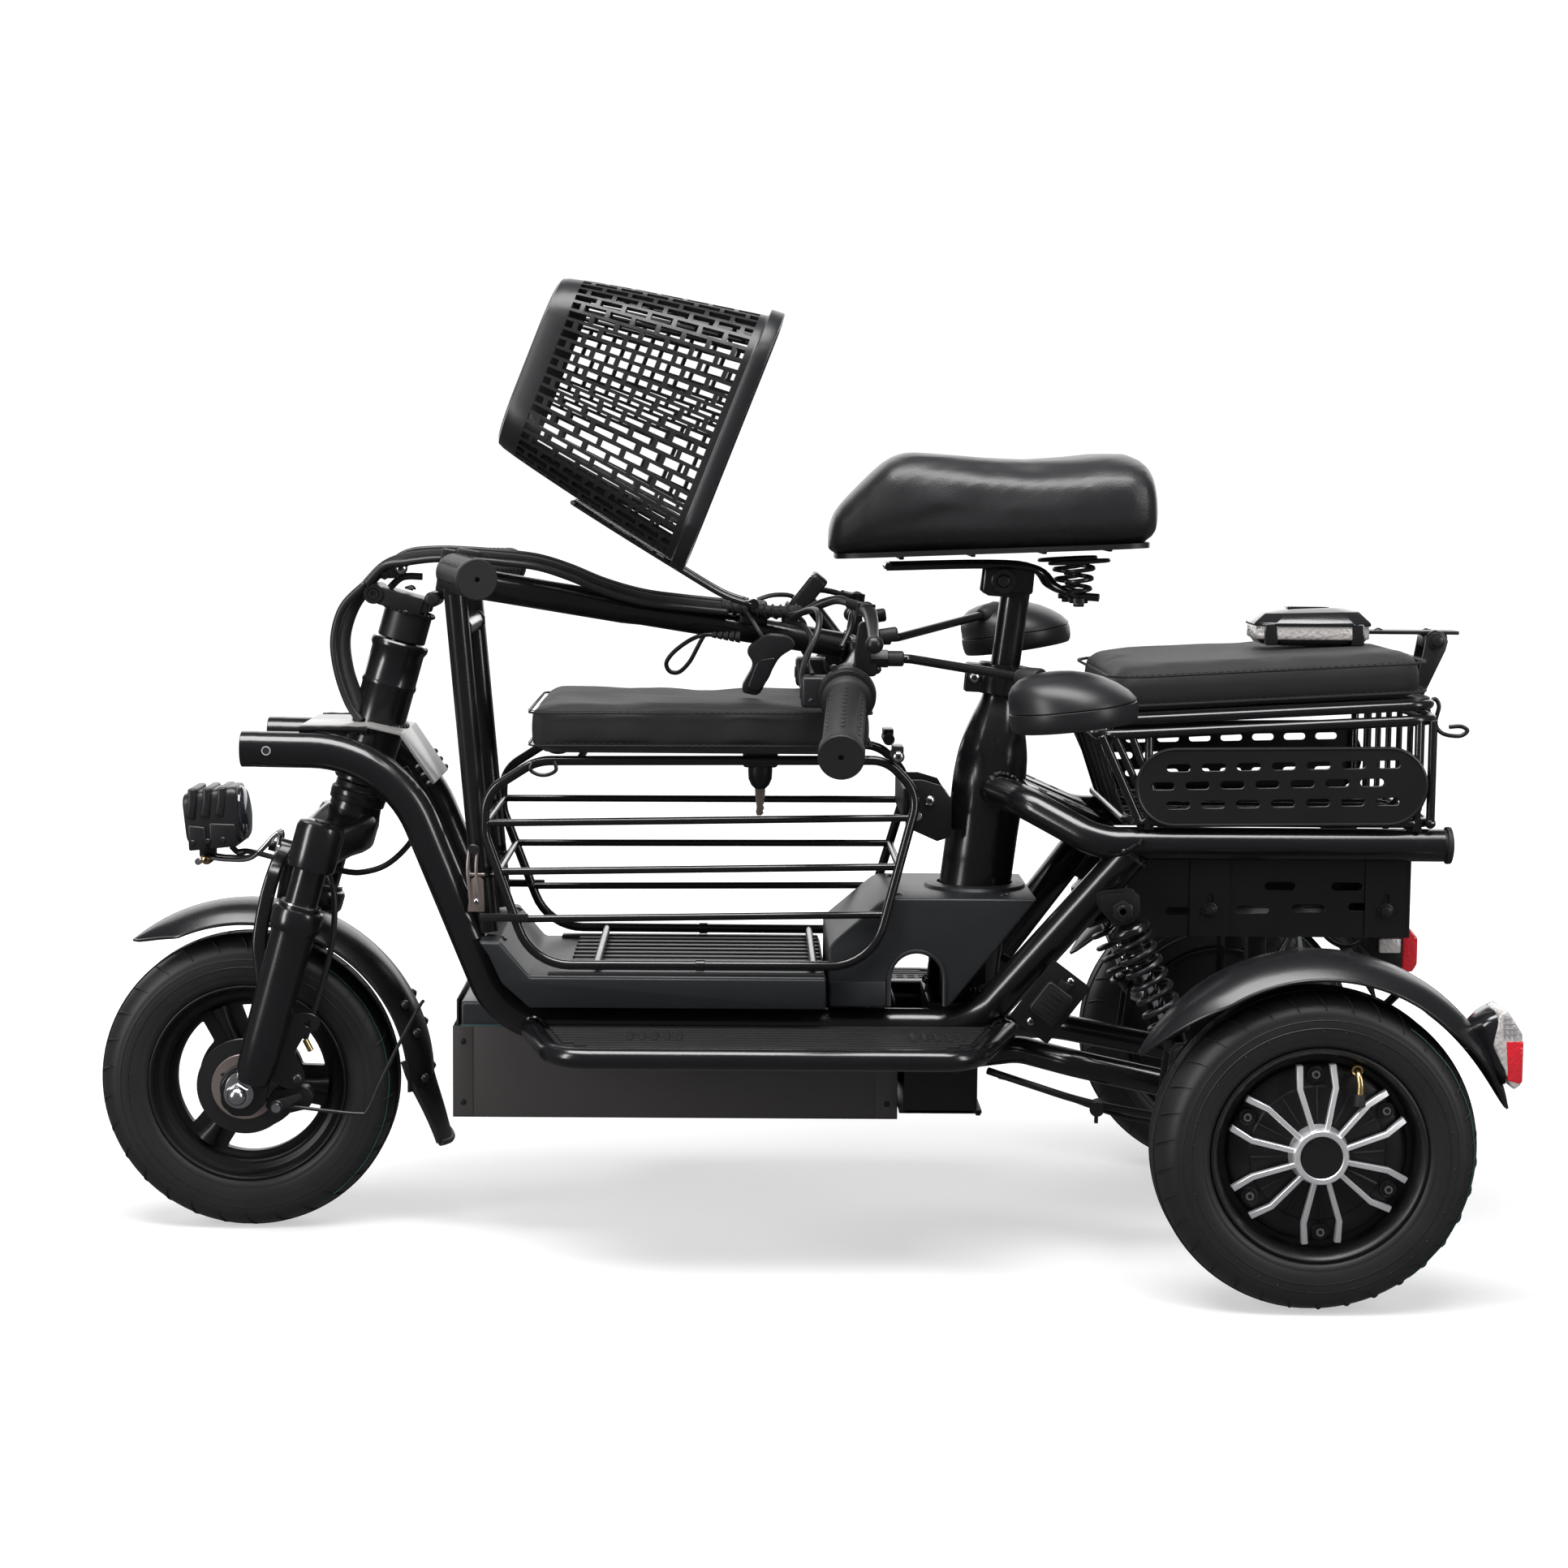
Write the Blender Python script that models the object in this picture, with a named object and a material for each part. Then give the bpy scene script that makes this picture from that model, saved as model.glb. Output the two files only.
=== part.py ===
"""A folded three-wheeled electric trike: one object per sub-part, metres, +Z up, front towards -X."""

from math import acos, cos, pi, radians, sin, tan

import bmesh
import bpy
from mathutils import Matrix, Vector

# --- Driving dimensions -----------------------------------------------------------------------
GAP = 0.0004                    # running clearance between neighbouring pieces
SIDES = {"left": -1, "right": 1}

WHEEL_RADIUS = 0.127            # 10 inch tyres
FRONT_AXLE = Vector((-0.4510, 0, WHEEL_RADIUS))
REAR_AXLE = Vector((0.419, 0, WHEEL_RADIUS))
TRACK_HALF = 0.248
RIM_RADIUS = 0.0845
WHEEL_SIDES = 24                # facets shared by tyres, rim and hubs
FRONT_TYRE_HALF = 0.032
REAR_TYRE_HALF = 0.038

HEAD_LEAN = radians(15.5)       # steering axis leans back
HEAD_FOOT = Vector((-0.355, 0, 0.384))
STEER_UP = Vector((sin(HEAD_LEAN), 0, cos(HEAD_LEAN)))
STEER_FORWARD = Vector((-cos(HEAD_LEAN), 0, sin(HEAD_LEAN)))
STEERER_RADIUS = 0.0135
HEAD_TUBE_TOP = 0.125           # heights along the steering axis, from HEAD_FOOT
FOLD_PLATE_LOW = 0.151
FOLD_PLATE_HIGH = 0.166
FORK_OFFSET = 0.016             # stanchions ahead of the steering axis
FORK_HALF = 0.068
STANCHION_RADIUS = 0.014
LEG_TOP = -0.105
LEG_BOTTOM = -0.262
LEG_RADIUS = 0.0185

MAIN_TUBE_RADIUS = 0.015
MAIN_TUBE_HALF = 0.073
FLOOR_TUBE_Z = 0.1885
REAR_RAIL_RADIUS = 0.0135
REAR_RAIL_HALF = 0.120
REAR_RAIL_Z = 0.350

SEAT_LEAN = radians(7)
SEAT_FOOT = Vector((0.170, 0, 0.297))
SEAT_UP = Vector((sin(SEAT_LEAN), 0, cos(SEAT_LEAN)))
SEAT_POST_RADIUS = 0.0125

COLUMN_SLOPE = radians(-9.1)    # folded column, dropping to the rear
FOLD_PIVOT = Vector((-0.293, 0, 0.5405))
COLUMN_OFFSET = 0.0185          # column axis above the fold pivot
COLUMN_RADIUS = 0.013
COLUMN_TIP_RADIUS = 0.011

BAR_RADIUS = 0.011
BAR_CENTRE = Vector((0.069, 0, 0.494))
GRIP_END = Vector((0.0445, 0.290, 0.436))
GRIP_ROOT = Vector((0.0565, 0.095, 0.482))
GRIP_RADIUS = 0.0165

SWING_PIVOT = Vector((0.151, 0, 0.156))
SHOCK_TOP = Vector((0.278, 0.140, 0.299))
SHOCK_FOOT = Vector((0.328, 0.140, 0.182))

LID_HINGE = Vector((0.256, 0, 0.4475))
LID_TILT = radians(3.3)
LAMP_PIVOT = Vector((0.558, 0, 0.512))

BASKET_BASE = Vector((-0.2083, 0, 0.7394))
BASKET_RIM = Vector((-0.0390, 0, 0.6727))

DECK_HALF = 0.111
DECK_LOW = 0.208
DECK_HIGH = 0.238
HUMP_HALF = 0.094
HUMP_TOP = 0.298
RING_RADIUS = 0.004             # rods of the child seat's frame
HEADLIGHT_PIVOT = Vector((-0.487, 0, 0.3170))
LATCH_PIVOT = Vector((-0.252, -0.0905, 0.338))
FENDER_RADIUS = 0.1565
STALK_ROOT_Z = {"left": 0.4990, "right": 0.5045}
STALK_TIP_Z = {"left": 0.4895, "right": 0.5230}
MIRROR_Z = {"left": 0.4725, "right": 0.5080}
MIRROR_LEAN = {"left": radians(-7), "right": radians(-9)}


# --- Materials --------------------------------------------------------------------------------
def material(name, color, roughness, metallic=0.0):
    made = bpy.data.materials.new(name)
    made.use_nodes = True
    shader = made.node_tree.nodes["Principled BSDF"]
    shader.inputs["Base Color"].default_value = (*color, 1.0)
    shader.inputs["Roughness"].default_value = roughness
    shader.inputs["Metallic"].default_value = metallic
    made.diffuse_color = (*color, 1.0)
    return made


def make_materials():
    return {
        "paint": material("gloss_black_paint", (0.012, 0.012, 0.014), 0.22, 0.3),
        "matte": material("matte_black_paint", (0.020, 0.020, 0.022), 0.50, 0.3),
        "plastic": material("black_plastic", (0.022, 0.024, 0.028), 0.48),
        "rubber": material("black_rubber", (0.015, 0.015, 0.016), 0.72),
        "leather": material("black_vinyl", (0.018, 0.018, 0.020), 0.42),
        "fabric": material("black_cover_cloth", (0.016, 0.016, 0.018), 0.80),
        "steel": material("bright_steel", (0.60, 0.60, 0.62), 0.28, 1.0),
        "lens": material("red_lens", (0.62, 0.03, 0.03), 0.18),
        "wrap": material("battery_wrap", (0.03, 0.20, 0.22), 0.40),
    }


# --- Solids as bmeshes ------------------------------------------------------------------------
def loft(sections, ring=False):
    """Bridges equal closed loops of points into a solid; a ring joins the last loop to the first."""
    solid = bmesh.new()
    loops = [[solid.verts.new(point) for point in section] for section in sections]
    pairs = list(zip(loops, loops[1:]))
    if ring:
        pairs.append((loops[-1], loops[0]))
    for low, high in pairs:
        for k in range(len(low)):
            after = (k + 1) % len(low)
            solid.faces.new((low[k], low[after], high[after], high[k]))
    if not ring:
        solid.faces.new(loops[0][::-1])
        solid.faces.new(loops[-1])
    bmesh.ops.recalc_face_normals(solid, faces=solid.faces)
    return solid


def round_path(points, bends, steps=3):
    """The points with each inner corner rounded to its bend radius."""
    path = [Vector(points[0])]
    for before, corner, after, bend in zip(points, points[1:], points[2:], bends):
        corner = Vector(corner)
        arrive = (corner - Vector(before)).normalized()
        leave = (Vector(after) - corner).normalized()
        turn = acos(max(-1.0, min(1.0, arrive.dot(leave))))
        reach = bend * tan(turn / 2)
        start = corner - arrive * reach
        inward = (leave - arrive * leave.dot(arrive)).normalized()
        centre = start + inward * bend
        for k in range(steps + 1):
            angle = turn * k / steps
            path.append(centre - inward * bend * cos(angle) + arrive * bend * sin(angle))
    path.append(Vector(points[-1]))
    return path


def tube(path, radius, count=8, ring=False):
    """A round bar along a path; radius is one number or one for each point of the path."""
    path = [Vector(point) for point in path]
    radii = radius if isinstance(radius, (list, tuple)) else [radius] * len(path)
    last = len(path) - 1
    tangents = []
    for k in range(len(path)):
        before = path[k - 1] if (k > 0 or ring) else path[k]
        after = path[(k + 1) % len(path)] if (k < last or ring) else path[k]
        tangents.append((after - before).normalized())
    side = tangents[0].orthogonal().normalized()
    sections = []
    for k, (centre, along) in enumerate(zip(path, tangents)):
        if k:
            side = tangents[k - 1].rotation_difference(along) @ side
        other = along.cross(side)
        sections.append([
            centre + (side * cos(a) + other * sin(a)) * radii[k]
            for a in (2 * pi * n / count for n in range(count))
        ])
    return loft(sections, ring)


def turned(profile, base, axis, count=24, stretch=1.0):
    """A solid of revolution from (radius, height) points; ends off the axis make it a ring."""
    axis = Vector(axis).normalized()
    across = Vector((0, 0, 1)) if abs(axis.y) > 0.5 else Vector((0, 1, 0))
    side = (across - axis * axis.dot(across)).normalized()
    other = axis.cross(side)
    base = Vector(base)
    solid = bmesh.new()
    rows = []
    for radius, height in profile:
        centre = base + axis * height
        if radius <= 0:
            rows.append([solid.verts.new(centre)] * count)
            continue
        rows.append([
            solid.verts.new(centre + (side * cos(a) * stretch + other * sin(a)) * radius)
            for a in (2 * pi * n / count for n in range(count))
        ])
    pairs = list(zip(rows, rows[1:]))
    if profile[0][0] > 0:
        pairs.append((rows[-1], rows[0]))
    for low, high in pairs:
        for n in range(count):
            m = (n + 1) % count
            corners = []
            for corner in (low[n], low[m], high[m], high[n]):
                if corner not in corners:
                    corners.append(corner)
            if len(corners) > 2:
                solid.faces.new(corners)
    bmesh.ops.recalc_face_normals(solid, faces=solid.faces)
    return solid


def rod(start, end, radius, count=12):
    start, end = Vector(start), Vector(end)
    length = (end - start).length
    return turned([(0, 0), (radius, 0), (radius, length), (0, length)], start, end - start, count)


def across_rod(centre, low_y, high_y, radius, count=12):
    """A round bar along Y beside a point of the middle plane."""
    shift_low, shift_high = Vector((0, low_y, 0)), Vector((0, high_y, 0))
    return rod(centre + shift_low, centre + shift_high, radius, count)


def prism(outline, low, high, across="Y"):
    """A flat outline carried from low to high: (x, z) points across Y, or (x, y) points across Z."""
    def place(a, b, c):
        return Vector((a, c, b)) if across == "Y" else Vector((a, b, c))
    return loft([[place(a, b, level) for a, b in outline] for level in (low, high)])


def block(low, high):
    outline = [(low[0], low[2]), (high[0], low[2]), (high[0], high[2]), (low[0], high[2])]
    return prism(outline, low[1], high[1])


def arc(centre, radius, start, end, steps):
    """(a, b) points on an arc, angles in degrees."""
    angles = [radians(start + (end - start) * k / steps) for k in range(steps + 1)]
    return [(centre[0] + radius * cos(a), centre[1] + radius * sin(a)) for a in angles]


def rounded_rectangle(half_a, half_b, corner, steps=4):
    points = []
    for a, b, start in ((1, 1, 0), (-1, 1, 90), (-1, -1, 180), (1, -1, 270)):
        centre = (a * (half_a - corner), b * (half_b - corner))
        points += arc(centre, corner, start, start + 90, steps)
    return points


def tapered(solid):
    """Narrows a solid across Y between the deck and the top of the hump."""
    for vert in solid.verts:
        rise = (vert.co.z - DECK_LOW) / (HUMP_TOP - DECK_LOW)
        vert.co.y *= 1 - 0.14 * max(0.0, min(1.0, rise))
    return solid


def moved(solid, matrix):
    bmesh.ops.transform(solid, matrix=matrix, verts=solid.verts)
    return solid


def turn_about(point, angle, axis="Y"):
    point = Vector(point)
    return Matrix.Translation(point) @ Matrix.Rotation(angle, 4, axis) @ Matrix.Translation(-point)


# --- Objects ----------------------------------------------------------------------------------
def to_object(name, solid, origin=(0, 0, 0)):
    origin = Vector(origin)
    bmesh.ops.translate(solid, verts=solid.verts, vec=-origin)
    mesh = bpy.data.meshes.new(name)
    solid.to_mesh(mesh)
    solid.free()
    mesh.shade_smooth()
    mesh.set_sharp_from_angle(angle=radians(35))
    made = bpy.data.objects.new(name, mesh)
    made.location = origin
    return made


def add_boolean(target, operation, solids):
    group = bpy.data.collections.new(f"{target.name}_{operation.lower()}")
    bpy.context.scene.collection.children.link(group)
    for number, solid in enumerate(solids):
        helper = to_object(f"{group.name}_{number}", solid)
        helper.hide_render = True
        helper.display_type = "WIRE"
        group.objects.link(helper)
    modifier = target.modifiers.new(operation.title(), "BOOLEAN")
    modifier.operation = operation
    modifier.solver = "EXACT"
    modifier.operand_type = "COLLECTION"
    modifier.collection = group


def publish(name, solid, finish, join=(), cut=(), origin=(0, 0, 0)):
    """Makes one sub-part: the solid, with others united to it and others cut from it."""
    made = to_object(name, solid, origin)
    made.data.materials.append(finish)
    bpy.context.scene.collection.objects.link(made)
    if join:
        add_boolean(made, "UNION", join)
    if cut:
        add_boolean(made, "DIFFERENCE", cut)
    return made


# --- Places on the steering, seat and column axes ---------------------------------------------
def on_head(height, forward=0.0, across=0.0):
    return HEAD_FOOT + STEER_UP * height + STEER_FORWARD * forward + Vector((0, across, 0))


def on_seat(height):
    """A point on the seat tube's axis at a world height."""
    return SEAT_FOOT + SEAT_UP * ((height - SEAT_FOOT.z) / SEAT_UP.z)


COLUMN_ALONG = Vector((cos(COLUMN_SLOPE), 0, sin(COLUMN_SLOPE)))
COLUMN_ABOVE = Vector((-sin(COLUMN_SLOPE), 0, cos(COLUMN_SLOPE)))


def on_column(along, above=0.0, across=0.0):
    """along and above are measured from the column's axis beside the fold pivot."""
    return FOLD_PIVOT + COLUMN_ALONG * along + COLUMN_ABOVE * (COLUMN_OFFSET + above) + Vector((0, across, 0))


def sided(point, side):
    return Vector((point[0], point[1] * side, point[2]))


def span(side, inner, outer):
    """Two distances from the middle plane as low and high Y on the given side."""
    return sorted((side * inner, side * outer))


# --- Frame ------------------------------------------------------------------------------------
def main_tube(side, grow=0.0):
    y = side * MAIN_TUBE_HALF
    corners = [
        (-0.4455, y, 0.418), (-0.3215, y, 0.4165), (-0.2278, y, FLOOR_TUBE_Z),
        (0.165, y, FLOOR_TUBE_Z), (0.292, side * 0.119, 0.3455),
    ]
    return tube(round_path(corners, (0.10, 0.06, 0.06)), MAIN_TUBE_RADIUS + grow)


def rear_rail(side, grow=0.0):
    corners = [
        (0.181, side * 0.018, 0.384), (0.205, side * 0.085, 0.379),
        (0.262, side * REAR_RAIL_HALF, REAR_RAIL_Z), (0.550, side * REAR_RAIL_HALF, REAR_RAIL_Z),
    ]
    return tube(round_path(corners, (0.035, 0.05)), REAR_RAIL_RADIUS + grow)


def seat_tube_body(grow=0.0):
    foot = on_seat(0.2)
    profile = [
        (0, 0), (0.0305 + grow, 0), (0.0305 + grow, 0.150), (0.031 + grow, 0.196),
        (0.0295 + grow, 0.215), (0.0215 + grow, 0.245), (0.0155 + grow, 0.262),
        (0.0155 + grow, 0.290), (0, 0.290),
    ]
    return turned(profile, foot, SEAT_UP, 16)


def seat_post_rod():
    return rod(on_seat(0.335), on_seat(0.566), SEAT_POST_RADIUS)


def make_frame(look):
    for name, side in SIDES.items():
        publish(f"main_tube_{name}", main_tube(side), look["paint"], cut=[rear_rail(side, GAP)])
        publish(f"rear_rail_{name}", rear_rail(side), look["paint"], cut=[seat_tube_body(GAP)])
    foot_plate = block((0.128, -0.0575, 0.189), (0.196, 0.0575, 0.206))
    publish("seat_tube", seat_tube_body(), look["paint"], join=[foot_plate], cut=[seat_post_bore()])
    make_head_tube(look)
    make_seat_clamp(look)
    make_swing_bracket(look)


def seat_post_bore():
    return rod(on_seat(0.32), on_seat(0.60), SEAT_POST_RADIUS + GAP)


def make_head_tube(look):
    bore = STEERER_RADIUS + GAP
    profile = [
        (bore, 0), (0.0245, 0), (0.0245, 0.014), (0.0225, 0.018), (0.0225, 0.116),
        (0.0245, 0.119), (0.0245, HEAD_TUBE_TOP), (bore, HEAD_TUBE_TOP),
    ]
    level = 0.4178 + MAIN_TUBE_RADIUS + GAP
    gusset = [
        (-0.405, level), (-0.345, level), (-0.318, 0.4265), (-0.2905, 0.386),
        (-0.2871, 0.3890), (-0.3146, 0.4295), (-0.3442, level + 0.004), (-0.4042, level + 0.004),
    ]
    cutters = [rod(on_head(-0.01), on_head(0.2), bore, 16)]
    cutters += [main_tube(side, GAP) for side in SIDES.values()]
    publish("head_tube", turned(profile, HEAD_FOOT, STEER_UP, 16), look["paint"],
            join=[prism(gusset, -0.070, 0.070)], cut=cutters)


def make_seat_clamp(look):
    bore = 0.0159
    ring = [(bore, 0), (0.0225, 0), (0.0225, 0.026), (bore, 0.026)]
    lug = block((0.163, -0.012, 0.468), (0.180, 0.012, 0.488))
    publish("seat_clamp", turned(ring, on_seat(0.4625), SEAT_UP, 16), look["matte"],
            join=[lug], cut=[rod(on_seat(0.45), on_seat(0.50), bore, 16)])


def make_swing_bracket(look):
    left, right, low, high = 0.108, 0.170, 0.112, 0.1715
    inner, outer = 0.0605, 0.0655
    walls = []
    for side in SIDES.values():
        low_y, high_y = span(side, inner, outer)
        walls.append(block((left, low_y, low), (right, high_y, high)))
    floor = block((left, -outer, low), (right, outer, low + 0.004))
    bolt = rod(SWING_PIVOT + Vector((0, -0.072, 0)), SWING_PIVOT + Vector((0, 0.072, 0)), 0.006)
    publish("swing_bracket", floor, look["matte"], join=walls + [bolt])


# --- Floor and battery ------------------------------------------------------------------------
def make_floor(look):
    outline = [
        (0.040, DECK_LOW), (0.040, DECK_HIGH), (-0.205, DECK_HIGH), (-0.230, 0.2645), (-0.247, 0.2645),
        (-0.239, 0.252), (-0.228, 0.2285), (-0.205, DECK_LOW),
    ]
    publish("floor_deck", prism(outline, -DECK_HALF, DECK_HALF), look["plastic"],
            cut=[main_tube(side, GAP) for side in SIDES.values()])
    make_hump(look)
    shell = block((-0.273, -0.0565, 0.105), (0.103, 0.0565, 0.183))
    inside = block((-0.2712, -0.0547, 0.107), (0.1012, 0.0547, 0.190))
    publish("battery_box", shell, look["matte"], cut=[inside])
    publish("battery_pack", block((-0.2685, -0.052, 0.1074), (0.098, 0.052, 0.204)), look["wrap"])


def make_hump(look):
    wall = 0.0025
    outline = [
        (0.0425, DECK_LOW), (0.143, DECK_LOW), (0.2165, HUMP_TOP), (0.088, HUMP_TOP), (0.047, 0.262),
        (0.0425, 0.256),
    ]
    inner = [
        (0.0425 + wall, DECK_LOW - 0.01), (0.133, DECK_LOW - 0.01), (0.211, HUMP_TOP - wall),
        (0.089, HUMP_TOP - wall), (0.0490, 0.261), (0.0425 + wall, 0.255),
    ]
    arch = [(0.093, 0.19), (0.139, 0.19)] + arc((0.116, 0.231), 0.023, 0, 180, 8)
    cutters = [
        tapered(prism(inner, -HUMP_HALF + wall, HUMP_HALF - wall)),
        prism(arch, -HUMP_HALF - 0.01, HUMP_HALF + 0.01),
        rod(on_seat(0.15), on_seat(0.35), 0.0325, 16),
    ]
    publish("hump_cover", tapered(prism(outline, -HUMP_HALF, HUMP_HALF)), look["plastic"], cut=cutters)


def make_foot_rests(look):
    for name, side in SIDES.items():
        corners = [
            (-0.207, side * 0.080, 0.187), (-0.155, side * 0.200, 0.184),
            (0.135, side * 0.200, 0.184), (0.193, side * 0.080, 0.187),
        ]
        rail = tube(round_path(corners, (0.045, 0.045)), 0.0088)
        pad = [
            (-0.196, 0.0905), (-0.164, 0.165), (-0.140, 0.197), (0.120, 0.197), (0.145, 0.165),
            (0.181, 0.0905),
        ]
        plate = prism([(x, y * side) for x, y in pad], 0.186, 0.192, "Z")
        publish(f"foot_rest_{name}", rail, look["rubber"], join=[plate], cut=[main_tube(side, GAP)])


def make_charge_port(look):
    centre = Vector((0.2245, -0.120, 0.218))
    plate = block((-0.0195, -0.002, -0.0295), (0.0195, 0.002, 0.0295))
    cover = block((-0.013, -0.011, -0.015), (0.013, -0.001, 0.015))
    tilt = Matrix.Translation(centre) @ Matrix.Rotation(radians(37), 4, "Y")
    publish("charge_port", moved(plate, tilt), look["plastic"], join=[moved(cover, tilt)])


# --- Child seat -------------------------------------------------------------------------------
def make_child_handle(look):
    def arm(side):
        corners = [
            (-0.2425, side * 0.166, 0.563), (-0.270, side * MAIN_TUBE_HALF, 0.566),
            (-0.2425, side * MAIN_TUBE_HALF, 0.2665),
        ]
        return tube(round_path(corners, (0.018,)), 0.0095, 8)

    def grip(side):
        return rod((-0.2680, side * 0.082, 0.5655), (-0.2420, side * 0.168, 0.563), 0.0165, 12)

    cross = rod((-0.2655, -0.073, 0.519), (-0.2655, 0.073, 0.519), 0.0085, 8)
    publish("child_handle", arm(-1), look["paint"], join=[arm(1), cross, grip(-1), grip(1)],
            cut=[main_tube(side, GAP) for side in SIDES.values()])
    bend, end = Vector((-0.2555, LATCH_PIVOT.y, 0.312)), Vector((-0.250, LATCH_PIVOT.y, 0.286))
    publish("toggle_latch", tube([LATCH_PIVOT, bend, end], [0.005, 0.0045, 0.0035], 8), look["steel"],
            origin=LATCH_PIVOT)


def seat_ring_side(side):
    """The closed side ring; it flares outwards to the floor and narrows to the rear."""
    corners = [
        (-0.190, 0.4135, 0.095), (-0.236, 0.3855, 0.095), (-0.2365, 0.3505, 0.095), (-0.198, 0.2435, 0.104),
        (0.068, 0.2435, 0.100), (0.117, 0.3835, 0.068), (0.090, 0.4135, 0.070),
    ]
    points = [Vector((x, y * side, z)) for x, z, y in corners]
    middle = (points[0] + points[-1]) / 2
    path = round_path([middle] + points + [middle], (0.04, 0.03, 0.03, 0.045, 0.045, 0.03, 0.03), 2)
    return tube(path[:-1], RING_RADIUS, 6, ring=True)


def cross_rod(x, z, half):
    return rod((x, -half, z), (x, half, z), 0.003, 5)


def make_child_seat(look):
    rails = [
        cross_rod(-0.150, 0.2430, 0.104), cross_rod(0.030, 0.2430, 0.101),
        cross_rod(-0.165, 0.4135, 0.094), cross_rod(0.070, 0.4135, 0.071),
    ]
    for z, front, front_half, rear, rear_half in (
        (0.3665, -0.2365, 0.095, 0.1105, 0.070),
        (0.3255, -0.2275, 0.097, 0.0965, 0.081),
        (0.2865, -0.2135, 0.100, 0.0830, 0.091),
    ):
        for side in SIDES.values():
            rails.append(rod((front, side * front_half, z), (rear, side * rear_half, z + 0.004), 0.003, 5))
        if z > 0.3:
            rails += [cross_rod(front, z, front_half), cross_rod(rear, z + 0.004, rear_half)]
    publish("child_seat_frame", seat_ring_side(-1), look["paint"], join=[seat_ring_side(1)] + rails)
    layers = (
        (0.4185, 0.133, 0.086), (0.4255, 0.133, 0.086), (0.4262, 0.141, 0.108), (0.4520, 0.141, 0.108),
        (0.4590, 0.134, 0.101),
    )
    publish("child_cushion", cushion(-0.065, layers), look["fabric"])


def cushion(middle, layers):
    """A padded block from (height, half length, half width) layers."""
    sections = []
    for z, half_x, half_y in layers:
        outline = rounded_rectangle(half_x, half_y, 0.02, 3)
        sections.append([Vector((x + middle, y, z)) for x, y in outline])
    return loft(sections)


# --- Rear rack and lid ------------------------------------------------------------------------
def make_rack(look):
    outer = block((0.289, -0.100, 0.270), (0.524, 0.100, 0.3345))
    inner = block((0.291, -0.098, 0.272), (0.522, 0.098, 0.345))
    publish("rack_box", outer, look["matte"], cut=[inner])
    lamp = [
        (0.508, 0.2685), (0.536, 0.2685), (0.5445, 0.252), (0.5445, 0.231), (0.520, 0.231), (0.508, 0.245),
    ]
    publish("brake_lamp", prism(lamp, -0.038, 0.038), look["lens"])
    make_rear_basket(look)


def rectangle_ring(front, rear, half, front_z, rear_z, radius, corner=0.02):
    outline = [(front, -half), (rear, -half), (rear, half), (front, half)]
    slope = (rear_z - front_z) / (rear - front)
    points = [Vector((x, y, front_z + (x - front) * slope)) for x, y in outline]
    middle = (points[0] + points[-1]) / 2
    path = round_path([middle] + points + [middle], (corner,) * 4, 3)
    return tube(path[:-1], radius, 6, ring=True)


def make_rear_basket(look):
    half = 0.128
    rim = rectangle_ring(0.260, 0.534, half, 0.4390, 0.4540, 0.0045)
    foot = rectangle_ring(0.284, 0.532, half, 0.3690, 0.3690, 0.0045)
    uprights = []
    for side in SIDES.values():
        y = side * half
        for foot_x, rim_x, rim_z, radius in (
            (0.5320, 0.5320, 0.4535, 0.0040),
            (0.2940, 0.2620, 0.4392, 0.0040),
            (0.3005, 0.3005, 0.4410, 0.0035),
            (0.5205, 0.5205, 0.4530, 0.0035),
        ):
            uprights.append(rod((foot_x, y, 0.369), (rim_x, y, rim_z), radius, 6))
        plate = arc((0.496, 0.3995), 0.031, -90, 90, 6) + arc((0.322, 0.3975), 0.031, 90, 270, 6)
        uprights.append(prism(plate, *span(side, 0.1305, 0.1335)))
    for y in (-0.064, 0.0, 0.064):
        uprights.append(rod((0.284, y, 0.369), (0.532, y, 0.369), 0.003, 6))
    publish("rear_basket", rim, look["paint"], join=[foot] + uprights)


def make_lid(look):
    tilt = turn_about(LID_HINGE, -LID_TILT)
    board = moved(block((0.270, -0.126, 0.4525), (0.534, 0.126, 0.4555)), tilt)
    knuckle = rod(LID_HINGE + Vector((0, -0.03, 0)), LID_HINGE + Vector((0, 0.03, 0)), 0.0035, 10)
    strap = moved(block((0.256, -0.028, 0.4480), (0.275, 0.028, 0.4545)), tilt)
    tail = moved(block((0.530, -0.020, 0.4525), (0.546, 0.020, 0.4555)), tilt)
    bridge = block((0.5400, -0.019, 0.4680), (0.5475, 0.019, 0.4740))
    post = [(0.5415, 0.4690), (0.5465, 0.4690), (0.568, 0.512), (0.560, 0.524), (0.551, 0.518)]
    posts = [prism(post, *span(side, 0.014, 0.019)) for side in SIDES.values()]
    publish("lid_board", board, look["matte"], join=[knuckle, strap, tail, bridge] + posts, origin=LID_HINGE)
    layers = ((0.4562, 0.130, 0.129), (0.4600, 0.133, 0.132), (0.4840, 0.133, 0.132), (0.4920, 0.124, 0.123))
    publish("rear_cushion", moved(cushion(0.4005, layers), tilt), look["fabric"])
    make_lamp(look)


def make_lamp(look):
    bar = block((0.495, -0.0130, 0.5165), (0.578, 0.0130, 0.5205))
    eye = rod(LAMP_PIVOT + Vector((0, -0.0130, 0)), LAMP_PIVOT + Vector((0, 0.0130, 0)), 0.006)
    pod = [
        (0.402, 0.5105), (0.404, 0.526), (0.424, 0.537), (0.472, 0.539), (0.499, 0.526), (0.501, 0.5130),
        (0.494, 0.5085), (0.412, 0.5075),
    ]
    publish("lamp_arm", prism(pod, -0.034, 0.034), look["plastic"], join=[bar, eye], origin=LAMP_PIVOT)


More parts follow.
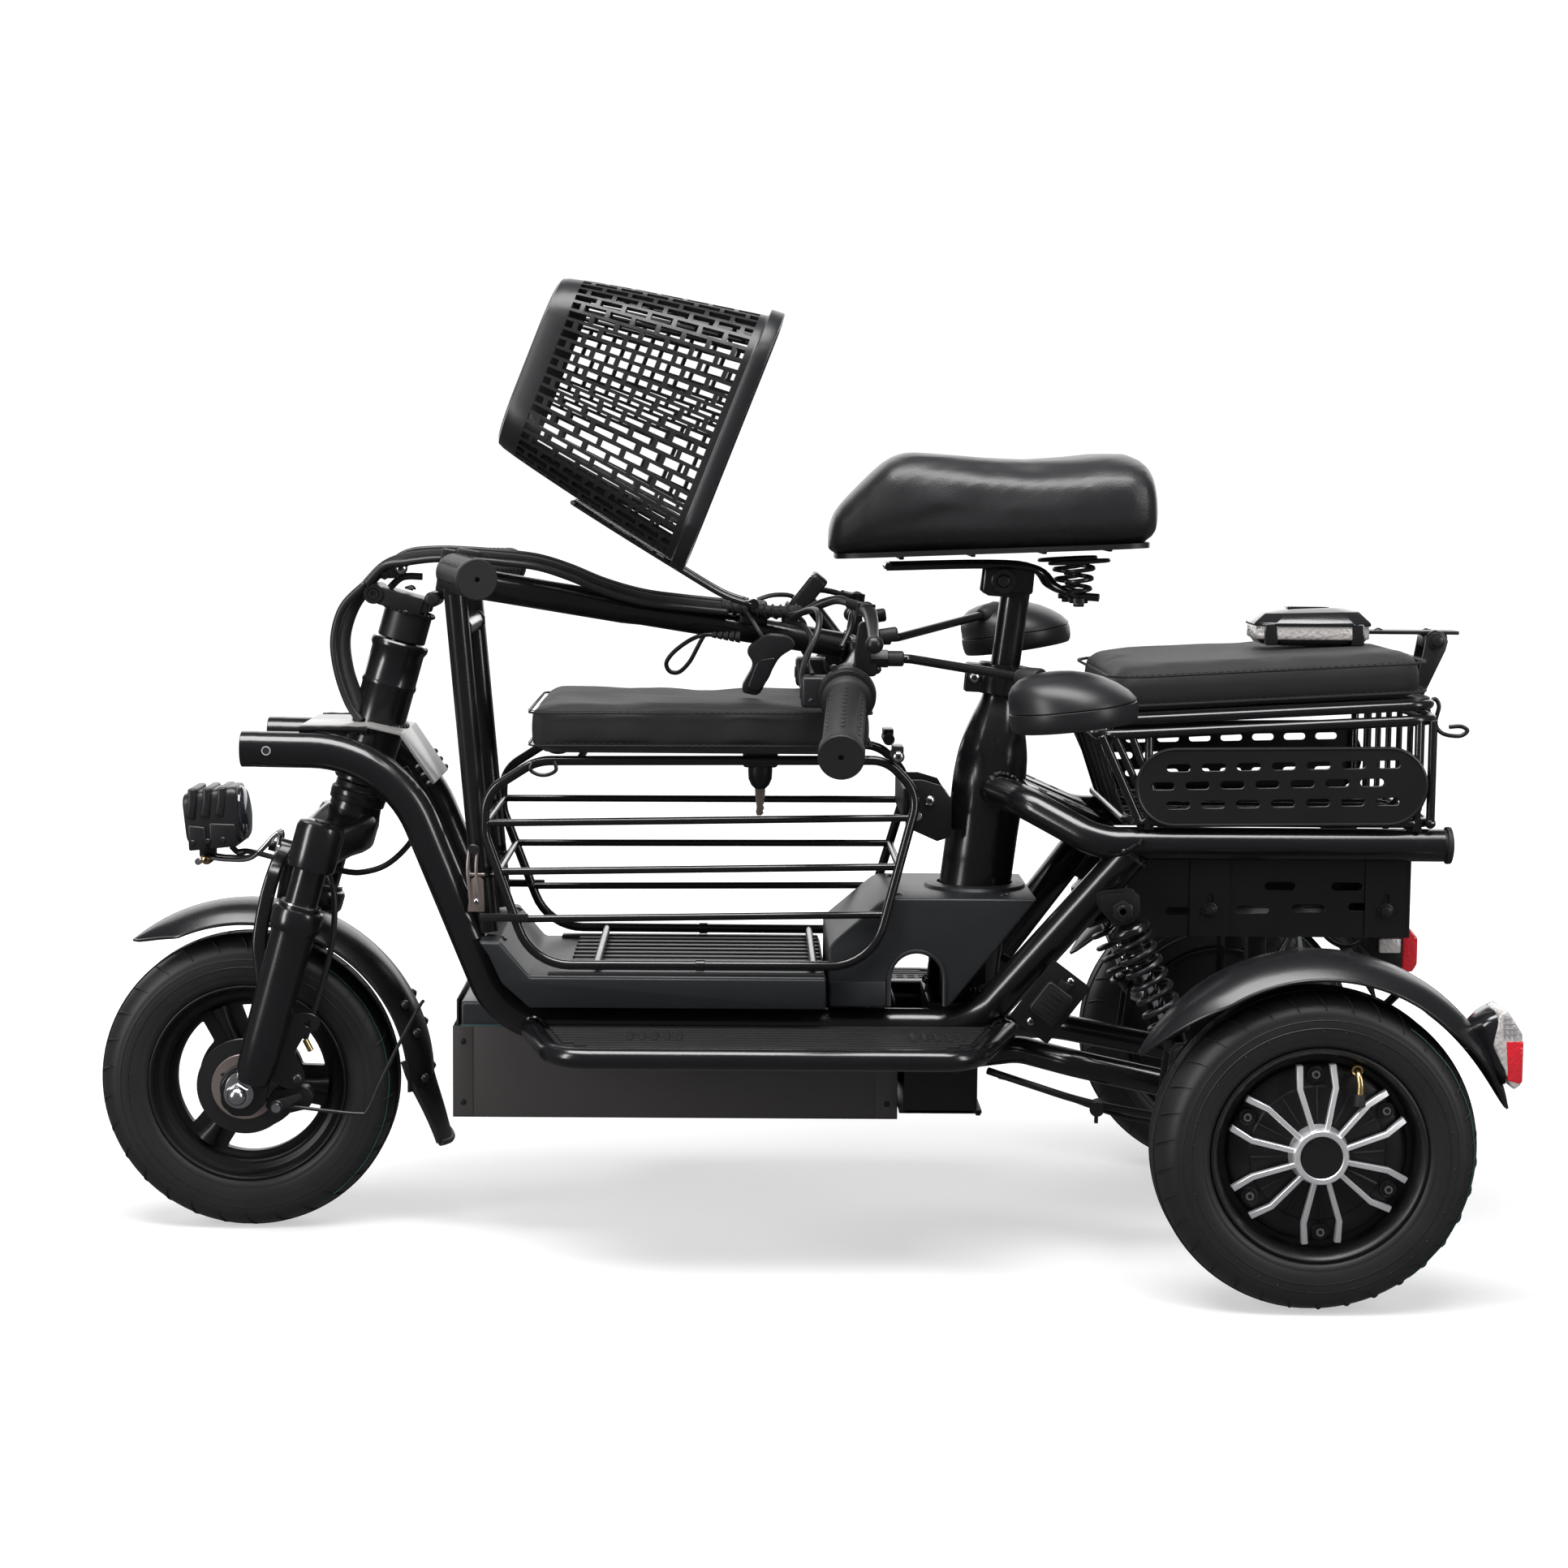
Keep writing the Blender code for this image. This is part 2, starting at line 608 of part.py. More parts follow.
# --- Fork and front wheel ---------------------------------------------------------------------
def steering_matrix():
    """Carries (forward, across, height) to the world."""
    side = Vector((0, 1, 0))
    turn = Matrix((STEER_FORWARD, side, STEER_UP)).transposed()
    return Matrix.Translation(HEAD_FOOT) @ turn.to_4x4()


def steering_block(low, high):
    return moved(block(low, high), steering_matrix())


def make_steering(look):
    steerer = rod(on_head(-0.03), on_head(0.148), STEERER_RADIUS, 16)
    hub = turned([(0, 0), (0.020, 0), (0.0235, 0.012), (0.0225, 0.041), (0, 0.041)],
                 on_head(-0.047), STEER_UP, 16)
    bar = steering_block((-0.014, -FORK_HALF, -0.066), (0.030, FORK_HALF, -0.040))
    pieces = [hub, bar]
    for side in SIDES.values():
        clamp_low, clamp_high, leg_low = (
            on_head(height, FORK_OFFSET, side * FORK_HALF) for height in (-0.073, -0.033, -0.165)
        )
        pieces.append(rod(clamp_low, clamp_high, 0.0205, 12))
        pieces.append(rod(leg_low, clamp_high, STANCHION_RADIUS, 12))
    publish("fork_crown", steerer, look["paint"], join=pieces, origin=HEAD_FOOT)

    make_fold_base(look)


def make_fold_base(look):
    bore = STEERER_RADIUS + GAP
    low, high = HEAD_TUBE_TOP + 0.0015, 0.153
    sleeve = turned([(bore, low), (0.0205, low), (0.0205, high), (bore, high)], HEAD_FOOT, STEER_UP, 16)
    plate = steering_block((-0.0115, -0.0225, FOLD_PLATE_LOW), (0.0255, 0.0225, FOLD_PLATE_HIGH))
    catch = rod(on_head(0.1586, 0.0305, -0.0225), on_head(0.1586, 0.0305, 0.0225), 0.0085, 12)
    knuckles = []
    for side in SIDES.values():
        low_y, high_y = span(side, 0.0085, 0.0205)
        knuckles.append(across_rod(FOLD_PIVOT, low_y, high_y, 0.0065))
        knuckles.append(steering_block((-0.0175, low_y, 0.1545), (-0.010, high_y, 0.1655)))
    publish("fold_base", sleeve, look["matte"], join=[plate, catch] + knuckles, origin=HEAD_FOOT)


def make_fork_lowers(look):
    length = LEG_TOP - LEG_BOTTOM
    leg = [
        (0, 0), (0.0135, 0), (0.0160, 0.012), (LEG_RADIUS, length - 0.024), (0.0215, length - 0.020),
        (0.0215, length - 0.004), (0.0175, length), (0, length),
    ]
    pieces = []
    bores = []
    for side in SIDES.values():
        foot = on_head(LEG_BOTTOM, FORK_OFFSET, side * FORK_HALF)
        pieces.append(turned(leg, foot, STEER_UP, 12))
        bore_low, bore_high = foot + STEER_UP * 0.030, foot + STEER_UP * (length + 0.01)
        bores.append(rod(bore_low, bore_high, STANCHION_RADIUS + GAP, 12))
        pieces.append(across_rod(FRONT_AXLE, *span(side, 0.060, 0.078), 0.018))
        pieces.append(across_rod(FRONT_AXLE, *span(side, 0.0770, 0.0890), 0.0105, 10))
    pieces.append(steering_block((-0.016, -0.0690, -0.246), (0.012, -0.0620, -0.188)))
    pieces.append(fork_brace())
    strap_end = HEADLIGHT_PIVOT + Vector((0.004, 0, -0.003))
    pieces.append(tube([on_head(-0.070, 0.047), on_head(-0.080, 0.058), strap_end], 0.0040, 6))
    publish("fork_lowers", across_rod(FRONT_AXLE, -0.086, 0.086, 0.0058), look["paint"],
            join=pieces, cut=bores, origin=FRONT_AXLE)


def fork_brace():
    near = [(-0.200, 0.024, 0.060), (-0.196, 0.044, 0.050), (-0.076, 0.047, 0.050), (-0.070, 0.047, 0.034)]
    arch = [on_head(height, forward, -across) for height, forward, across in near]
    arch += [on_head(height, forward, across) for height, forward, across in near[::-1]]
    return tube(round_path(arch, (0.006, 0.012, 0.008, 0.008, 0.012, 0.006), 2), 0.0055, 6)


def make_headlight(look):
    profile = [
        (0, -0.030), (0.020, -0.030), (0.0285, -0.020), (0.0285, 0.020), (0.0255, 0.0295), (0, 0.0295),
    ]
    can = turned(profile, (-0.4775, 0, 0.3545), (-1, 0, 0), 14)
    foot = block((-0.492, -0.006, 0.3235), (-0.482, 0.006, 0.335))
    publish("headlight", can, look["plastic"], join=[foot], origin=HEADLIGHT_PIVOT)


def fender(centre, half, start, end, flare_from, flare, pointed):
    """A crowned mudguard sheet swept about a wheel's centre; angles are degrees above the rear."""
    sheet = 0.002
    steps = 12
    across = 4
    sections = []
    for k in range(steps + 1):
        degrees = start + (end - start) * k / steps
        share = sin(pi * k / steps)
        width = half * (pointed + (1 - pointed) * min(1.0, share * 1.9))
        out = FENDER_RADIUS + flare * max(0.0, (flare_from - degrees) / (flare_from - start))
        radial = Vector((cos(radians(degrees)), 0, sin(radians(degrees))))
        outside, inside = [], []
        for n in range(across + 1):
            y = -1 + 2 * n / across
            reach = out - 0.017 * y * y
            outside.append(centre + radial * reach + Vector((0, y * width, 0)))
            inside.append(centre + radial * (reach - sheet) + Vector((0, y * width * 0.985, 0)))
        sections.append(outside + inside[::-1])
    return loft(sections)


def tyre(centre, half):
    inner = RIM_RADIUS + GAP
    side = [(inner, 0.86), (0.089, 0.95), (0.104, 1.0), (0.117, 0.88), (0.1245, 0.55)]
    profile = [(r, -y * half) for r, y in side] + [(WHEEL_RADIUS, 0)]
    profile += [(r, y * half) for r, y in side[::-1]]
    return turned(profile, centre, (0, 1, 0), WHEEL_SIDES)


def make_front_wheel(look):
    guard = fender(FRONT_AXLE, 0.039, -17, 130, -6, 0.026, 0.45)
    publish("front_fender", guard, look["plastic"])
    publish("front_tyre", tyre(FRONT_AXLE, FRONT_TYRE_HALF), look["rubber"], origin=FRONT_AXLE)
    near = [
        (0.0063, 0.050), (0.024, 0.050), (0.026, 0.020), (0.030, 0.005), (0.070, 0.004), (0.077, 0.018),
        (0.081, 0.026), (RIM_RADIUS, 0.028),
    ]
    profile = [(r, -y) for r, y in near] + near[::-1]
    windows = []
    for number in range(3):
        middle = 54 + 120 * number
        outer = arc((0, 0), 0.0650, middle - 44, middle + 44, 8)
        inner = arc((0, 0), 0.0445, middle + 38, middle - 38, 5)
        outline = [(FRONT_AXLE.x + a, FRONT_AXLE.z + b) for a, b in outer + inner]
        windows.append(prism(outline, -0.03, 0.03))
    publish("front_rim", turned(profile, FRONT_AXLE, (0, 1, 0), WHEEL_SIDES), look["matte"], cut=windows,
            origin=FRONT_AXLE)


# --- Folding column, handlebar and basket -----------------------------------------------------
def column_bar(grow=0.0):
    path = [on_column(0.010), on_column(0.165), on_column(0.172), on_column(0.352), on_column(0.3585)]
    radii = [COLUMN_RADIUS, COLUMN_RADIUS, COLUMN_TIP_RADIUS, COLUMN_TIP_RADIUS, 0.006]
    return tube(path, [r + grow for r in radii], 12)


def column_block(low, high):
    """A block in (along, across, above the fold pivot)."""
    turn = Matrix((COLUMN_ALONG, Vector((0, 1, 0)), COLUMN_ABOVE)).transposed()
    return moved(block(low, high), Matrix.Translation(FOLD_PIVOT) @ turn.to_4x4())


def make_column(look):
    pieces = [
        column_block((0.0015, -0.0225, 0.0078), (0.0130, 0.0225, 0.0440)),
        column_block((0.0025, -0.0080, 0.0010), (0.0120, 0.0080, 0.0100)),
        across_rod(FOLD_PIVOT, -0.0080, 0.0080, 0.0065),
        block((-0.034, -0.012, 0.5225), (-0.010, 0.012, 0.541)),
        rod((-0.022, -0.036, 0.5395), (-0.022, 0.036, 0.5395), 0.0045, 8),
    ]
    for side in SIDES.values():
        y = side * 0.034
        rail = [(-0.175, y, 0.6168), (-0.084, y, 0.5560), (-0.022, y, 0.5395)]
        pieces.append(tube(rail, 0.0036, 6))
    publish("column_tube", column_bar(), look["paint"], join=pieces, origin=FOLD_PIVOT)
    make_basket(look)


def make_basket(look):
    along = (BASKET_RIM - BASKET_BASE).normalized()
    above = Vector((-along.z, 0, along.x))
    depth = (BASKET_RIM - BASKET_BASE).length

    def shell(layers):
        sections = []
        for distance, half_high, half_wide, corner in layers:
            outline = rounded_rectangle(half_high, half_wide, corner, 3)
            centre = BASKET_BASE + along * distance
            sections.append([centre + above * a + Vector((0, b, 0)) for a, b in outline])
        return loft(sections)

    outer = (
        (0, 0.068, 0.100, 0.038), (0.008, 0.0745, 0.106, 0.040), (depth - 0.012, 0.107, 0.136, 0.048),
        (depth - 0.011, 0.112, 0.142, 0.050), (depth, 0.112, 0.142, 0.050),
    )
    inner = (
        (0.004, 0.066, 0.098, 0.036), (0.010, 0.0715, 0.103, 0.038), (depth - 0.012, 0.104, 0.133, 0.046),
        (depth + 0.01, 0.108, 0.137, 0.048),
    )
    publish("front_basket", shell(outer), look["plastic"], cut=[shell(inner)])


def grip_point(share, side):
    """A point on the grip's axis: 0 at the root and 1 at the end."""
    return sided(GRIP_ROOT.lerp(GRIP_END, share), side)


def handlebar(grow=0.0):
    middle = Vector((0, 0.040, 0))
    path = [
        grip_point(0.975, -1), grip_point(0, -1), BAR_CENTRE - middle,
        BAR_CENTRE + middle, grip_point(0, 1), grip_point(0.975, 1),
    ]
    return tube(round_path(path, (0.06, 0.03, 0.03, 0.06), 3), BAR_RADIUS + grow)


def make_handlebar(look):
    clamp = block((0.0590, -0.020, 0.478), (0.0835, 0.020, 0.510))
    publish("handlebar", handlebar(), look["paint"], join=[clamp], cut=[column_bar(GAP)])
    for name, side in SIDES.items():
        make_controls(look, name, side)
        make_brake_lever(look, name, side)
        make_grip(look, "throttle_grip" if name == "left" else f"grip_{name}", side)
        make_mirror(look, name, side)


def stalk_points(name, side):
    """The mirror stalk's root, bend and tip."""
    root_z = STALK_ROOT_Z[name]
    return [
        Vector((0.095, side * 0.105, root_z)), Vector((0.106, side * 0.106, root_z)),
        Vector((0.199, side * 0.205, STALK_TIP_Z[name])),
    ]


def make_controls(look, name, side):
    root, end = grip_point(0, side), grip_point(1, side)
    along = (end - root).normalized()
    housing = rod(root + along * 0.040, root + along * 0.054, 0.0235, 16)
    perch = rod(root + along * 0.004, root + along * 0.022, 0.0155, 12)
    bridge = rod(root + along * 0.020, root + along * 0.042, 0.0140, 12)
    switch = block((-0.036, -0.014, -0.010), (-0.012, 0.014, 0.009))
    low_y, high_y = span(side, 0.099, 0.111)
    arm = block((0.0600, low_y, 0.486), (0.0785, high_y, 0.5280))
    nut_z = STALK_ROOT_Z[name]
    nut = rod((0.074, side * 0.105, nut_z), (0.099, side * 0.105, nut_z), 0.0082, 8)
    stalk = tube(round_path(stalk_points(name, side), (0.010,), 3), 0.0038, 6)
    switch = moved(switch, Matrix.Translation(root + along * 0.029))
    publish(f"control_{name}", housing, look["plastic"], join=[perch, bridge, switch, arm, nut, stalk],
            cut=[handlebar(GAP)])


def make_brake_lever(look, name, side):
    pivot, bend, tip = (
        Vector((0.0692, side * 0.105, 0.5385)), Vector((0.0715, side * 0.130, 0.5350)),
        Vector((0.0704, side * 0.248, 0.5185)),
    )
    blade = tube([pivot, bend, tip], [0.0062, 0.0052, 0.0045], 8)
    publish(f"brake_lever_{name}", blade, look["matte"], join=[ball(tip, 0.0072)], origin=pivot)


def ball(centre, radius):
    half = [(0, radius), (0.7 * radius, 0.72 * radius)]
    profile = [(r, -y) for r, y in half] + [(radius, 0)] + half[::-1]
    return turned(profile, centre, (0, 1, 0), 10)


def make_grip(look, node, side):
    root, end = grip_point(0, side), grip_point(1, side)
    along = (end - root).normalized()
    profile = [
        (0, 0.056), (0.0200, 0.056), (0.0200, 0.060), (GRIP_RADIUS, 0.063), (GRIP_RADIUS, 0.186),
        (0.0178, 0.189), (0.0178, 0.2045), (0, 0.2045),
    ]
    bore = rod(root + along * 0.05, root + along * 0.198, BAR_RADIUS + 2 * GAP)
    publish(node, turned(profile, root, along, 14), look["rubber"], cut=[bore], origin=end)


def make_mirror(look, name, side):
    centre = Vector((0.2275, side * 0.226, MIRROR_Z[name]))
    profile = [
        (0, -0.0215), (0.046, -0.0215), (0.0500, -0.016), (0.0500, -0.006), (0.044, 0.010), (0.030, 0.021),
        (0, 0.027),
    ]
    place = Matrix.Translation(centre) @ Matrix.Rotation(MIRROR_LEAN[name], 4, "Y")
    shell = moved(turned(profile, (0, 0, 0), (0, 0, 1), 18, stretch=1.12), place)
    _, bend, tip = stalk_points(name, side)
    relief = rod(bend, tip + (tip - bend).normalized() * 0.012, 0.0085, 8)
    publish(f"mirror_{name}", shell, look["plastic"], cut=[relief], origin=tip)


# --- Saddle -----------------------------------------------------------------------------------
def make_saddle(look):
    head = block((0.180, -0.0165, 0.5495), (0.221, 0.0165, 0.5700))
    pieces = [
        head,
        rod((0.189, -0.028, 0.560), (0.189, 0.028, 0.560), 0.0095, 12),
        rod((0.092, -0.022, 0.5705), (0.092, 0.022, 0.5705), 0.0034, 6),
    ]
    for side in SIDES.values():
        y = side * 0.020
        path = [
            (0.090, y, 0.5705), (0.205, y, 0.5725), (0.232, side * 0.036, 0.556),
            (0.262, side * 0.052, 0.5480),
        ]
        pieces.append(tube(round_path(path, (0.02, 0.02), 2), 0.0034, 6))
        pieces.append(rod((0.248, side * 0.050, 0.5450), (0.248, side * 0.050, 0.5495), 0.0135, 10))
    publish("seat_post", seat_post_rod(), look["paint"], join=pieces, origin=on_seat(0.566))
    publish("saddle", saddle_form(), look["leather"])


def saddle_form():
    """Stations from the nose to the tail: x, top height, half width."""
    stations = (
        (0.0385, 0.5980, 0.012), (0.0400, 0.6120, 0.024), (0.0480, 0.6300, 0.036), (0.0660, 0.6480, 0.046),
        (0.0900, 0.6600, 0.053), (0.1200, 0.6655, 0.060), (0.1600, 0.6640, 0.070), (0.2000, 0.6625, 0.082),
        (0.2400, 0.6640, 0.094), (0.2750, 0.6665, 0.101), (0.2950, 0.6640, 0.101), (0.3060, 0.6500, 0.094),
        (0.3100, 0.6200, 0.080),
    )
    skirt = 0.012
    sections = []
    for x, top, half in stations:
        low = 0.5775 + (x - 0.04) * 0.048
        section = [Vector((x, -half * 0.93, low)), Vector((x, half * 0.93, low))]
        for k in range(9):
            angle = pi * k / 8
            rise = (abs(sin(angle)) ** 0.55) * (top - low - skirt)
            section.append(Vector((x, half * cos(angle), low + skirt + rise)))
        sections.append(section)
    return loft(sections)


# --- Rear axle --------------------------------------------------------------------------------
def make_swing_arm(look):
    half_beam = [(0.014, 0.196), (0.008, 0.196), (0.008, 0.236), (0, 0.236)]
    profile = [(radius, -y) for radius, y in half_beam[::-1]] + half_beam
    pieces = [turned(profile, REAR_AXLE, (0, 1, 0), 12)]
    ear = [(0.312, 0.128), (0.344, 0.128), (0.3345, 0.1880), (0.3215, 0.1880)]
    spacer = Vector((0.327, 0, 0.1430))
    for side in SIDES.values():
        path = [
            (0.156, side * 0.040, 0.157), (0.205, side * 0.054, 0.166), (0.250, side * 0.088, 0.160),
            (0.416, side * 0.098, 0.127),
        ]
        pieces.append(tube(round_path(path, (0.05, 0.05), 2), 0.0115, 8))
        pieces.append(prism(ear, *span(side, 0.1215, 0.1265)))
        pieces.append(across_rod(spacer, *span(side, 0.094, 0.125), 0.009, 8))
        pin_centre = Vector((SHOCK_FOOT.x, 0, SHOCK_FOOT.z))
        pieces.append(across_rod(pin_centre, *span(side, 0.124, 0.149), 0.0035, 8))
    bore = across_rod(SWING_PIVOT, -0.08, 0.08, 0.006 + GAP)
    publish("swing_arm", across_rod(SWING_PIVOT, -0.06, 0.06, 0.0125), look["paint"], join=pieces, cut=[bore],
            origin=SWING_PIVOT)


def make_rear_wheels(look):
    hub = [
        (0, -0.010), (0.0084, -0.010), (0.0084, -0.050), (0.020, -0.050), (0.022, -0.036), (0.055, -0.030),
        (0.079, -0.030), (RIM_RADIUS, -0.034), (RIM_RADIUS, 0.034), (0.080, 0.034), (0.078, 0.016),
        (0.069, 0.016), (0.066, 0.023), (0.024, 0.028), (0.023, 0.041), (0, 0.042),
    ]
    light = [
        (0.5540, 0.2120), (0.5580, 0.2370), (0.5640, 0.2400), (0.5755, 0.2220), (0.5755, 0.1810),
        (0.5690, 0.1780), (0.5665, 0.1860),
    ]
    for name, side in SIDES.items():
        centre = REAR_AXLE + Vector((0, side * TRACK_HALF, 0))
        publish(f"rear_tyre_{name}", tyre(centre, REAR_TYRE_HALF), look["rubber"], origin=centre)
        publish(f"hub_motor_{name}", turned(hub, centre, (0, side, 0), WHEEL_SIDES), look["matte"], origin=centre)
        guard = fender(centre, 0.041, 14, 150, 30, -0.004, 0.10)
        publish(f"rear_fender_{name}", guard, look["plastic"])
        lens = prism(light, centre.y - 0.024, centre.y + 0.024)
        publish(f"tail_light_{name}", lens, look["lens"])


def make_shocks(look):
    down = (SHOCK_FOOT - SHOCK_TOP).normalized()
    length = (SHOCK_FOOT - SHOCK_TOP).length
    coil = [(0.0106, 0.0226), (0.0175, 0.0226), (0.0175, length - 0.0206), (0.0106, length - 0.0206)]
    for name, side in SIDES.items():
        top, foot = sided(SHOCK_TOP, side), sided(SHOCK_FOOT, side)
        upper = [
            rod(top + down * 0.010, top + down * 0.022, 0.0165, 12),
            rod(top + down * 0.006, top + down * 0.066, 0.0098, 12),
            across_rod(top, -0.013, 0.013, 0.004, 8),
        ]
        inside = rod(top + down * 0.030, top + down * 0.080, 0.0052, 10)
        publish(f"shock_body_{name}", across_rod(top, -0.0085, 0.0085, 0.0095), look["paint"], join=upper,
                cut=[inside], origin=top)
        lower = [
            rod(top + down * 0.0565, top + down * (length - 0.007), 0.0048, 10),
            rod(top + down * (length - 0.020), top + down * (length - 0.012), 0.0165, 12),
        ]
        ring_bore = across_rod(foot, -0.013, 0.013, 0.0058, 10)
        publish(f"shock_rod_{name}", across_rod(foot, -0.0085, 0.0085, 0.0098), look["matte"], join=lower,
                cut=[ring_bore], origin=foot)
        publish(f"shock_spring_{name}", turned(coil, top, down, 12), look["paint"])


def main():
    for old in list(bpy.data.objects):
        bpy.data.objects.remove(old)
    look = make_materials()
    for make in (
        make_frame, make_floor, make_foot_rests, make_charge_port, make_child_handle, make_child_seat,
        make_rack, make_lid, make_steering, make_fork_lowers, make_headlight, make_front_wheel,
        make_column, make_handlebar, make_saddle, make_swing_arm, make_rear_wheels, make_shocks,
    ):
        make(look)


main()
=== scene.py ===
"""Looks of a folded electric trike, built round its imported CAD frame: metres, +Z up, front towards -X."""

from math import acos, cos, hypot, pi, radians, sin, tan

import bmesh
import bpy
from mathutils import Matrix, Vector
from mathutils.geometry import delaunay_2d_cdt


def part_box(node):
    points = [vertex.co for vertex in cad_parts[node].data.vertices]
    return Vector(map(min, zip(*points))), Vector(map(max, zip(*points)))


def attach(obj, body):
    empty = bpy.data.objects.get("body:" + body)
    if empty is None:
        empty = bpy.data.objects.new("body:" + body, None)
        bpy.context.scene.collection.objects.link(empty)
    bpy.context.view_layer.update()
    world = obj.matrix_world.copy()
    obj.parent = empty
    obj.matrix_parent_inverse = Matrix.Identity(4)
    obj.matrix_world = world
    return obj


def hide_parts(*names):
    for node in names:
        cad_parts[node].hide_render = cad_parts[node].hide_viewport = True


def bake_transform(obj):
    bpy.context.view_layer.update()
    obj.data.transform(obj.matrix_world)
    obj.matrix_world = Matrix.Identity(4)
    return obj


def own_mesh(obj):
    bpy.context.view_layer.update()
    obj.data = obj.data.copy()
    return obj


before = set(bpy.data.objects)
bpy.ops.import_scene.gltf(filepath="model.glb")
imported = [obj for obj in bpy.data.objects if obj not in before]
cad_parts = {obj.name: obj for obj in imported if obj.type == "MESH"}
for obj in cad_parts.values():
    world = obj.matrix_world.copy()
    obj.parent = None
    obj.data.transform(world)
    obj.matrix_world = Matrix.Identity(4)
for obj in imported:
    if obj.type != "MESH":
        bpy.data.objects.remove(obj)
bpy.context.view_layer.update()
SIDES = (("left", -1), ("right", 1))
X, Y, Z = Vector((1, 0, 0)), Vector((0, 1, 0)), Vector((0, 0, 1))


# --- Materials --------------------------------------------------------------------------------
LOOKS = {}


def finish(name, color, rough, grain, metal=0.0, coat=0.0, level=0.5, mottle=0.05, sheen=0.0, tone=1.25):
    """A node material: grain is (kind, size in metres, strength), mottle the size of its slow variation."""
    spread = 0.05
    made = bpy.data.materials.new(name)
    made.use_nodes = True
    nodes, links = made.node_tree.nodes, made.node_tree.links
    shader = nodes["Principled BSDF"]
    shader.inputs["Metallic"].default_value = metal
    shader.inputs["Specular IOR Level"].default_value = level
    shader.inputs["Coat Weight"].default_value = coat
    shader.inputs["Coat Roughness"].default_value = 0.12
    shader.inputs["Sheen Weight"].default_value = sheen
    place = nodes.new("ShaderNodeTexCoord")
    slow = nodes.new("ShaderNodeTexNoise")
    slow.inputs["Scale"].default_value = 1 / mottle
    slow.inputs["Detail"].default_value = 4
    links.new(place.outputs["Object"], slow.inputs["Vector"])
    ramp = nodes.new("ShaderNodeMapRange")
    ramp.inputs["To Min"].default_value = max(0.02, rough - spread)
    ramp.inputs["To Max"].default_value = rough + spread
    links.new(slow.outputs["Fac"], ramp.inputs["Value"])
    links.new(ramp.outputs["Result"], shader.inputs["Roughness"])
    mix = nodes.new("ShaderNodeMix")
    mix.data_type = "RGBA"
    mix.inputs["A"].default_value = (*color, 1)
    mix.inputs["B"].default_value = (*(min(1, c * tone + 0.001) for c in color), 1)
    links.new(slow.outputs["Fac"], mix.inputs["Factor"])
    links.new(mix.outputs["Result"], shader.inputs["Base Color"])
    kind, size, strength = grain
    if kind == "noise":
        fine = nodes.new("ShaderNodeTexNoise")
        fine.inputs["Detail"].default_value = 3
        height = fine.outputs["Fac"]
    elif kind == "cells":
        fine = nodes.new("ShaderNodeTexVoronoi")
        height = fine.outputs["Distance"]
    else:
        fine = nodes.new("ShaderNodeTexWave")
        fine.bands_direction = "DIAGONAL"
        fine.inputs["Distortion"].default_value = 0.6
        fine.inputs["Detail Scale"].default_value = 2
        height = fine.outputs["Fac"]
    fine.inputs["Scale"].default_value = 1 / size
    links.new(place.outputs["Object"], fine.inputs["Vector"])
    bump = nodes.new("ShaderNodeBump")
    bump.inputs["Strength"].default_value = strength
    bump.inputs["Distance"].default_value = size * 0.5
    links.new(height, bump.inputs["Height"])
    links.new(bump.outputs["Normal"], shader.inputs["Normal"])
    LOOKS[name] = made


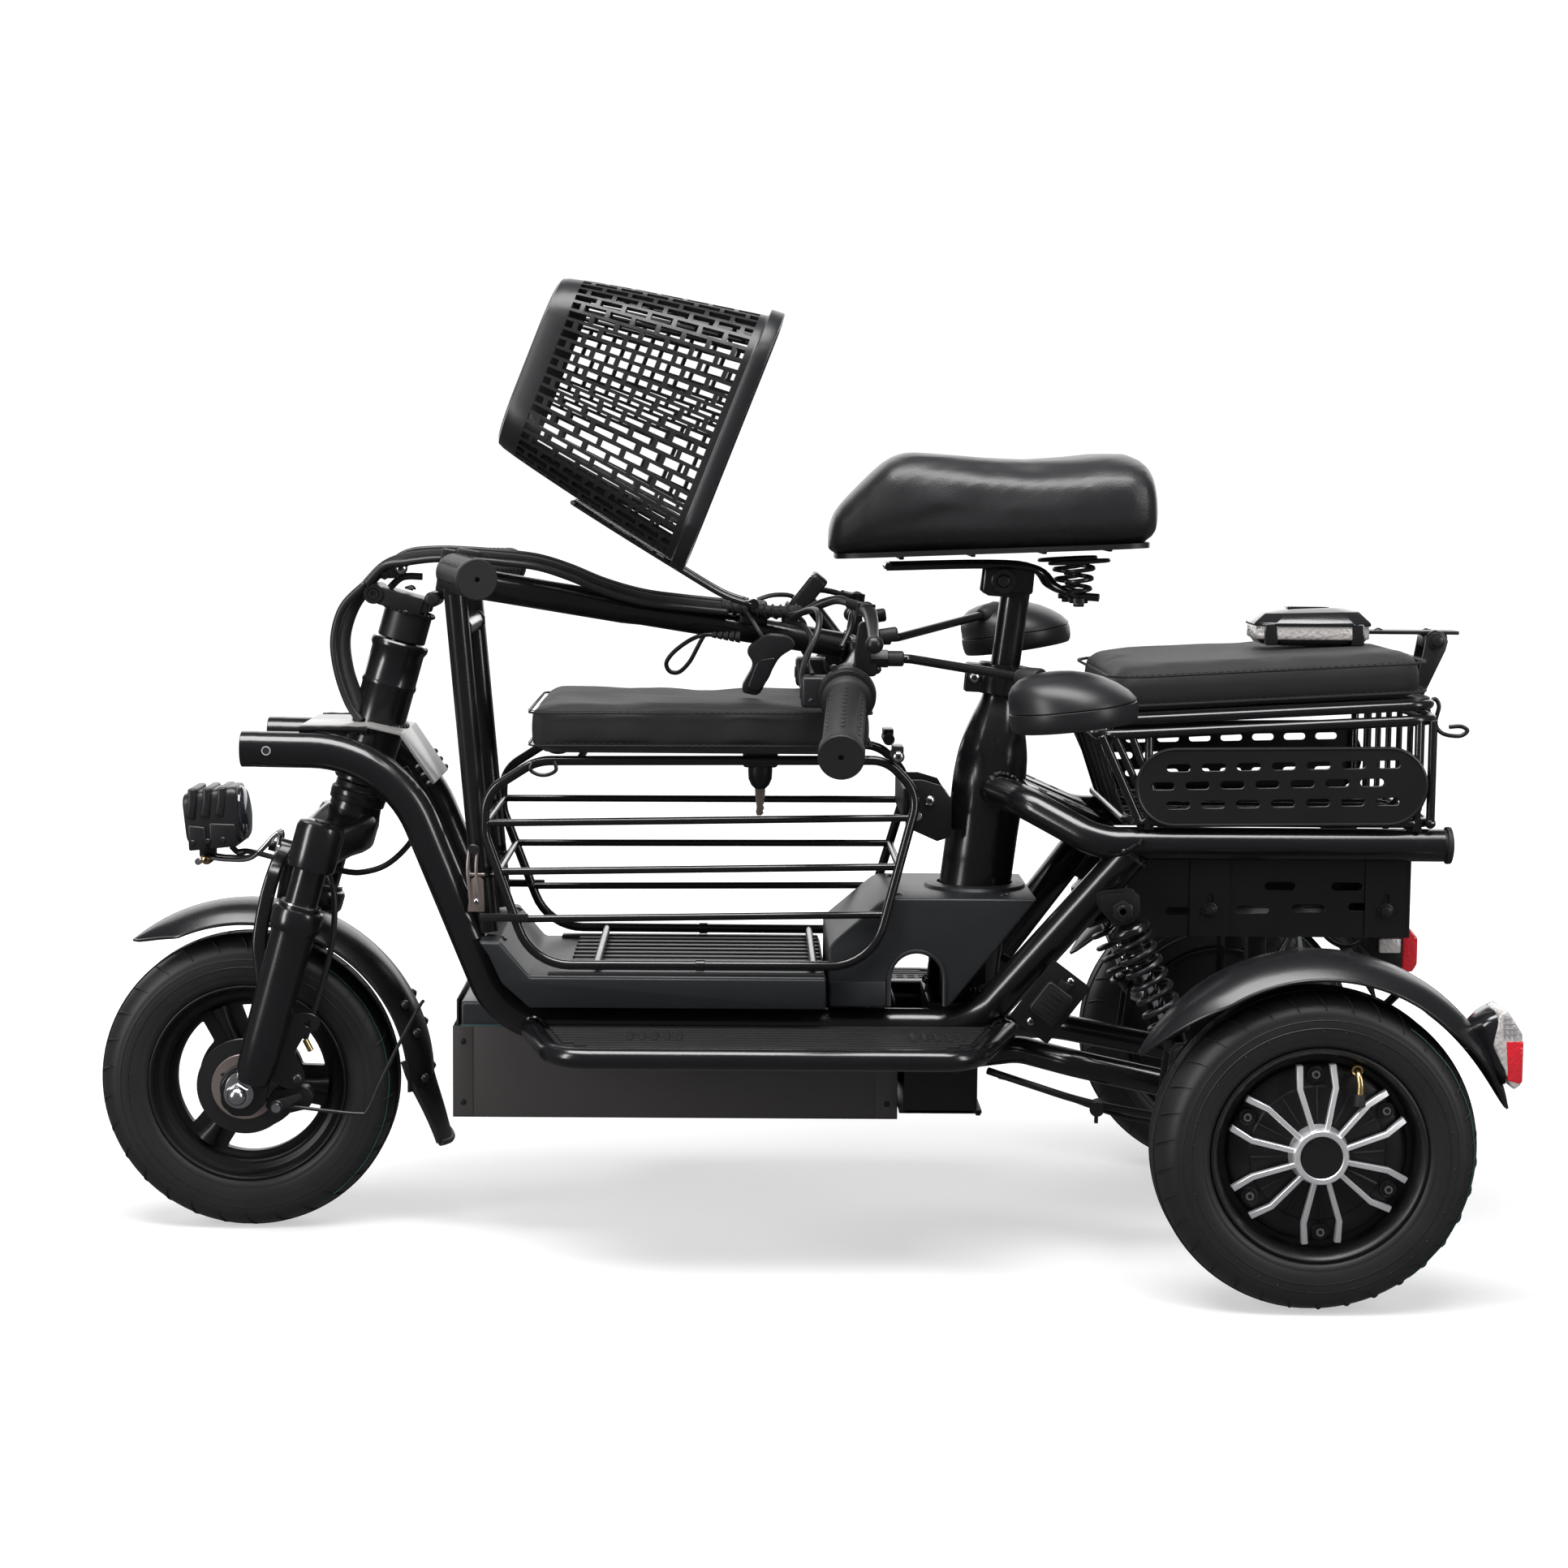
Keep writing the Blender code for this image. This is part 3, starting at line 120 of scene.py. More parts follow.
def make_looks():
    finish("paint", (0.004, 0.004, 0.0046), 0.22, level=0.5, coat=0.25, grain=("noise", 0.0022, 0.05),
           mottle=0.06)
    finish("satin", (0.006, 0.006, 0.0064), 0.36, level=0.35, grain=("noise", 0.0012, 0.1), mottle=0.05)
    finish("sheet", (0.033, 0.0295, 0.028), 0.46, level=0.4, grain=("noise", 0.001, 0.12), mottle=0.12)
    finish("plastic", (0.008, 0.0082, 0.009), 0.36, level=0.4, grain=("cells", 0.0007, 0.1), mottle=0.08)
    finish("deck", (0.0085, 0.0092, 0.0108), 0.42, level=0.42, grain=("cells", 0.0006, 0.12), mottle=0.1)
    finish("gloss", (0.008, 0.008, 0.009), 0.14, level=0.5, coat=0.3, grain=("noise", 0.004, 0.02))
    finish("rubber", (0.0095, 0.0095, 0.01), 0.55, level=0.3, grain=("noise", 0.0008, 0.25), mottle=0.03)
    finish("tyre", (0.0095, 0.0095, 0.0102), 0.46, level=0.32, grain=("noise", 0.001, 0.2), mottle=0.04,
           tone=1.6)
    finish("vinyl", (0.011, 0.011, 0.012), 0.36, level=0.4, grain=("cells", 0.0011, 0.16), mottle=0.05)
    finish("cloth", (0.0085, 0.0085, 0.0092), 0.62, level=0.25, grain=("weave", 0.0009, 0.22), mottle=0.05,
           sheen=0.06)
    finish("braid", (0.013, 0.013, 0.014), 0.52, level=0.4, grain=("weave", 0.0016, 0.8))
    finish("wire", (0.01, 0.01, 0.0105), 0.38, level=0.4, grain=("noise", 0.002, 0.1))
    finish("steel", (0.62, 0.62, 0.64), 0.22, metal=1.0, grain=("noise", 0.0015, 0.06), tone=1.1)
    finish("chrome", (0.8, 0.8, 0.82), 0.08, metal=1.0, grain=("noise", 0.003, 0.03), tone=1.05)
    finish("cut", (0.86, 0.86, 0.88), 0.38, metal=0.85, grain=("noise", 0.0007, 0.1), tone=1.15)
    finish("brass", (0.72, 0.5, 0.22), 0.25, metal=1.0, grain=("noise", 0.002, 0.06), tone=1.1)
    finish("disc", (0.25, 0.21, 0.19), 0.42, metal=0.8, grain=("noise", 0.0012, 0.12), mottle=0.01)
    finish("black_steel", (0.03, 0.03, 0.032), 0.3, metal=0.7, grain=("noise", 0.0015, 0.08))
    finish("red", (0.42, 0.012, 0.02), 0.14, coat=0.5, grain=("cells", 0.003, 0.35), tone=1.3)
    finish("clear", (0.34, 0.325, 0.315), 0.12, coat=0.5, level=0.6, grain=("cells", 0.0034, 0.45),
           tone=1.2)
    finish("wrap", (0.012, 0.014, 0.017), 0.34, grain=("noise", 0.004, 0.1))
    finish("teal", (0.02, 0.075, 0.085), 0.4, grain=("noise", 0.002, 0.1))
    finish("guard", (0.006, 0.006, 0.0068), 0.28, level=0.48, grain=("noise", 0.003, 0.04), mottle=0.04)
    finish("glass", (0.012, 0.014, 0.018), 0.06, level=0.6, coat=0.5, grain=("noise", 0.01, 0.01))
    # Painted reflection: a light grey base colour for black-painted plates, in place of the white
    # surroundings they reflect.
    finish("plate", (0.17, 0.165, 0.16), 0.32, level=0.5, coat=0.2, grain=("noise", 0.003, 0.03))
    finish("mirror", (0.85, 0.86, 0.88), 0.03, metal=1.0, grain=("noise", 0.02, 0.01), tone=1.02)
    finish("label", (0.2, 0.2, 0.21), 0.5, grain=("noise", 0.001, 0.1))
    finish("green", (0.01, 0.055, 0.045), 0.5, grain=("noise", 0.001, 0.1))


# --- Shapes as bmeshes ------------------------------------------------------------------------
def soften(points, reach, steps=3):
    """Rounds each inner corner of an open line with a short curve that starts reach before it."""
    made = [tuple(points[0])]
    for before, corner, after in zip(points, points[1:], points[2:]):
        corner = Vector(corner)
        back, on = Vector(before) - corner, Vector(after) - corner
        near = min(reach, back.length * 0.45, on.length * 0.45)
        if near < 1e-6:
            made.append(tuple(corner))
            continue
        start, end = corner + back.normalized() * near, corner + on.normalized() * near
        for k in range(steps + 1):
            t = k / steps
            made.append(tuple(start * (1 - t) ** 2 + corner * (2 * t * (1 - t)) + end * t * t))
    made.append(tuple(points[-1]))
    return made


def round_path(points, bends, steps=10):
    """The points with each inner corner turned into an arc of its bend radius."""
    path = [Vector(points[0])]
    for before, corner, after, bend in zip(points, points[1:], points[2:], bends):
        corner = Vector(corner)
        arrive = (corner - Vector(before)).normalized()
        leave = (Vector(after) - corner).normalized()
        turn = acos(max(-1.0, min(1.0, arrive.dot(leave))))
        start = corner - arrive * bend * tan(turn / 2)
        inward = (leave - arrive * leave.dot(arrive)).normalized()
        centre = start + inward * bend
        for k in range(steps + 1):
            angle = turn * k / steps
            path.append(centre - inward * bend * cos(angle) + arrive * bend * sin(angle))
    path.append(Vector(points[-1]))
    return path


def smooth(points, steps=6):
    """A Catmull-Rom curve through the points."""
    points = [Vector(p) for p in points]
    made = []
    for a, b, c, d in zip(points[:1] + points, points, points[1:], points[2:] + points[-1:]):
        for n in range(steps):
            t = n / steps
            made.append(0.5 * (2 * b + (c - a) * t + (2 * a - 5 * b + 4 * c - d) * t * t
                               + (3 * b - a - 3 * c + d) * t ** 3))
    made.append(points[-1])
    return made


def loft(sections, closed=False):
    """A skin over outlines that have the same number of points, with flat ends unless it is closed."""
    solid = bmesh.new()
    loops = [[solid.verts.new(p) for p in section] for section in sections]
    pairs = list(zip(loops, loops[1:])) + ([(loops[-1], loops[0])] if closed else [])
    for low, high in pairs:
        for k in range(len(low)):
            after = (k + 1) % len(low)
            solid.faces.new((low[k], low[after], high[after], high[k]))
    if not closed:
        solid.faces.new(loops[0][::-1])
        solid.faces.new(loops[-1])
    bmesh.ops.recalc_face_normals(solid, faces=solid.faces)
    return solid


def circle(radius, count):
    """Points round a circle about the origin."""
    return [(radius * cos(2 * pi * n / count), radius * sin(2 * pi * n / count)) for n in range(count)]


def sweep(path, outline, closed=False, scale=None, up=None):
    """Carries a flat (a, b) outline along a path; up fixes its second direction."""
    path = [Vector(p) for p in path]
    last = len(path) - 1
    tangents = []
    for k in range(len(path)):
        before = path[k - 1] if (k > 0 or closed) else path[k]
        after = path[(k + 1) % len(path)] if (k < last or closed) else path[k]
        tangents.append((after - before).normalized())
    side = tangents[0].orthogonal().normalized()
    sections = []
    for k, (centre, along) in enumerate(zip(path, tangents)):
        if up is not None:
            side = along.cross(Vector(up)).normalized()
        elif k:
            side = tangents[k - 1].rotation_difference(along) @ side
        other = side.cross(along) if up is not None else along.cross(side)
        size = scale[k] if scale else 1.0
        sections.append([centre + (side * a + other * b) * size for a, b in outline])
    return loft(sections, closed)


def tube(path, radius, count=20, closed=False, soft=0.0):
    """A round bar along a path; radius is a number or one for each point; soft rounds its two ends."""
    path = [Vector(p) for p in path]
    radii = list(radius) if isinstance(radius, (list, tuple)) else [radius] * len(path)
    if soft and not closed:
        start, end = (path[1] - path[0]).normalized(), (path[-2] - path[-1]).normalized()
        path = [path[0], path[0] + start * soft * 0.3, path[0] + start * soft] + path[1:-1] + [
            path[-1] + end * soft, path[-1] + end * soft * 0.3, path[-1]]
        radii = [radii[0] - soft, radii[0] - soft * 0.3, radii[0]] + radii[1:-1] + [
            radii[-1], radii[-1] - soft * 0.3, radii[-1] - soft]
    return sweep(path, circle(1.0, count), closed, radii)


def rod(start, end, radius, count=24, soft=0.0006):
    """A straight round bar with softened end edges."""
    start, end = Vector(start), Vector(end)
    length = (end - start).length
    soft = min(soft, radius * 0.4, length * 0.4)
    profile = [(0, 0), (radius - soft, 0), (radius, soft), (radius, length - soft), (radius - soft, length),
               (0, length)]
    return lathe(profile, start, end - start, count)


def lathe(profile, base, axis, count=64):
    """A solid of revolution from (radius, height) points."""
    axis = Vector(axis).normalized()
    across = Z if abs(axis.y) > 0.5 else Y
    side = (across - axis * axis.dot(across)).normalized()
    other = axis.cross(side)
    base = Vector(base)
    solid = bmesh.new()
    rows = []
    for radius, height in profile:
        centre = base + axis * height
        if radius <= 1e-7:
            rows.append([solid.verts.new(centre)] * count)
            continue
        row = []
        for n in range(count):
            a = 2 * pi * n / count
            row.append(solid.verts.new(centre + (side * cos(a) + other * sin(a)) * radius))
        rows.append(row)
    pairs = list(zip(rows, rows[1:]))
    if profile[0][0] > 1e-7:
        pairs.append((rows[-1], rows[0]))
    for low, high in pairs:
        for n in range(count):
            m = (n + 1) % count
            corners = []
            for corner in (low[n], low[m], high[m], high[n]):
                if corner not in corners:
                    corners.append(corner)
            if len(corners) > 2:
                solid.faces.new(corners)
    bmesh.ops.recalc_face_normals(solid, faces=solid.faces)
    return solid


def ball(centre, radius, count=20):
    profile = [(radius * sin(pi * k / 10), -radius * cos(pi * k / 10)) for k in range(11)]
    return lathe(profile, centre, Z, count)


def bevelled(solid, width, segments=2, angle=30):
    """The solid with its sharp edges bevelled; angle is what counts as sharp."""
    sharp = [e for e in solid.edges if len(e.link_faces) == 2 and e.calc_face_angle(0) > radians(angle)]
    bmesh.ops.bevel(solid, geom=sharp, offset=width, segments=segments, profile=0.5, affect="EDGES",
                    clamp_overlap=True)
    return solid


def block(low, high, bevel=0.001, segments=2):
    """A box from its low corner to its high corner, with bevelled edges."""
    xs, ys, zs = zip(low, high)
    sections = [[Vector((x, y, z)) for x, y in ((xs[0], ys[0]), (xs[1], ys[0]), (xs[1], ys[1]),
                                                (xs[0], ys[1]))] for z in zs]
    return bevelled(loft(sections), bevel, segments)


def place_on(plane, a, b, c):
    """The point with flat coordinates a and b, and c along the axis that the plane is named after."""
    return Vector((a, c, b)) if plane == "Y" else Vector((a, b, c)) if plane == "Z" else Vector((c, a, b))


def slab(outline, low, high, plane="Y", bevel=0.0008, holes=(), segments=2):
    """A flat outline with holes, carried from low to high: (x, z) along Y, (x, y) along Z, (y, z) along X."""
    if not holes:
        return bevelled(loft([[place_on(plane, a, b, c) for a, b in outline] for c in (low, high)]), bevel,
                        segments, 20)
    points, rings = [], []
    for ring in (outline, *holes):
        rings.append(range(len(points), len(points) + len(ring)))
        points += [Vector(point) for point in ring]
    points, _, faces = delaunay_2d_cdt(points, [], rings, 2, 1e-7)[:3]
    solid = bmesh.new()
    bottom, top = ([solid.verts.new(place_on(plane, point.x, point.y, c)) for point in points]
                   for c in (low, high))
    walls = {}
    for face in faces:
        solid.faces.new([top[k] for k in face])
        solid.faces.new([bottom[k] for k in reversed(face)])
        for m, n in zip(face, [*face[1:], face[0]]):
            if (n, m) in walls:
                del walls[n, m]
            else:
                walls[m, n] = True
    for m, n in walls:
        solid.faces.new((bottom[m], bottom[n], top[n], top[m]))
    bmesh.ops.delete(solid, geom=[vert for vert in solid.verts if not vert.link_faces], context="VERTS")
    bmesh.ops.recalc_face_normals(solid, faces=solid.faces)
    return bevelled(solid, min(bevel, 0.0004), 1, 50)


def arc(centre, radius, start, end, steps):
    """Points along an arc, with its angles in degrees."""
    angles = [radians(start + (end - start) * k / steps) for k in range(steps + 1)]
    return [(centre[0] + radius * cos(a), centre[1] + radius * sin(a)) for a in angles]


def rounded(half_a, half_b, corner, steps=5, centre=(0, 0)):
    """A rectangle with round corners."""
    points = []
    for a, b, start in ((1, 1, 0), (-1, 1, 90), (-1, -1, 180), (1, -1, 270)):
        middle = (centre[0] + a * (half_a - corner), centre[1] + b * (half_b - corner))
        points += arc(middle, corner, start, start + 90, steps)
    return points


def oblong(centre, half, radius, angle=0, steps=5):
    """A slot with round ends; half is from its centre to an end."""
    points = []
    for sign, start in ((1, -90), (-1, 90)):
        points += arc((sign * (half - radius), 0), radius, start, start + 180, steps)
    turn = radians(angle)
    return [(centre[0] + a * cos(turn) - b * sin(turn), centre[1] + a * sin(turn) + b * cos(turn)) for a,
            b in points]


def placed(base, axis):
    """A matrix whose Z is the axis and whose origin is the base."""
    axis = Vector(axis).normalized()
    side = Z if abs(axis.z) < 0.9 else X
    along = (side - axis * axis.dot(side)).normalized()
    turn = Matrix((along, axis.cross(along), axis)).transposed().to_4x4()
    return Matrix.Translation(Vector(base)) @ turn


def about(point, angle):
    """A turn about a line through the point, parallel to Y."""
    return Matrix.Translation(point) @ Matrix.Rotation(angle, 4, "Y") @ Matrix.Translation(-point)


class Piece:
    """One shown object that gathers solids, each with a look, and rides on a body."""

    def __init__(self, name, body, look="paint"):
        self.name, self.body, self.look = name, body, look
        self.solid, self.looks = bmesh.new(), []

    def add(self, part, look=None, matrix=None):
        """Takes a solid in, with its look, and frees it."""
        look = look or self.look
        if look not in self.looks:
            self.looks.append(look)
        if matrix is not None:
            part.transform(matrix)
            if matrix.determinant() < 0:
                bmesh.ops.reverse_faces(part, faces=part.faces)
        for face in part.faces:
            face.material_index = self.looks.index(look)
            face.smooth = True
        mesh = bpy.data.meshes.new("part")
        part.to_mesh(mesh)
        self.solid.from_mesh(mesh)
        bpy.data.meshes.remove(mesh)
        part.free()

    def bolt(self, at, axis, radius=0.004, height=0.003, kind="dome", look="steel", sunk=0.001):
        """A fastener head that stands on a surface, facing along the axis."""
        base = Vector(at) - Vector(axis).normalized() * sunk
        top = height + sunk
        if kind == "dome":
            curve = [(radius * cos(a), top * (0.25 + 0.75 * sin(a))) for a in (0, 0.4, 0.8, 1.2)]
            self.add(lathe([(0, 0), (radius, 0)] + curve + [(0, top)], base, axis, 24), look)
            socket = [(0, top - 0.0002), (radius * 0.42, top - 0.0002), (radius * 0.42, top * 1.03),
                      (0, top * 1.03)]
            self.add(lathe(socket, base, axis, 6), "black_steel")
        elif kind == "hex":
            self.add(bevelled(lathe([(0, 0), (radius, 0), (radius, top), (0, top)], base, axis, 6),
                              radius * 0.1), look)
        else:
            self.add(lathe([(0, 0), (radius, 0), (radius, top * 0.9), (radius * 0.93, top),
                            (radius * 0.55, top), (radius * 0.5, top * 0.5), (0, top * 0.5)], base, axis,
                           24), look)

    def weld(self, centre, axis, radius, thick, start=0, end=360):
        """A rippled weld bead round a joint."""
        matrix = placed(centre, axis)
        count = max(12, int(radius * radians(end - start) / 0.0016))
        whole = end - start >= 360
        path = []
        for k in range(count + (0 if whole else 1)):
            a = radians(start + (end - start) * k / count)
            path.append(matrix @ Vector((radius * cos(a), radius * sin(a), 0)))
        sizes = [thick * (1 + 0.22 * sin(2.1 * k)) for k in range(len(path))]
        self.add(tube(path, sizes, 8, closed=whole))

    def done(self, replaces=(), angle=32):
        mesh = bpy.data.meshes.new(self.name)
        self.solid.to_mesh(mesh)
        self.solid.free()
        for look in self.looks:
            mesh.materials.append(LOOKS[look])
        mesh.set_sharp_from_angle(angle=radians(angle))
        made = bpy.data.objects.new(self.name, mesh)
        bpy.context.scene.collection.objects.link(made)
        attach(made, self.body)
        if replaces:
            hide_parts(*replaces)
        return made


# --- Places, shared with the CAD --------------------------------------------------------------
WHEEL_RADIUS = 0.127
GUARD_RADIUS = 0.1565
FRONT_AXLE, REAR_AXLE = Vector((-0.451, 0, WHEEL_RADIUS)), Vector((0.419, 0, WHEEL_RADIUS))
TRACK = 0.248             # from the middle to a rear wheel
MAIN_TUBE_HALF = 0.073    # from the middle to a main tube
LEG_HALF = 0.068          # from the middle to a fork leg
SHOCK_HALF = 0.14
COLUMN_OFFSET = 0.0185    # column axis above the fold pivot
LEAN = radians(15.5)
HEAD_FOOT = Vector((-0.355, 0, 0.384))
STEER_UP, STEER_FORWARD = Vector((sin(LEAN), 0, cos(LEAN))), Vector((-cos(LEAN), 0, sin(LEAN)))
SEAT_FOOT, SEAT_UP = Vector((0.17, 0, 0.297)), Vector((sin(radians(7)), 0, cos(radians(7))))
SLOPE = radians(-9.1)
FOLD_PIVOT = Vector((-0.293, 0, 0.5405))
COLUMN_ALONG, COLUMN_ABOVE = Vector((cos(SLOPE), 0, sin(SLOPE))), Vector((-sin(SLOPE), 0, cos(SLOPE)))
GRIP_ROOT, GRIP_END = Vector((0.0565, 0.095, 0.482)), Vector((0.0445, 0.29, 0.436))
LID_HINGE, LID_TILT = Vector((0.256, 0, 0.4475)), radians(3.3)
SHOCK_TOP, SHOCK_FOOT = Vector((0.278, 0.14, 0.299)), Vector((0.328, 0.14, 0.182))
SWING_PIVOT = Vector((0.151, 0, 0.156))


def on_head(height, forward=0.0, across=0.0):
    """A point by its height along the steering axis above the head tube's foot."""
    return HEAD_FOOT + STEER_UP * height + STEER_FORWARD * forward + Y * across


def on_seat(height):
    """The point of the seat tube's axis at a height above the floor."""
    return SEAT_FOOT + SEAT_UP * ((height - SEAT_FOOT.z) / SEAT_UP.z)


def on_column(along):
    """The point of the folded column's axis at a distance from the fold pivot."""
    return FOLD_PIVOT + COLUMN_ALONG * along + COLUMN_ABOVE * COLUMN_OFFSET


def frame_of(origin, *axes):
    """A matrix with its origin at a point and its X, Y and Z along the three axes."""
    return Matrix.Translation(origin) @ Matrix(axes).transposed().to_4x4()


STEER_FRAME = frame_of(HEAD_FOOT, STEER_FORWARD, Y, STEER_UP)
COLUMN_FRAME = frame_of(FOLD_PIVOT, COLUMN_ALONG, Y, COLUMN_ABOVE)


# --- Stage ------------------------------------------------------------------------------------
def make_camera():
    pitch, yaw, roll = radians(5.961), radians(0.847), radians(0.501)
    ahead = Vector((sin(yaw) * cos(pitch), cos(yaw) * cos(pitch), -sin(pitch)))
    right = Vector((cos(yaw), -sin(yaw), 0))
    up = right.cross(ahead)
    right, up = right * cos(roll) + up * sin(roll), up * cos(roll) - right * sin(roll)
    data = bpy.data.cameras.new("camera")
    data.sensor_width, data.lens = 36.0, 69.2
    made = bpy.data.objects.new("camera", data)
    made.matrix_world = frame_of((-0.0325, -2.567, 0.6523), right, up, -ahead)
    bpy.context.scene.collection.objects.link(made)
    bpy.context.scene.camera = made


def area_light(name, at, towards, size, power):
    data = bpy.data.lights.new(name, "AREA")
    data.shape, data.size, data.size_y, data.energy = "RECTANGLE", size[0], size[1], power
    made = bpy.data.objects.new(name, data)
    made.location = at
    made.rotation_euler = (Vector(towards) - Vector(at)).to_track_quat("-Z", "Y").to_euler()
    bpy.context.scene.collection.objects.link(made)


def make_floor():
    look = bpy.data.materials.new("floor")
    look.use_nodes = True
    shader = look.node_tree.nodes["Principled BSDF"]
    shader.inputs["Base Color"].default_value = (0.42, 0.42, 0.43, 1)
    shader.inputs["Roughness"].default_value = 0.9
    shader.inputs["Emission Color"].default_value = (1, 1, 1, 1)
    # Painted shade: the floor's glow grows with distance from the middle, from 0.5 near the trike to 1.1
    # beyond 1.9 m. This paints the floor darker round the trike and brighter far off. Rays other than camera
    # rays get 0.3 of that glow.
    place = look.node_tree.nodes.new("ShaderNodeTexCoord")
    far = look.node_tree.nodes.new("ShaderNodeVectorMath")
    far.operation = "LENGTH"
    painted_floor_shade = look.node_tree.nodes.new("ShaderNodeMapRange")
    painted_floor_shade.inputs["From Min"].default_value, painted_floor_shade.inputs["From Max"].default_value = 0.7, 1.9
    painted_floor_shade.inputs["To Min"].default_value, painted_floor_shade.inputs["To Max"].default_value = 0.5, 1.1
    look.node_tree.links.new(place.outputs["Object"], far.inputs[0])
    look.node_tree.links.new(far.outputs["Value"], painted_floor_shade.inputs["Value"])
    path = look.node_tree.nodes.new("ShaderNodeLightPath")
    seen = look.node_tree.nodes.new("ShaderNodeMapRange")
    seen.inputs["To Min"].default_value, seen.inputs["To Max"].default_value = 0.3, 1.0
    share = look.node_tree.nodes.new("ShaderNodeMath")
    share.operation = "MULTIPLY"
    look.node_tree.links.new(path.outputs["Is Camera Ray"], seen.inputs["Value"])
    look.node_tree.links.new(painted_floor_shade.outputs["Result"], share.inputs[0])
    look.node_tree.links.new(seen.outputs["Result"], share.inputs[1])
    look.node_tree.links.new(share.outputs["Value"], shader.inputs["Emission Strength"])
    grain = look.node_tree.nodes.new("ShaderNodeTexNoise")
    grain.inputs["Scale"].default_value = 60
    bump = look.node_tree.nodes.new("ShaderNodeBump")
    bump.inputs["Strength"].default_value = 0.02
    look.node_tree.links.new(place.outputs["Object"], grain.inputs["Vector"])
    look.node_tree.links.new(grain.outputs["Fac"], bump.inputs["Height"])
    look.node_tree.links.new(bump.outputs["Normal"], shader.inputs["Normal"])
    mesh = bpy.data.meshes.new("floor")
    reach = 30
    mesh.from_pydata([(-reach, -reach, 0), (reach, -reach, 0), (reach, reach, 0), (-reach, reach, 0)], [],
                     [(0, 1, 2, 3)])
    mesh.materials.append(look)
    made = bpy.data.objects.new("floor", mesh)
    made.visible_glossy = False
    bpy.context.scene.collection.objects.link(made)


def make_stage():
    make_camera()
    make_floor()
    area_light("key", (-0.2, -0.7, 2.4), (0, 0, 0.3), (2.6, 1.1), 115)
    area_light("left", (-2.4, -1.7, 1.2), (0, 0, 0.3), (0.6, 2.0), 46)
    area_light("right", (2.5, -1.9, 1.4), (0.1, 0, 0.3), (0.6, 2.0), 36)
    area_light("back", (0.0, 2.4, 1.5), (0, 0, 0.4), (5.0, 2.2), 60)
    world = bpy.data.worlds.new("studio")
    world.use_nodes = True
    nodes, links = world.node_tree.nodes, world.node_tree.links
    back = nodes["Background"]
    back.inputs["Color"].default_value = (0.11, 0.11, 0.115, 1)
    seen = nodes.new("ShaderNodeBackground")
    seen.inputs["Color"].default_value = (1, 1, 1, 1)
    seen.inputs["Strength"].default_value = 1.05
    ray, mix = nodes.new("ShaderNodeLightPath"), nodes.new("ShaderNodeMixShader")
    links.new(ray.outputs["Is Camera Ray"], mix.inputs["Fac"])
    links.new(back.outputs["Background"], mix.inputs[1])
    links.new(seen.outputs["Background"], mix.inputs[2])
    links.new(mix.outputs["Shader"], nodes["World Output"].inputs["Surface"])
    bpy.context.scene.world = world
    bpy.context.scene.view_settings.view_transform = "Standard"


# --- Frame ------------------------------------------------------------------------------------
def cup(base, axis, radius, depth, count):
    """The open end of a tube: axis points out of the opening, base is the opening's centre."""
    wall = 0.0022
    profile = [(0, 0), (radius, 0), (radius, depth - 0.0005), (radius - 0.0005, depth),
               (radius - wall + 0.0004, depth), (radius - wall, depth - 0.0006), (radius - wall, 0.002),
               (0, 0.002)]
    return lathe(profile, Vector(base) - axis * depth, axis, count)


def make_main_tubes():
    for name, side in SIDES:
        y = side * MAIN_TUBE_HALF
        corners = [(-0.4325, y, 0.41785), (-0.3215, y, 0.4165), (-0.2278, y, 0.1885), (0.165, y, 0.1885),
                   (0.292, side * 0.119, 0.3455)]
        path = round_path(corners, (0.1, 0.06, 0.06), 14)
        piece = Piece(f"main_tube_{name}_shown", "frame")
        piece.add(tube(path, 0.015, 32))
        piece.add(cup((-0.4455, y, 0.418), -X, 0.015, 0.0135, 32))
        piece.add(lathe([(0.003, 0), (0.0038, 0), (0.0038, 0.0006), (0.003, 0.0006)],
                        (-0.423, y + side * 0.015, 0.4179), Y * side, 20), "cut")
        piece.add(lathe([(0, 0), (0.003, 0), (0.003, 0.0004), (0, 0.0004)],
                        (-0.423, y + side * 0.0149, 0.4179), Y * side, 20), "rubber")
        end = path[-1]
        piece.weld(end - (end - path[-2]).normalized() * 0.004, end - path[-2], 0.0158, 0.0022)
        piece.weld((-0.205, y, 0.1885), X, 0.0152, 0.0016, 200, 330)
        piece.done([f"main_tube_{name}"])


def make_rear_rails():
    for name, side in SIDES:
        corners = [(0.181, side * 0.018, 0.384), (0.205, side * 0.085, 0.379), (0.262, side * 0.12, 0.35),
                   (0.5445, side * 0.12, 0.35)]
        piece = Piece(f"rear_rail_{name}_shown", "frame")
        piece.add(tube(round_path(corners, (0.035, 0.05), 12), 0.0135, 30))
        piece.add(lathe([(0, 0), (0.0128, 0), (0.0128, 0.003), (0.0152, 0.0035), (0.0155, 0.005),
                         (0.0152, 0.0072), (0.012, 0.0082), (0, 0.0082)], (0.5435, side * 0.12, 0.35), X,
                        30), "rubber")
        piece.weld((0.1895, side * 0.0335, 0.3827), (0.2, side, 0), 0.015, 0.0022)
        piece.weld((0.29, side * 0.12, 0.35), (0.55, 0, -0.8), 0.0165, 0.002, 60, 300)
        for x in (0.3, 0.52):
            piece.add(bevelled(loft([[Vector((x + a, side * 0.118 + b * 0.008, z)) for a,
                                      b in ((-0.006, -1), (0.006, -1), (0.006, 1), (-0.006, 1))]
                                     for z in (0.36, 0.3655)]), 0.001), "satin")
        piece.done([f"rear_rail_{name}"])


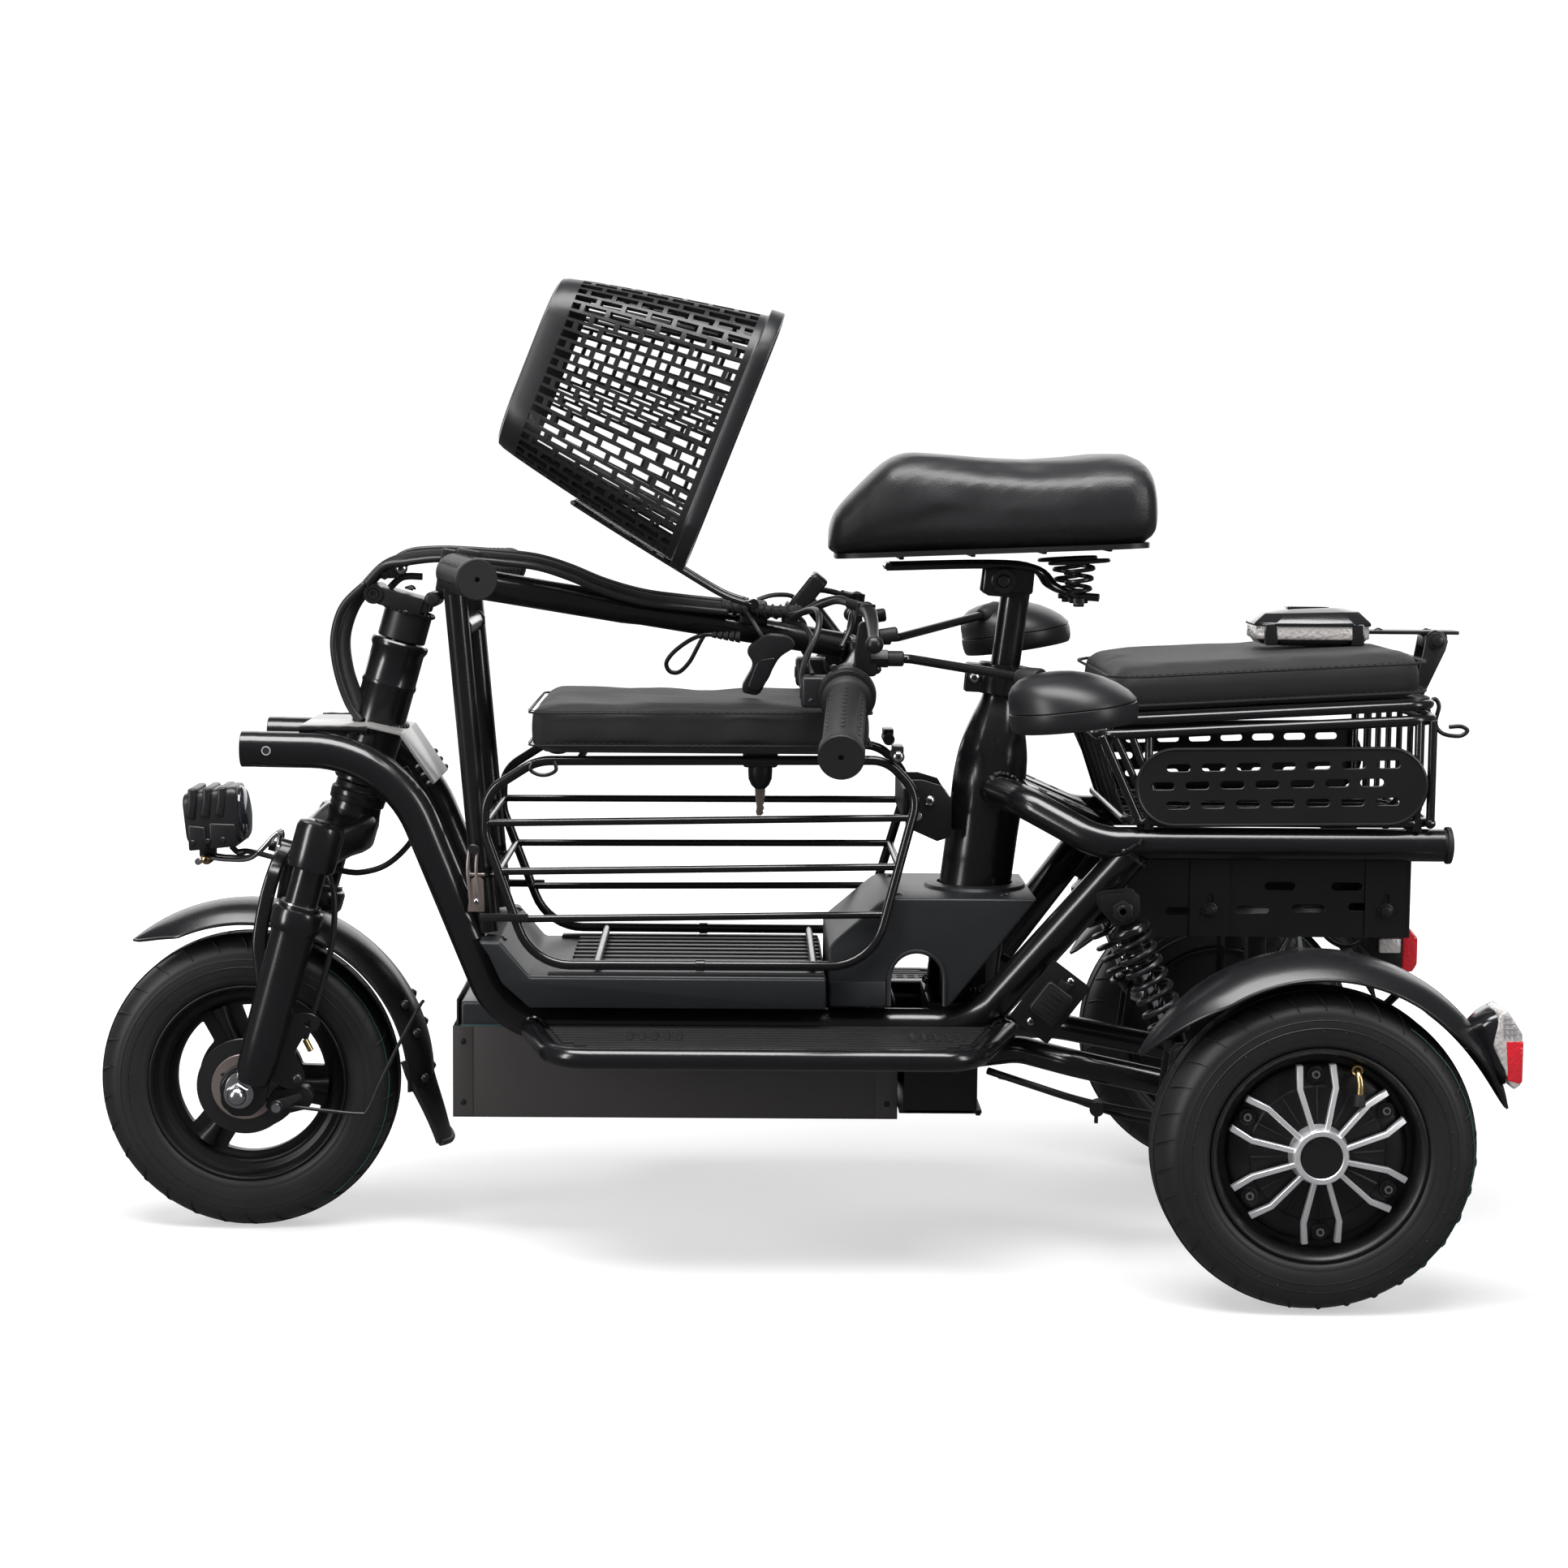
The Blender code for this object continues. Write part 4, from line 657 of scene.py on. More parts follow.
def make_seat_tube():
    profile = [(0, 0), (0.0305, 0), (0.0305, 0.15), (0.0311, 0.185), (0.031, 0.196), (0.0295, 0.214),
               (0.0262, 0.23), (0.0218, 0.245), (0.0178, 0.256), (0.0158, 0.264), (0.0155, 0.272),
               (0.0155, 0.29), (0.013, 0.29), (0.013, 0.284), (0, 0.284)]
    fine = [tuple(p) for p in smooth([(r, h, 0) for r, h in profile[3:11]], 4)]
    profile = profile[:3] + [(r, h) for r, h, _ in fine] + profile[11:]
    piece = Piece("seat_tube_shown", "frame")
    piece.add(lathe(profile, on_seat(0.2), SEAT_UP, 64))
    piece.add(block((0.128, -0.0575, 0.189), (0.196, 0.0575, 0.206), 0.0015), "satin")
    seam = [on_seat(0.3 + 0.01 * k) + Vector((-0.0295 + 0.0001 * k, -0.0085, 0)) for k in range(9)]
    piece.add(tube(seam, 0.0009, 8))
    piece.weld(on_seat(0.212), SEAT_UP, 0.031, 0.0028)
    piece.weld(on_seat(0.384), SEAT_UP, 0.0315, 0.002, -70, 70)
    gusset = [(0.2, 0.388), (0.208, 0.392), (0.268, 0.366), (0.262, 0.3625), (0.214, 0.378)]
    for side in (-1, 1):
        piece.add(slab(gusset, side * 0.044 - 0.03, side * 0.044 + 0.03, bevel=0.0006), "paint")
        for x, z in ((0.222, 0.3862), (0.243, 0.3772)):
            piece.add(lathe([(0, 0), (0.0042, 0), (0.0042, 0.0004), (0, 0.0004)],
                            (x, side * 0.055, z), (0.4, 0, 0.92), 16), "rubber")
    piece.done(["seat_tube"])


def make_head_tube():
    profile = [(0.0139, 0), (0.0232, 0), (0.0245, 0.0015), (0.0245, 0.0125), (0.0232, 0.016),
               (0.0225, 0.018), (0.0225, 0.084), (0.0232, 0.0855), (0.0236, 0.0875), (0.0232, 0.089),
               (0.0225, 0.0905), (0.0225, 0.116), (0.0243, 0.1195), (0.0245, 0.1205), (0.0245, 0.1235),
               (0.0235, 0.125), (0.0139, 0.125)]
    piece = Piece("head_tube_shown", "frame")
    piece.add(lathe(profile, HEAD_FOOT, STEER_UP, 64))
    level = 0.4337
    outline = [(-0.4, level + 0.001), (-0.345, level + 0.001), (-0.317, 0.4285), (-0.289, 0.3875),
               (-0.2871, 0.389), (-0.315, 0.4302), (-0.3442, level + 0.003), (-0.3995, level + 0.003)]
    # The gusset plate takes the grey plate look, a painted reflection on black paint.
    piece.add(slab(outline, -0.056, 0.056, bevel=0.0004), "plate")
    piece.weld(on_head(0.0475, -0.001), (-0.1, 0, 1), 0.024, 0.0028)
    for side in (-1, 1):
        path = [(-0.398 + 0.008 * k, side * 0.0715, 0.4345) for k in range(8)]
        piece.add(tube(path, [0.0022 + 0.0005 * (k % 2) for k in range(8)], 8))
        for k in range(3):
            at = Vector((-0.3 + 0.0045 * k, side * 0.0722, 0.4035 - 0.0068 * k))
            piece.add(ball(at, 0.0026, 10))
    piece.done(["head_tube"])


def make_seat_clamp():
    piece = Piece("seat_clamp_shown", "frame", "paint")
    base = on_seat(0.4625)
    piece.add(lathe([(0.0159, 0), (0.0218, 0), (0.0225, 0.0008), (0.0225, 0.0252), (0.0218, 0.026),
                     (0.0159, 0.026)], base, SEAT_UP, 48))
    for side in (-1, 1):
        piece.add(slab([(0.1585, 0.4655), (0.182, 0.4645), (0.184, 0.488), (0.1605, 0.49)],
                       side * 0.0065 - 0.0042, side * 0.0065 + 0.0042, bevel=0.0012))
    piece.bolt((0.1665, -0.0107, 0.4775), -Y, 0.0052, 0.0035)
    piece.bolt((0.1665, 0.0107, 0.4775), Y, 0.005, 0.004, "hex", "black_steel")
    piece.done(["seat_clamp"])


def make_swing_bracket():
    piece = Piece("swing_bracket_shown", "frame", "satin")
    plate = [(0.108, 0.112), (0.166, 0.112), (0.17, 0.116), (0.17, 0.1715), (0.108, 0.1715)]
    for side in (-1, 1):
        middle = side * 0.063
        piece.add(slab(plate, middle - 0.0025, middle + 0.0025, bevel=0.0008))
        piece.bolt((SWING_PIVOT.x, side * 0.0655, SWING_PIVOT.z), Y * side, 0.0098, 0.005, "hex",
                   "black_steel")
        piece.bolt((SWING_PIVOT.x, side * 0.066, SWING_PIVOT.z), Y * side, 0.0052, 0.0085, "flat",
                   "black_steel")
    piece.add(block((0.104, -0.0655, 0.112), (0.174, 0.0655, 0.1152), 0.0006))
    piece.add(rod(SWING_PIVOT - Y * 0.066, SWING_PIVOT + Y * 0.066, 0.0058))
    lip = [(-0.0655, 0.1105), (-0.055, 0.1085), (-0.04, 0.1118), (-0.022, 0.109), (-0.004, 0.1122),
           (0.018, 0.1098), (0.041, 0.1116), (0.0655, 0.11), (0.0655, 0.1135), (-0.0655, 0.1135)]
    piece.add(slab(lip, 0.1695, 0.173, "X", 0.0004))
    piece.done(["swing_bracket"])


# --- Floor, battery, foot rests ---------------------------------------------------------------
def make_deck():
    piece = Piece("floor_deck_shown", "frame", "deck")
    outline = [(0.04, 0.208), (0.04, 0.2352), (-0.2045, 0.2352), (-0.208, 0.2385), (-0.229, 0.2635),
               (-0.247, 0.2635), (-0.239, 0.252), (-0.228, 0.2285), (-0.205, 0.208)]
    piece.add(slab(outline, -0.1085, 0.1085, bevel=0.0022, segments=3))
    skirt = [(0.0395, 0.2085), (0.0395, 0.2335), (-0.204, 0.2335), (-0.2085, 0.2375), (-0.23, 0.2625),
             (-0.2455, 0.2625), (-0.238, 0.2515), (-0.2272, 0.229), (-0.2045, 0.2085)]
    for side in (-1, 1):
        piece.add(slab(skirt, side * 0.1085 - 0.0028, side * 0.1085 + 0.0028, bevel=0.0014, segments=3))
    for k in range(9):
        y = -0.082 + 0.0205 * k
        piece.add(slab(rounded(0.106, 0.0046, 0.0044, 4, (-0.068, y)), 0.234, 0.2382, "Z", 0.001))
    for side in (-1, 1):
        piece.add(block((-0.19, side * 0.1 - 0.006, 0.234), (0.0385, side * 0.1 + 0.006, 0.238), 0.0014))
    for y in (-0.085, 0.085):
        piece.bolt((-0.229, y, 0.262), Z, 0.0042, 0.002, "dome", "black_steel")
    piece.done(["floor_deck"], 28)


def narrowed(solid):
    """The solid, drawn in towards the middle with height, as the moulded cover is."""
    for vert in solid.verts:
        rise = (vert.co.z - 0.208) / 0.09
        vert.co.y *= 1 - 0.14 * max(0.0, min(1.0, rise))
    return solid


def make_hump():
    piece = Piece("hump_cover_shown", "frame", "deck")
    arch = arc((0.116, 0.231), 0.023, 0, 180, 16)
    outline = [(0.0425, 0.208), (0.0425, 0.256)] + [tuple(p)
                                                    for p in soften([(0.0425, 0.256), (0.047, 0.262),
            (0.088, 0.2975), (0.2165, 0.2975)], 0.008, 4)[1:-1]]
    outline += [(0.2165, 0.2975), (0.143, 0.208), (0.139, 0.208)] + arch + [(0.093, 0.208)]
    piece.add(narrowed(slab(outline, -0.094, 0.094, bevel=0.0045, segments=4)))
    low_rim = [(0.139, 0.209)] + arch + [(0.093, 0.209)]
    for side in (-1, 1):
        path = [Vector((x, side * (0.0943 * (1 - 0.14 * (z - 0.208) / 0.09)), z)) for x, z in low_rim]
        piece.add(tube(path, 0.0019, 10))
        piece.bolt((0.19, side * 0.058, 0.2975), Z, 0.0042, 0.0018, "dome", "black_steel")
        piece.bolt((0.101, side * 0.058, 0.2975), Z, 0.0042, 0.0018, "dome", "black_steel")
        piece.add(narrowed(block((0.044, side * 0.0945 - 0.001, 0.2085),
                                 (0.09, side * 0.0945 + 0.001, 0.229), 0.0009)))
    piece.add(lathe([(0.0325, 0), (0.042, 0), (0.0435, 0.0012), (0.042, 0.0036), (0.036, 0.005),
                     (0.0325, 0.005)], on_seat(0.2965), Z, 48))
    piece.add(block((0.148, -0.06, 0.222), (0.176, 0.06, 0.29), 0.001), "rubber")
    piece.done(["hump_cover"], 28)


def make_foot_rests():
    for name, side in SIDES:
        corners = [(-0.207, side * 0.08, 0.187), (-0.178, side * 0.2, 0.184), (0.155, side * 0.2, 0.184),
                   (0.193, side * 0.08, 0.187)]
        piece = Piece(f"foot_rest_{name}_shown", "frame")
        piece.add(tube(round_path(corners, (0.034, 0.034), 12), 0.0088, 26))
        pad = [(-0.197, 0.0905), (-0.184, 0.15), (-0.177, 0.18), (-0.16, 0.1955), (0.138, 0.1955),
               (0.157, 0.18), (0.166, 0.15), (0.183, 0.0905)]
        piece.add(slab([(x, y * side) for x, y in pad], 0.1862, 0.19, "Z", 0.001), "rubber")
        for k in range(9):
            y = 0.0985 + 0.0112 * k
            low, high = -0.19 + max(0, y - 0.1) * 0.22, 0.174 - max(0, y - 0.1) * 0.25
            if k > 6:
                low, high = low + 0.008 * (k - 6), high - 0.008 * (k - 6)
            piece.add(slab(rounded((high - low) / 2, 0.0036, 0.0035, 4, ((low + high) / 2, y * side)),
                           0.189, 0.192, "Z", 0.0009), "rubber")
        for x in (-0.12, 0.11):
            for k in range(5):
                piece.add(slab(oblong((x + 0.01 * k, side * 0.143), 0.016, 0.0022, 90), 0.1905, 0.1928, "Z",
                               0.0006), "rubber")
        for x, lean in ((-0.2015, (-0.4, side, 0)), (0.1875, (0.45, side, 0))):
            piece.weld((x, side * 0.0895, 0.187), lean, 0.0098, 0.0018)
        piece.done([f"foot_rest_{name}"])


def make_battery():
    piece = Piece("battery_box_shown", "frame", "sheet")
    for side in (-1, 1):
        piece.add(block((-0.2725, side * 0.0558 - 0.0007, 0.105), (0.1025, side * 0.0558 + 0.0007, 0.183),
                        0.0004))
        for low, high in ((-0.273, -0.256), (0.0845, 0.103)):
            piece.add(block((low, side * 0.0566 - 0.0005, 0.1066), (high, side * 0.0566 + 0.0005, 0.1822),
                            0.0004))
        for x in (-0.264, 0.094):
            for z in (0.118, 0.17):
                piece.bolt((x, side * 0.0571, z), Y * side, 0.0026, 0.0009, "dome", "satin", 0.0002)
    for x in (-0.2725, 0.1025):
        piece.add(block((x - 0.0006, -0.0565, 0.105), (x + 0.0006, 0.0565, 0.183), 0.0004))
    piece.add(block((-0.273, -0.0565, 0.105), (0.103, 0.0565, 0.1066), 0.0006))
    for low, high in ((-0.27, -0.2685), (0.099, 0.1005)):
        piece.add(block((low, -0.054, 0.11), (high, 0.054, 0.2055), 0.0004))
    piece.done(["battery_box"])
    pack = Piece("battery_pack_shown", "frame", "wrap")
    pack.add(block((-0.268, -0.052, 0.108), (0.098, 0.052, 0.203), 0.004, 3))
    for x in (-0.15, -0.03, 0.06):
        pack.add(block((x, -0.0524, 0.1078), (x + 0.018, 0.0524, 0.2035), 0.001), "rubber")
    pack.add(block((-0.2684, -0.0524, 0.1795), (0.0984, 0.0524, 0.1835), 0.0004), "teal")
    pack.done(["battery_pack"])


def make_charge_port():
    centre = Vector((0.2245, -0.12, 0.218))
    turn = Matrix.Translation(centre) @ Matrix.Rotation(radians(37), 4, "Y")
    piece = Piece("charge_port_shown", "frame", "plastic")
    piece.add(slab(rounded(0.0195, 0.0295, 0.0015, 3), -0.002, 0.002, bevel=0.0007), "satin", turn)
    piece.add(slab(rounded(0.013, 0.015, 0.004, 5), -0.0108, -0.0015, bevel=0.0018, segments=3), None, turn)
    piece.add(slab(rounded(0.01, 0.012, 0.003, 5), -0.0116, -0.01, bevel=0.0006), None, turn)
    for k in range(4):
        piece.add(block((-0.006, -0.0122, -0.0075 + 0.0045 * k), (0.006, -0.011, -0.0055 + 0.0045 * k),
                        0.0004), None, turn)
    piece.add(slab(rounded(0.005, 0.0045, 0.002, 4, (0, 0.0165)), -0.0085, -0.0015, bevel=0.001), None,
              turn)
    for z in (-0.0225, 0.0235):
        piece.bolt(turn @ Vector((0.003 * (1 if z > 0 else -1), -0.002, z)), -Y, 0.0036, 0.002)
    piece.add(tube(smooth([turn @ Vector((0, 0.002, 0.004)), turn @ Vector((0.004, 0.014, 0.01)),
                           (0.215, -0.085, 0.236), (0.19, -0.06, 0.245)], 8), 0.0032, 12), "rubber")
    piece.done(["charge_port"])


# --- Child seat -------------------------------------------------------------------------------
def grip_texture(piece, base, axis, radius, low, high, rows=7, around=18):
    """Low chevron ribs on a rubber grip."""
    matrix = placed(base, axis)
    for n in range(around):
        for row in range(rows):
            height = low + (high - low) * (row + 0.5) / rows
            half = (high - low) / rows * 0.34
            path = []
            for t in (-1, -0.5, 0, 0.5, 1):
                a = 2 * pi * n / around + 0.15 * t
                path.append(matrix @ Vector((radius * cos(a), radius * sin(a),
                                             height + half * (1 - abs(t)) * 1.4 - half * 0.5)))
            piece.add(tube(path, [0.0002, 0.0005, 0.0006, 0.0005, 0.0002], 6))


def make_child_handle():
    piece = Piece("child_handle_shown", "frame")
    for side in (-1, 1):
        corners = [(-0.246, side * 0.155, 0.5632), (-0.27, side * 0.073, 0.566),
                   (-0.2425, side * 0.073, 0.2665)]
        piece.add(tube(round_path(corners, (0.018,), 10), 0.0095, 24))
        piece.weld((-0.2655, side * 0.0655, 0.519), Y, 0.0088, 0.0014)
        piece.weld((-0.247, side * 0.073, 0.315), (0.09, 0, 1), 0.0105, 0.0014)
    piece.add(rod((-0.2655, -0.073, 0.519), (-0.2655, 0.073, 0.519), 0.0085, 24))
    piece.done(["child_handle"])
    for name, side in SIDES:
        grip = Piece(f"child_grip_{name}", "frame", "rubber")
        start, end = Vector((-0.268, side * 0.082, 0.5655)), Vector((-0.242, side * 0.168, 0.563))
        length = (end - start).length
        profile = [(0, 0), (0.014, 0), (0.016, 0.0015), (0.016, length - 0.011), (0.0152, length - 0.0102),
                   (0.0152, length - 0.0092), (0.0165, length - 0.0082), (0.0168, length - 0.0015),
                   (0.0158, length), (0.0022, length), (0.0018, length - 0.003), (0, length - 0.003)]
        grip.add(lathe(profile, start, end - start, 48))
        grip_texture(grip, start, end - start, 0.016, 0.006, length - 0.014, 7, 7)
        grip.done()


def make_latch():
    piece = Piece("toggle_latch_shown", "latch", "disc")
    top, foot = Vector((-0.252, -0.0905, 0.338)), Vector((-0.25, -0.0905, 0.286))
    for off in (-0.0035, 0.0035):
        shift = Vector((off, 0, 0))
        piece.add(tube(smooth([top + shift, Vector((-0.2535, -0.0925, 0.322)) + shift,
                               Vector((-0.252, -0.092, 0.303)) + shift,
                               foot + shift * 1.3 + Vector((0, 0, 0.004))], 5), 0.0014, 10))
    piece.add(slab([(-0.257, 0.2855), (-0.243, 0.2855), (-0.244, 0.312), (-0.2485, 0.3165),
                    (-0.2545, 0.312)], -0.0915, -0.0897, bevel=0.0004))
    piece.add(rod((-0.252, -0.096, 0.338), (-0.252, -0.085, 0.338), 0.0042, 20), "black_steel")
    piece.bolt((-0.25, -0.0912, 0.294), -Y, 0.0026, 0.0016)
    piece.add(rod((-0.2585, -0.0905, 0.3165), (-0.2425, -0.0905, 0.3165), 0.0016, 12))
    piece.done(["toggle_latch"])


def ring_path(corners, bends):
    """A closed path with rounded corners, which starts between its last corner and its first."""
    middle = (Vector(corners[0]) + Vector(corners[-1])) / 2
    path = round_path([middle] + [Vector(c) for c in corners] + [middle], bends, 8)
    return path[:-1]


def make_child_seat():
    piece = Piece("child_seat_shown", "frame")
    rails = ((0.36, -0.242, 0.095, 0.111, 0.071), (0.32, -0.231, 0.097, 0.1005, 0.0805),
             (0.281, -0.217, 0.1, 0.09, 0.0895))
    for side in (-1, 1):
        corners = [(-0.2, side * 0.095, 0.412), (-0.242, side * 0.095, 0.385),
                   (-0.2425, side * 0.095, 0.3505), (-0.203, side * 0.104, 0.2435),
                   (0.078, side * 0.1, 0.2435), (0.117, side * 0.068, 0.3835), (0.09, side * 0.07, 0.412)]
        piece.add(tube(ring_path(corners, (0.04, 0.03, 0.03, 0.045, 0.045, 0.03, 0.03)), 0.004, 18,
                       closed=True))
        piece.add(lathe([(0.0038, -0.004), (0.0049, -0.0035), (0.0049, 0.0035), (0.0038, 0.004)],
                        (-0.064, side * 0.102, 0.2435), X, 18))
        for z, front, front_half, rear, rear_half in rails:
            piece.add(rod((front, side * front_half, z), (rear, side * rear_half, z + 0.004), 0.0031, 16))
            piece.add(ball((front, side * front_half, z), 0.004, 12))
            piece.add(ball((rear, side * rear_half, z + 0.004), 0.004, 12))
    for z, front, front_half, rear, rear_half in rails[:2]:
        piece.add(rod((front, -front_half, z), (front, front_half, z), 0.003, 16))
        piece.add(rod((rear, -rear_half, z + 0.004), (rear, rear_half, z + 0.004), 0.003, 16))
    for x, z, half in ((-0.165, 0.412, 0.0935), (0.07, 0.412, 0.0715)):
        piece.add(rod((x, -half, z), (x, half, z), 0.0031, 16))
    for x, half in ((-0.15, 0.104), (0.03, 0.101)):
        piece.add(rod((x, -half, 0.243), (x, half, 0.243), 0.0033, 16))
    piece.done(["child_seat_frame"])
    fittings = Piece("child_seat_fittings", "frame", "satin")
    plate = [(0.108, 0.392), (0.122, 0.392), (0.139, 0.387), (0.147, 0.374), (0.147, 0.344), (0.135, 0.34),
             (0.108, 0.352)]
    for side in (-1, 1):
        fittings.add(slab(plate, side * 0.034 - 0.0015, side * 0.034 + 0.0015, bevel=0.0006))
        fittings.bolt((0.1285, side * 0.0355, 0.3745), Y * side, 0.0046, 0.003)
        fittings.bolt((0.118, side * 0.0355, 0.3615), Y * side, 0.004, 0.003, "hex", "steel")
    fittings.add(block((0.104, -0.066, 0.362), (0.109, 0.066, 0.388), 0.001))
    fittings.add(block((0.139, -0.034, 0.348), (0.146, 0.034, 0.378), 0.001))
    for side in (-1, 1):
        loop = [(-0.2025, side * 0.1, 0.412), (-0.2045, side * 0.1, 0.405), (-0.198, side * 0.1, 0.401),
                (-0.19, side * 0.1, 0.401), (-0.1835, side * 0.1, 0.405), (-0.185, side * 0.1, 0.412)]
        fittings.add(tube(smooth(loop, 6), 0.0016, 10), "black_steel")
        fittings.add(rod((0.098, side * 0.062, 0.4175), (0.098, side * 0.098, 0.4175), 0.0052, 20),
                     "black_steel")
        fittings.bolt((0.098, side * 0.0975, 0.4175), Y * side, 0.0048, 0.0025)
        fittings.add(block((0.0935, side * 0.083 - 0.013, 0.416), (0.1025, side * 0.083 + 0.013, 0.426),
                           0.001), "black_steel")
        fittings.add(block((-0.246, side * 0.104 - 0.003, 0.2795), (-0.206, side * 0.104 + 0.003, 0.286),
                           0.001))
    fittings.add(block((-0.03, -0.011, 0.399), (0.0, 0.011, 0.415), 0.003, 3), "plastic")
    fittings.add(lathe([(0, 0), (0.0045, 0.0002), (0.0075, 0.003), (0.01, 0.0085), (0.0104, 0.015),
                        (0.0104, 0.023), (0, 0.023)], (-0.015, 0, 0.38), Z, 28), "plastic")
    fittings.add(slab([(-0.0195, 0.381), (-0.0105, 0.381), (-0.0108, 0.372), (-0.012, 0.3705),
                       (-0.0112, 0.3685), (-0.0124, 0.366), (-0.0112, 0.3635), (-0.0126, 0.361),
                       (-0.0118, 0.359), (-0.014, 0.357), (-0.0175, 0.357), (-0.0185, 0.36),
                       (-0.0178, 0.364), (-0.019, 0.372)], -0.001, 0.001, bevel=0.0002), "disc")
    fittings.done()


# --- Padded pieces ----------------------------------------------------------------------------
def pad_layers(middle, layers, corner):
    """A cushion's form from (z, half length, half width) layers."""
    sections = []
    for z, half_x, half_y in layers:
        sections.append([Vector((x, y, z)) for x, y in rounded(half_x, half_y, corner, 8, (middle, 0))])
    return loft(sections)


def inflated(name, solid, cap, voxel=0.005, pressure=4.0):
    """Swells a closed form by cloth pressure, with no point moving further than the cap."""
    mesh = bpy.data.meshes.new(name)
    solid.to_mesh(mesh)
    solid.free()
    made = bpy.data.objects.new(name, mesh)
    scene = bpy.context.scene
    scene.collection.objects.link(made)
    remesh = made.modifiers.new("remesh", "REMESH")
    remesh.mode, remesh.voxel_size = "VOXEL", voxel
    base = bpy.data.meshes.new_from_object(made.evaluated_get(bpy.context.evaluated_depsgraph_get()))
    made.modifiers.clear()
    made.data = base
    start = [v.co.copy() for v in base.vertices]
    cloth = made.modifiers.new("cloth", "CLOTH")
    settings = cloth.settings
    settings.quality = 5
    settings.use_pressure, settings.uniform_pressure_force = True, pressure
    settings.effector_weights.gravity = 0
    settings.tension_stiffness = settings.compression_stiffness = 15
    settings.bending_stiffness = 0.5
    scene.frame_start, scene.frame_end = 1, 20
    cloth.point_cache.frame_start, cloth.point_cache.frame_end = 1, 20
    for number in range(1, 21):
        scene.frame_set(number)
        graph = bpy.context.evaluated_depsgraph_get()
        made.evaluated_get(graph)
    swollen = bpy.data.meshes.new_from_object(made.evaluated_get(bpy.context.evaluated_depsgraph_get()))
    made.modifiers.clear()
    points = [v.co.copy() for v in swollen.vertices]
    for vert, before, after in zip(base.vertices, start, points):
        step = after - before
        if step.length > cap:
            step *= cap / step.length
        vert.co = before + step
    bpy.data.meshes.remove(swollen)
    scene.frame_set(1)
    return made


def dress(made, look, body, node, inside=None):
    """Finishes a padded piece: a smooth surface, its cloth, and its place on a body."""
    low, high = (Vector(corner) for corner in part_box(node))
    low, high = low - Vector((0.004, 0.004, 0.0)), high + Vector((0.004, 0.004, 0.003))
    for vert in made.data.vertices:
        vert.co = Vector(max(a, min(b, c)) for a, b, c in zip(low, high,
                vert.co)) if inside is None else inside(vert.co)
    for face in made.data.polygons:
        face.use_smooth = True
    made.data.materials.clear()
    made.data.materials.append(LOOKS[look])
    smoother = made.modifiers.new("surface", "SUBSURF")
    smoother.levels = smoother.render_levels = 1
    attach(made, body)
    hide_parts(node)


def piping(name, body, outline, z, radius, tilt=None):
    """A slightly uneven cord round a cushion, with its stitches."""
    piece = Piece(name, body, "cloth")
    path = [Vector((x, y, z)) for x, y in outline]
    uneven = [p + Vector((0, 0, 0.0006 * sin(61.0 * p.x + 17 * p.y))) for p in path]
    piece.add(tube(uneven, radius, 8, closed=True), None, tilt)
    step = 0.0062
    for a, b in zip(path, path[1:] + path[:1]):
        along = b - a
        count = max(1, int(along.length / step))
        for k in range(count):
            at = a + along * ((k + 0.5) / count)
            out = Vector((at.x, at.y, 0)) - Vector((sum(p[0] for p in outline) / len(outline), 0, 0))
            shift = out.normalized() * radius * 0.75
            piece.add(rod(at + shift - along.normalized() * 0.0016 + Z * 0.0012,
                          at + shift + along.normalized() * 0.0016 + Z * 0.0012, 0.00035, 5), None, tilt)
    piece.done()


def make_child_cushion():
    base = ((0.4195, 0.126, 0.084), (0.4235, 0.133, 0.098), (0.4245, 0.14, 0.107), (0.44, 0.1408, 0.1078),
            (0.4535, 0.14, 0.107), (0.4568, 0.1375, 0.1045), (0.4575, 0.13, 0.098))
    made = inflated("child_cushion_shown", pad_layers(-0.065, base, 0.009), 0.0026, 0.004)

    def settle(point):
        low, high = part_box("child_cushion")
        x, y, z = point
        share = max(0.0, (z - 0.446) / 0.013)
        dip = 0.0016 * sin(31 * x + 0.6) * sin(27 * y) + 0.0008 * sin(83 * x + 40 * y)
        z += share * dip
        if 0.428 < z < 0.452:
            bulge = 0.001 * sin(58 * x + 31 * y) + 0.0007 * sin(131 * x - 50 * y)
            y += bulge * (1 if y > 0 else -1) * min(1, abs(y) / 0.1)
        return Vector((max(low[0] - 0.003, min(high[0] + 0.003, x)),
                       max(low[1] - 0.003, min(high[1] + 0.003, y)), max(low[2], min(high[2] + 0.0015, z))))

    dress(made, "cloth", "frame", "child_cushion", settle)
    outline = rounded(0.1408, 0.1078, 0.01, 8, (-0.065, 0))
    piping("child_cushion_seam_top", "frame", outline, 0.453, 0.0009)
    piping("child_cushion_seam_low", "frame", outline, 0.4262, 0.0008)
    board = Piece("child_cushion_board", "frame", "plastic")
    board.add(slab(rounded(0.131, 0.084, 0.016, 6, (-0.065, 0)), 0.4178, 0.4235, "Z", 0.001))
    board.done()


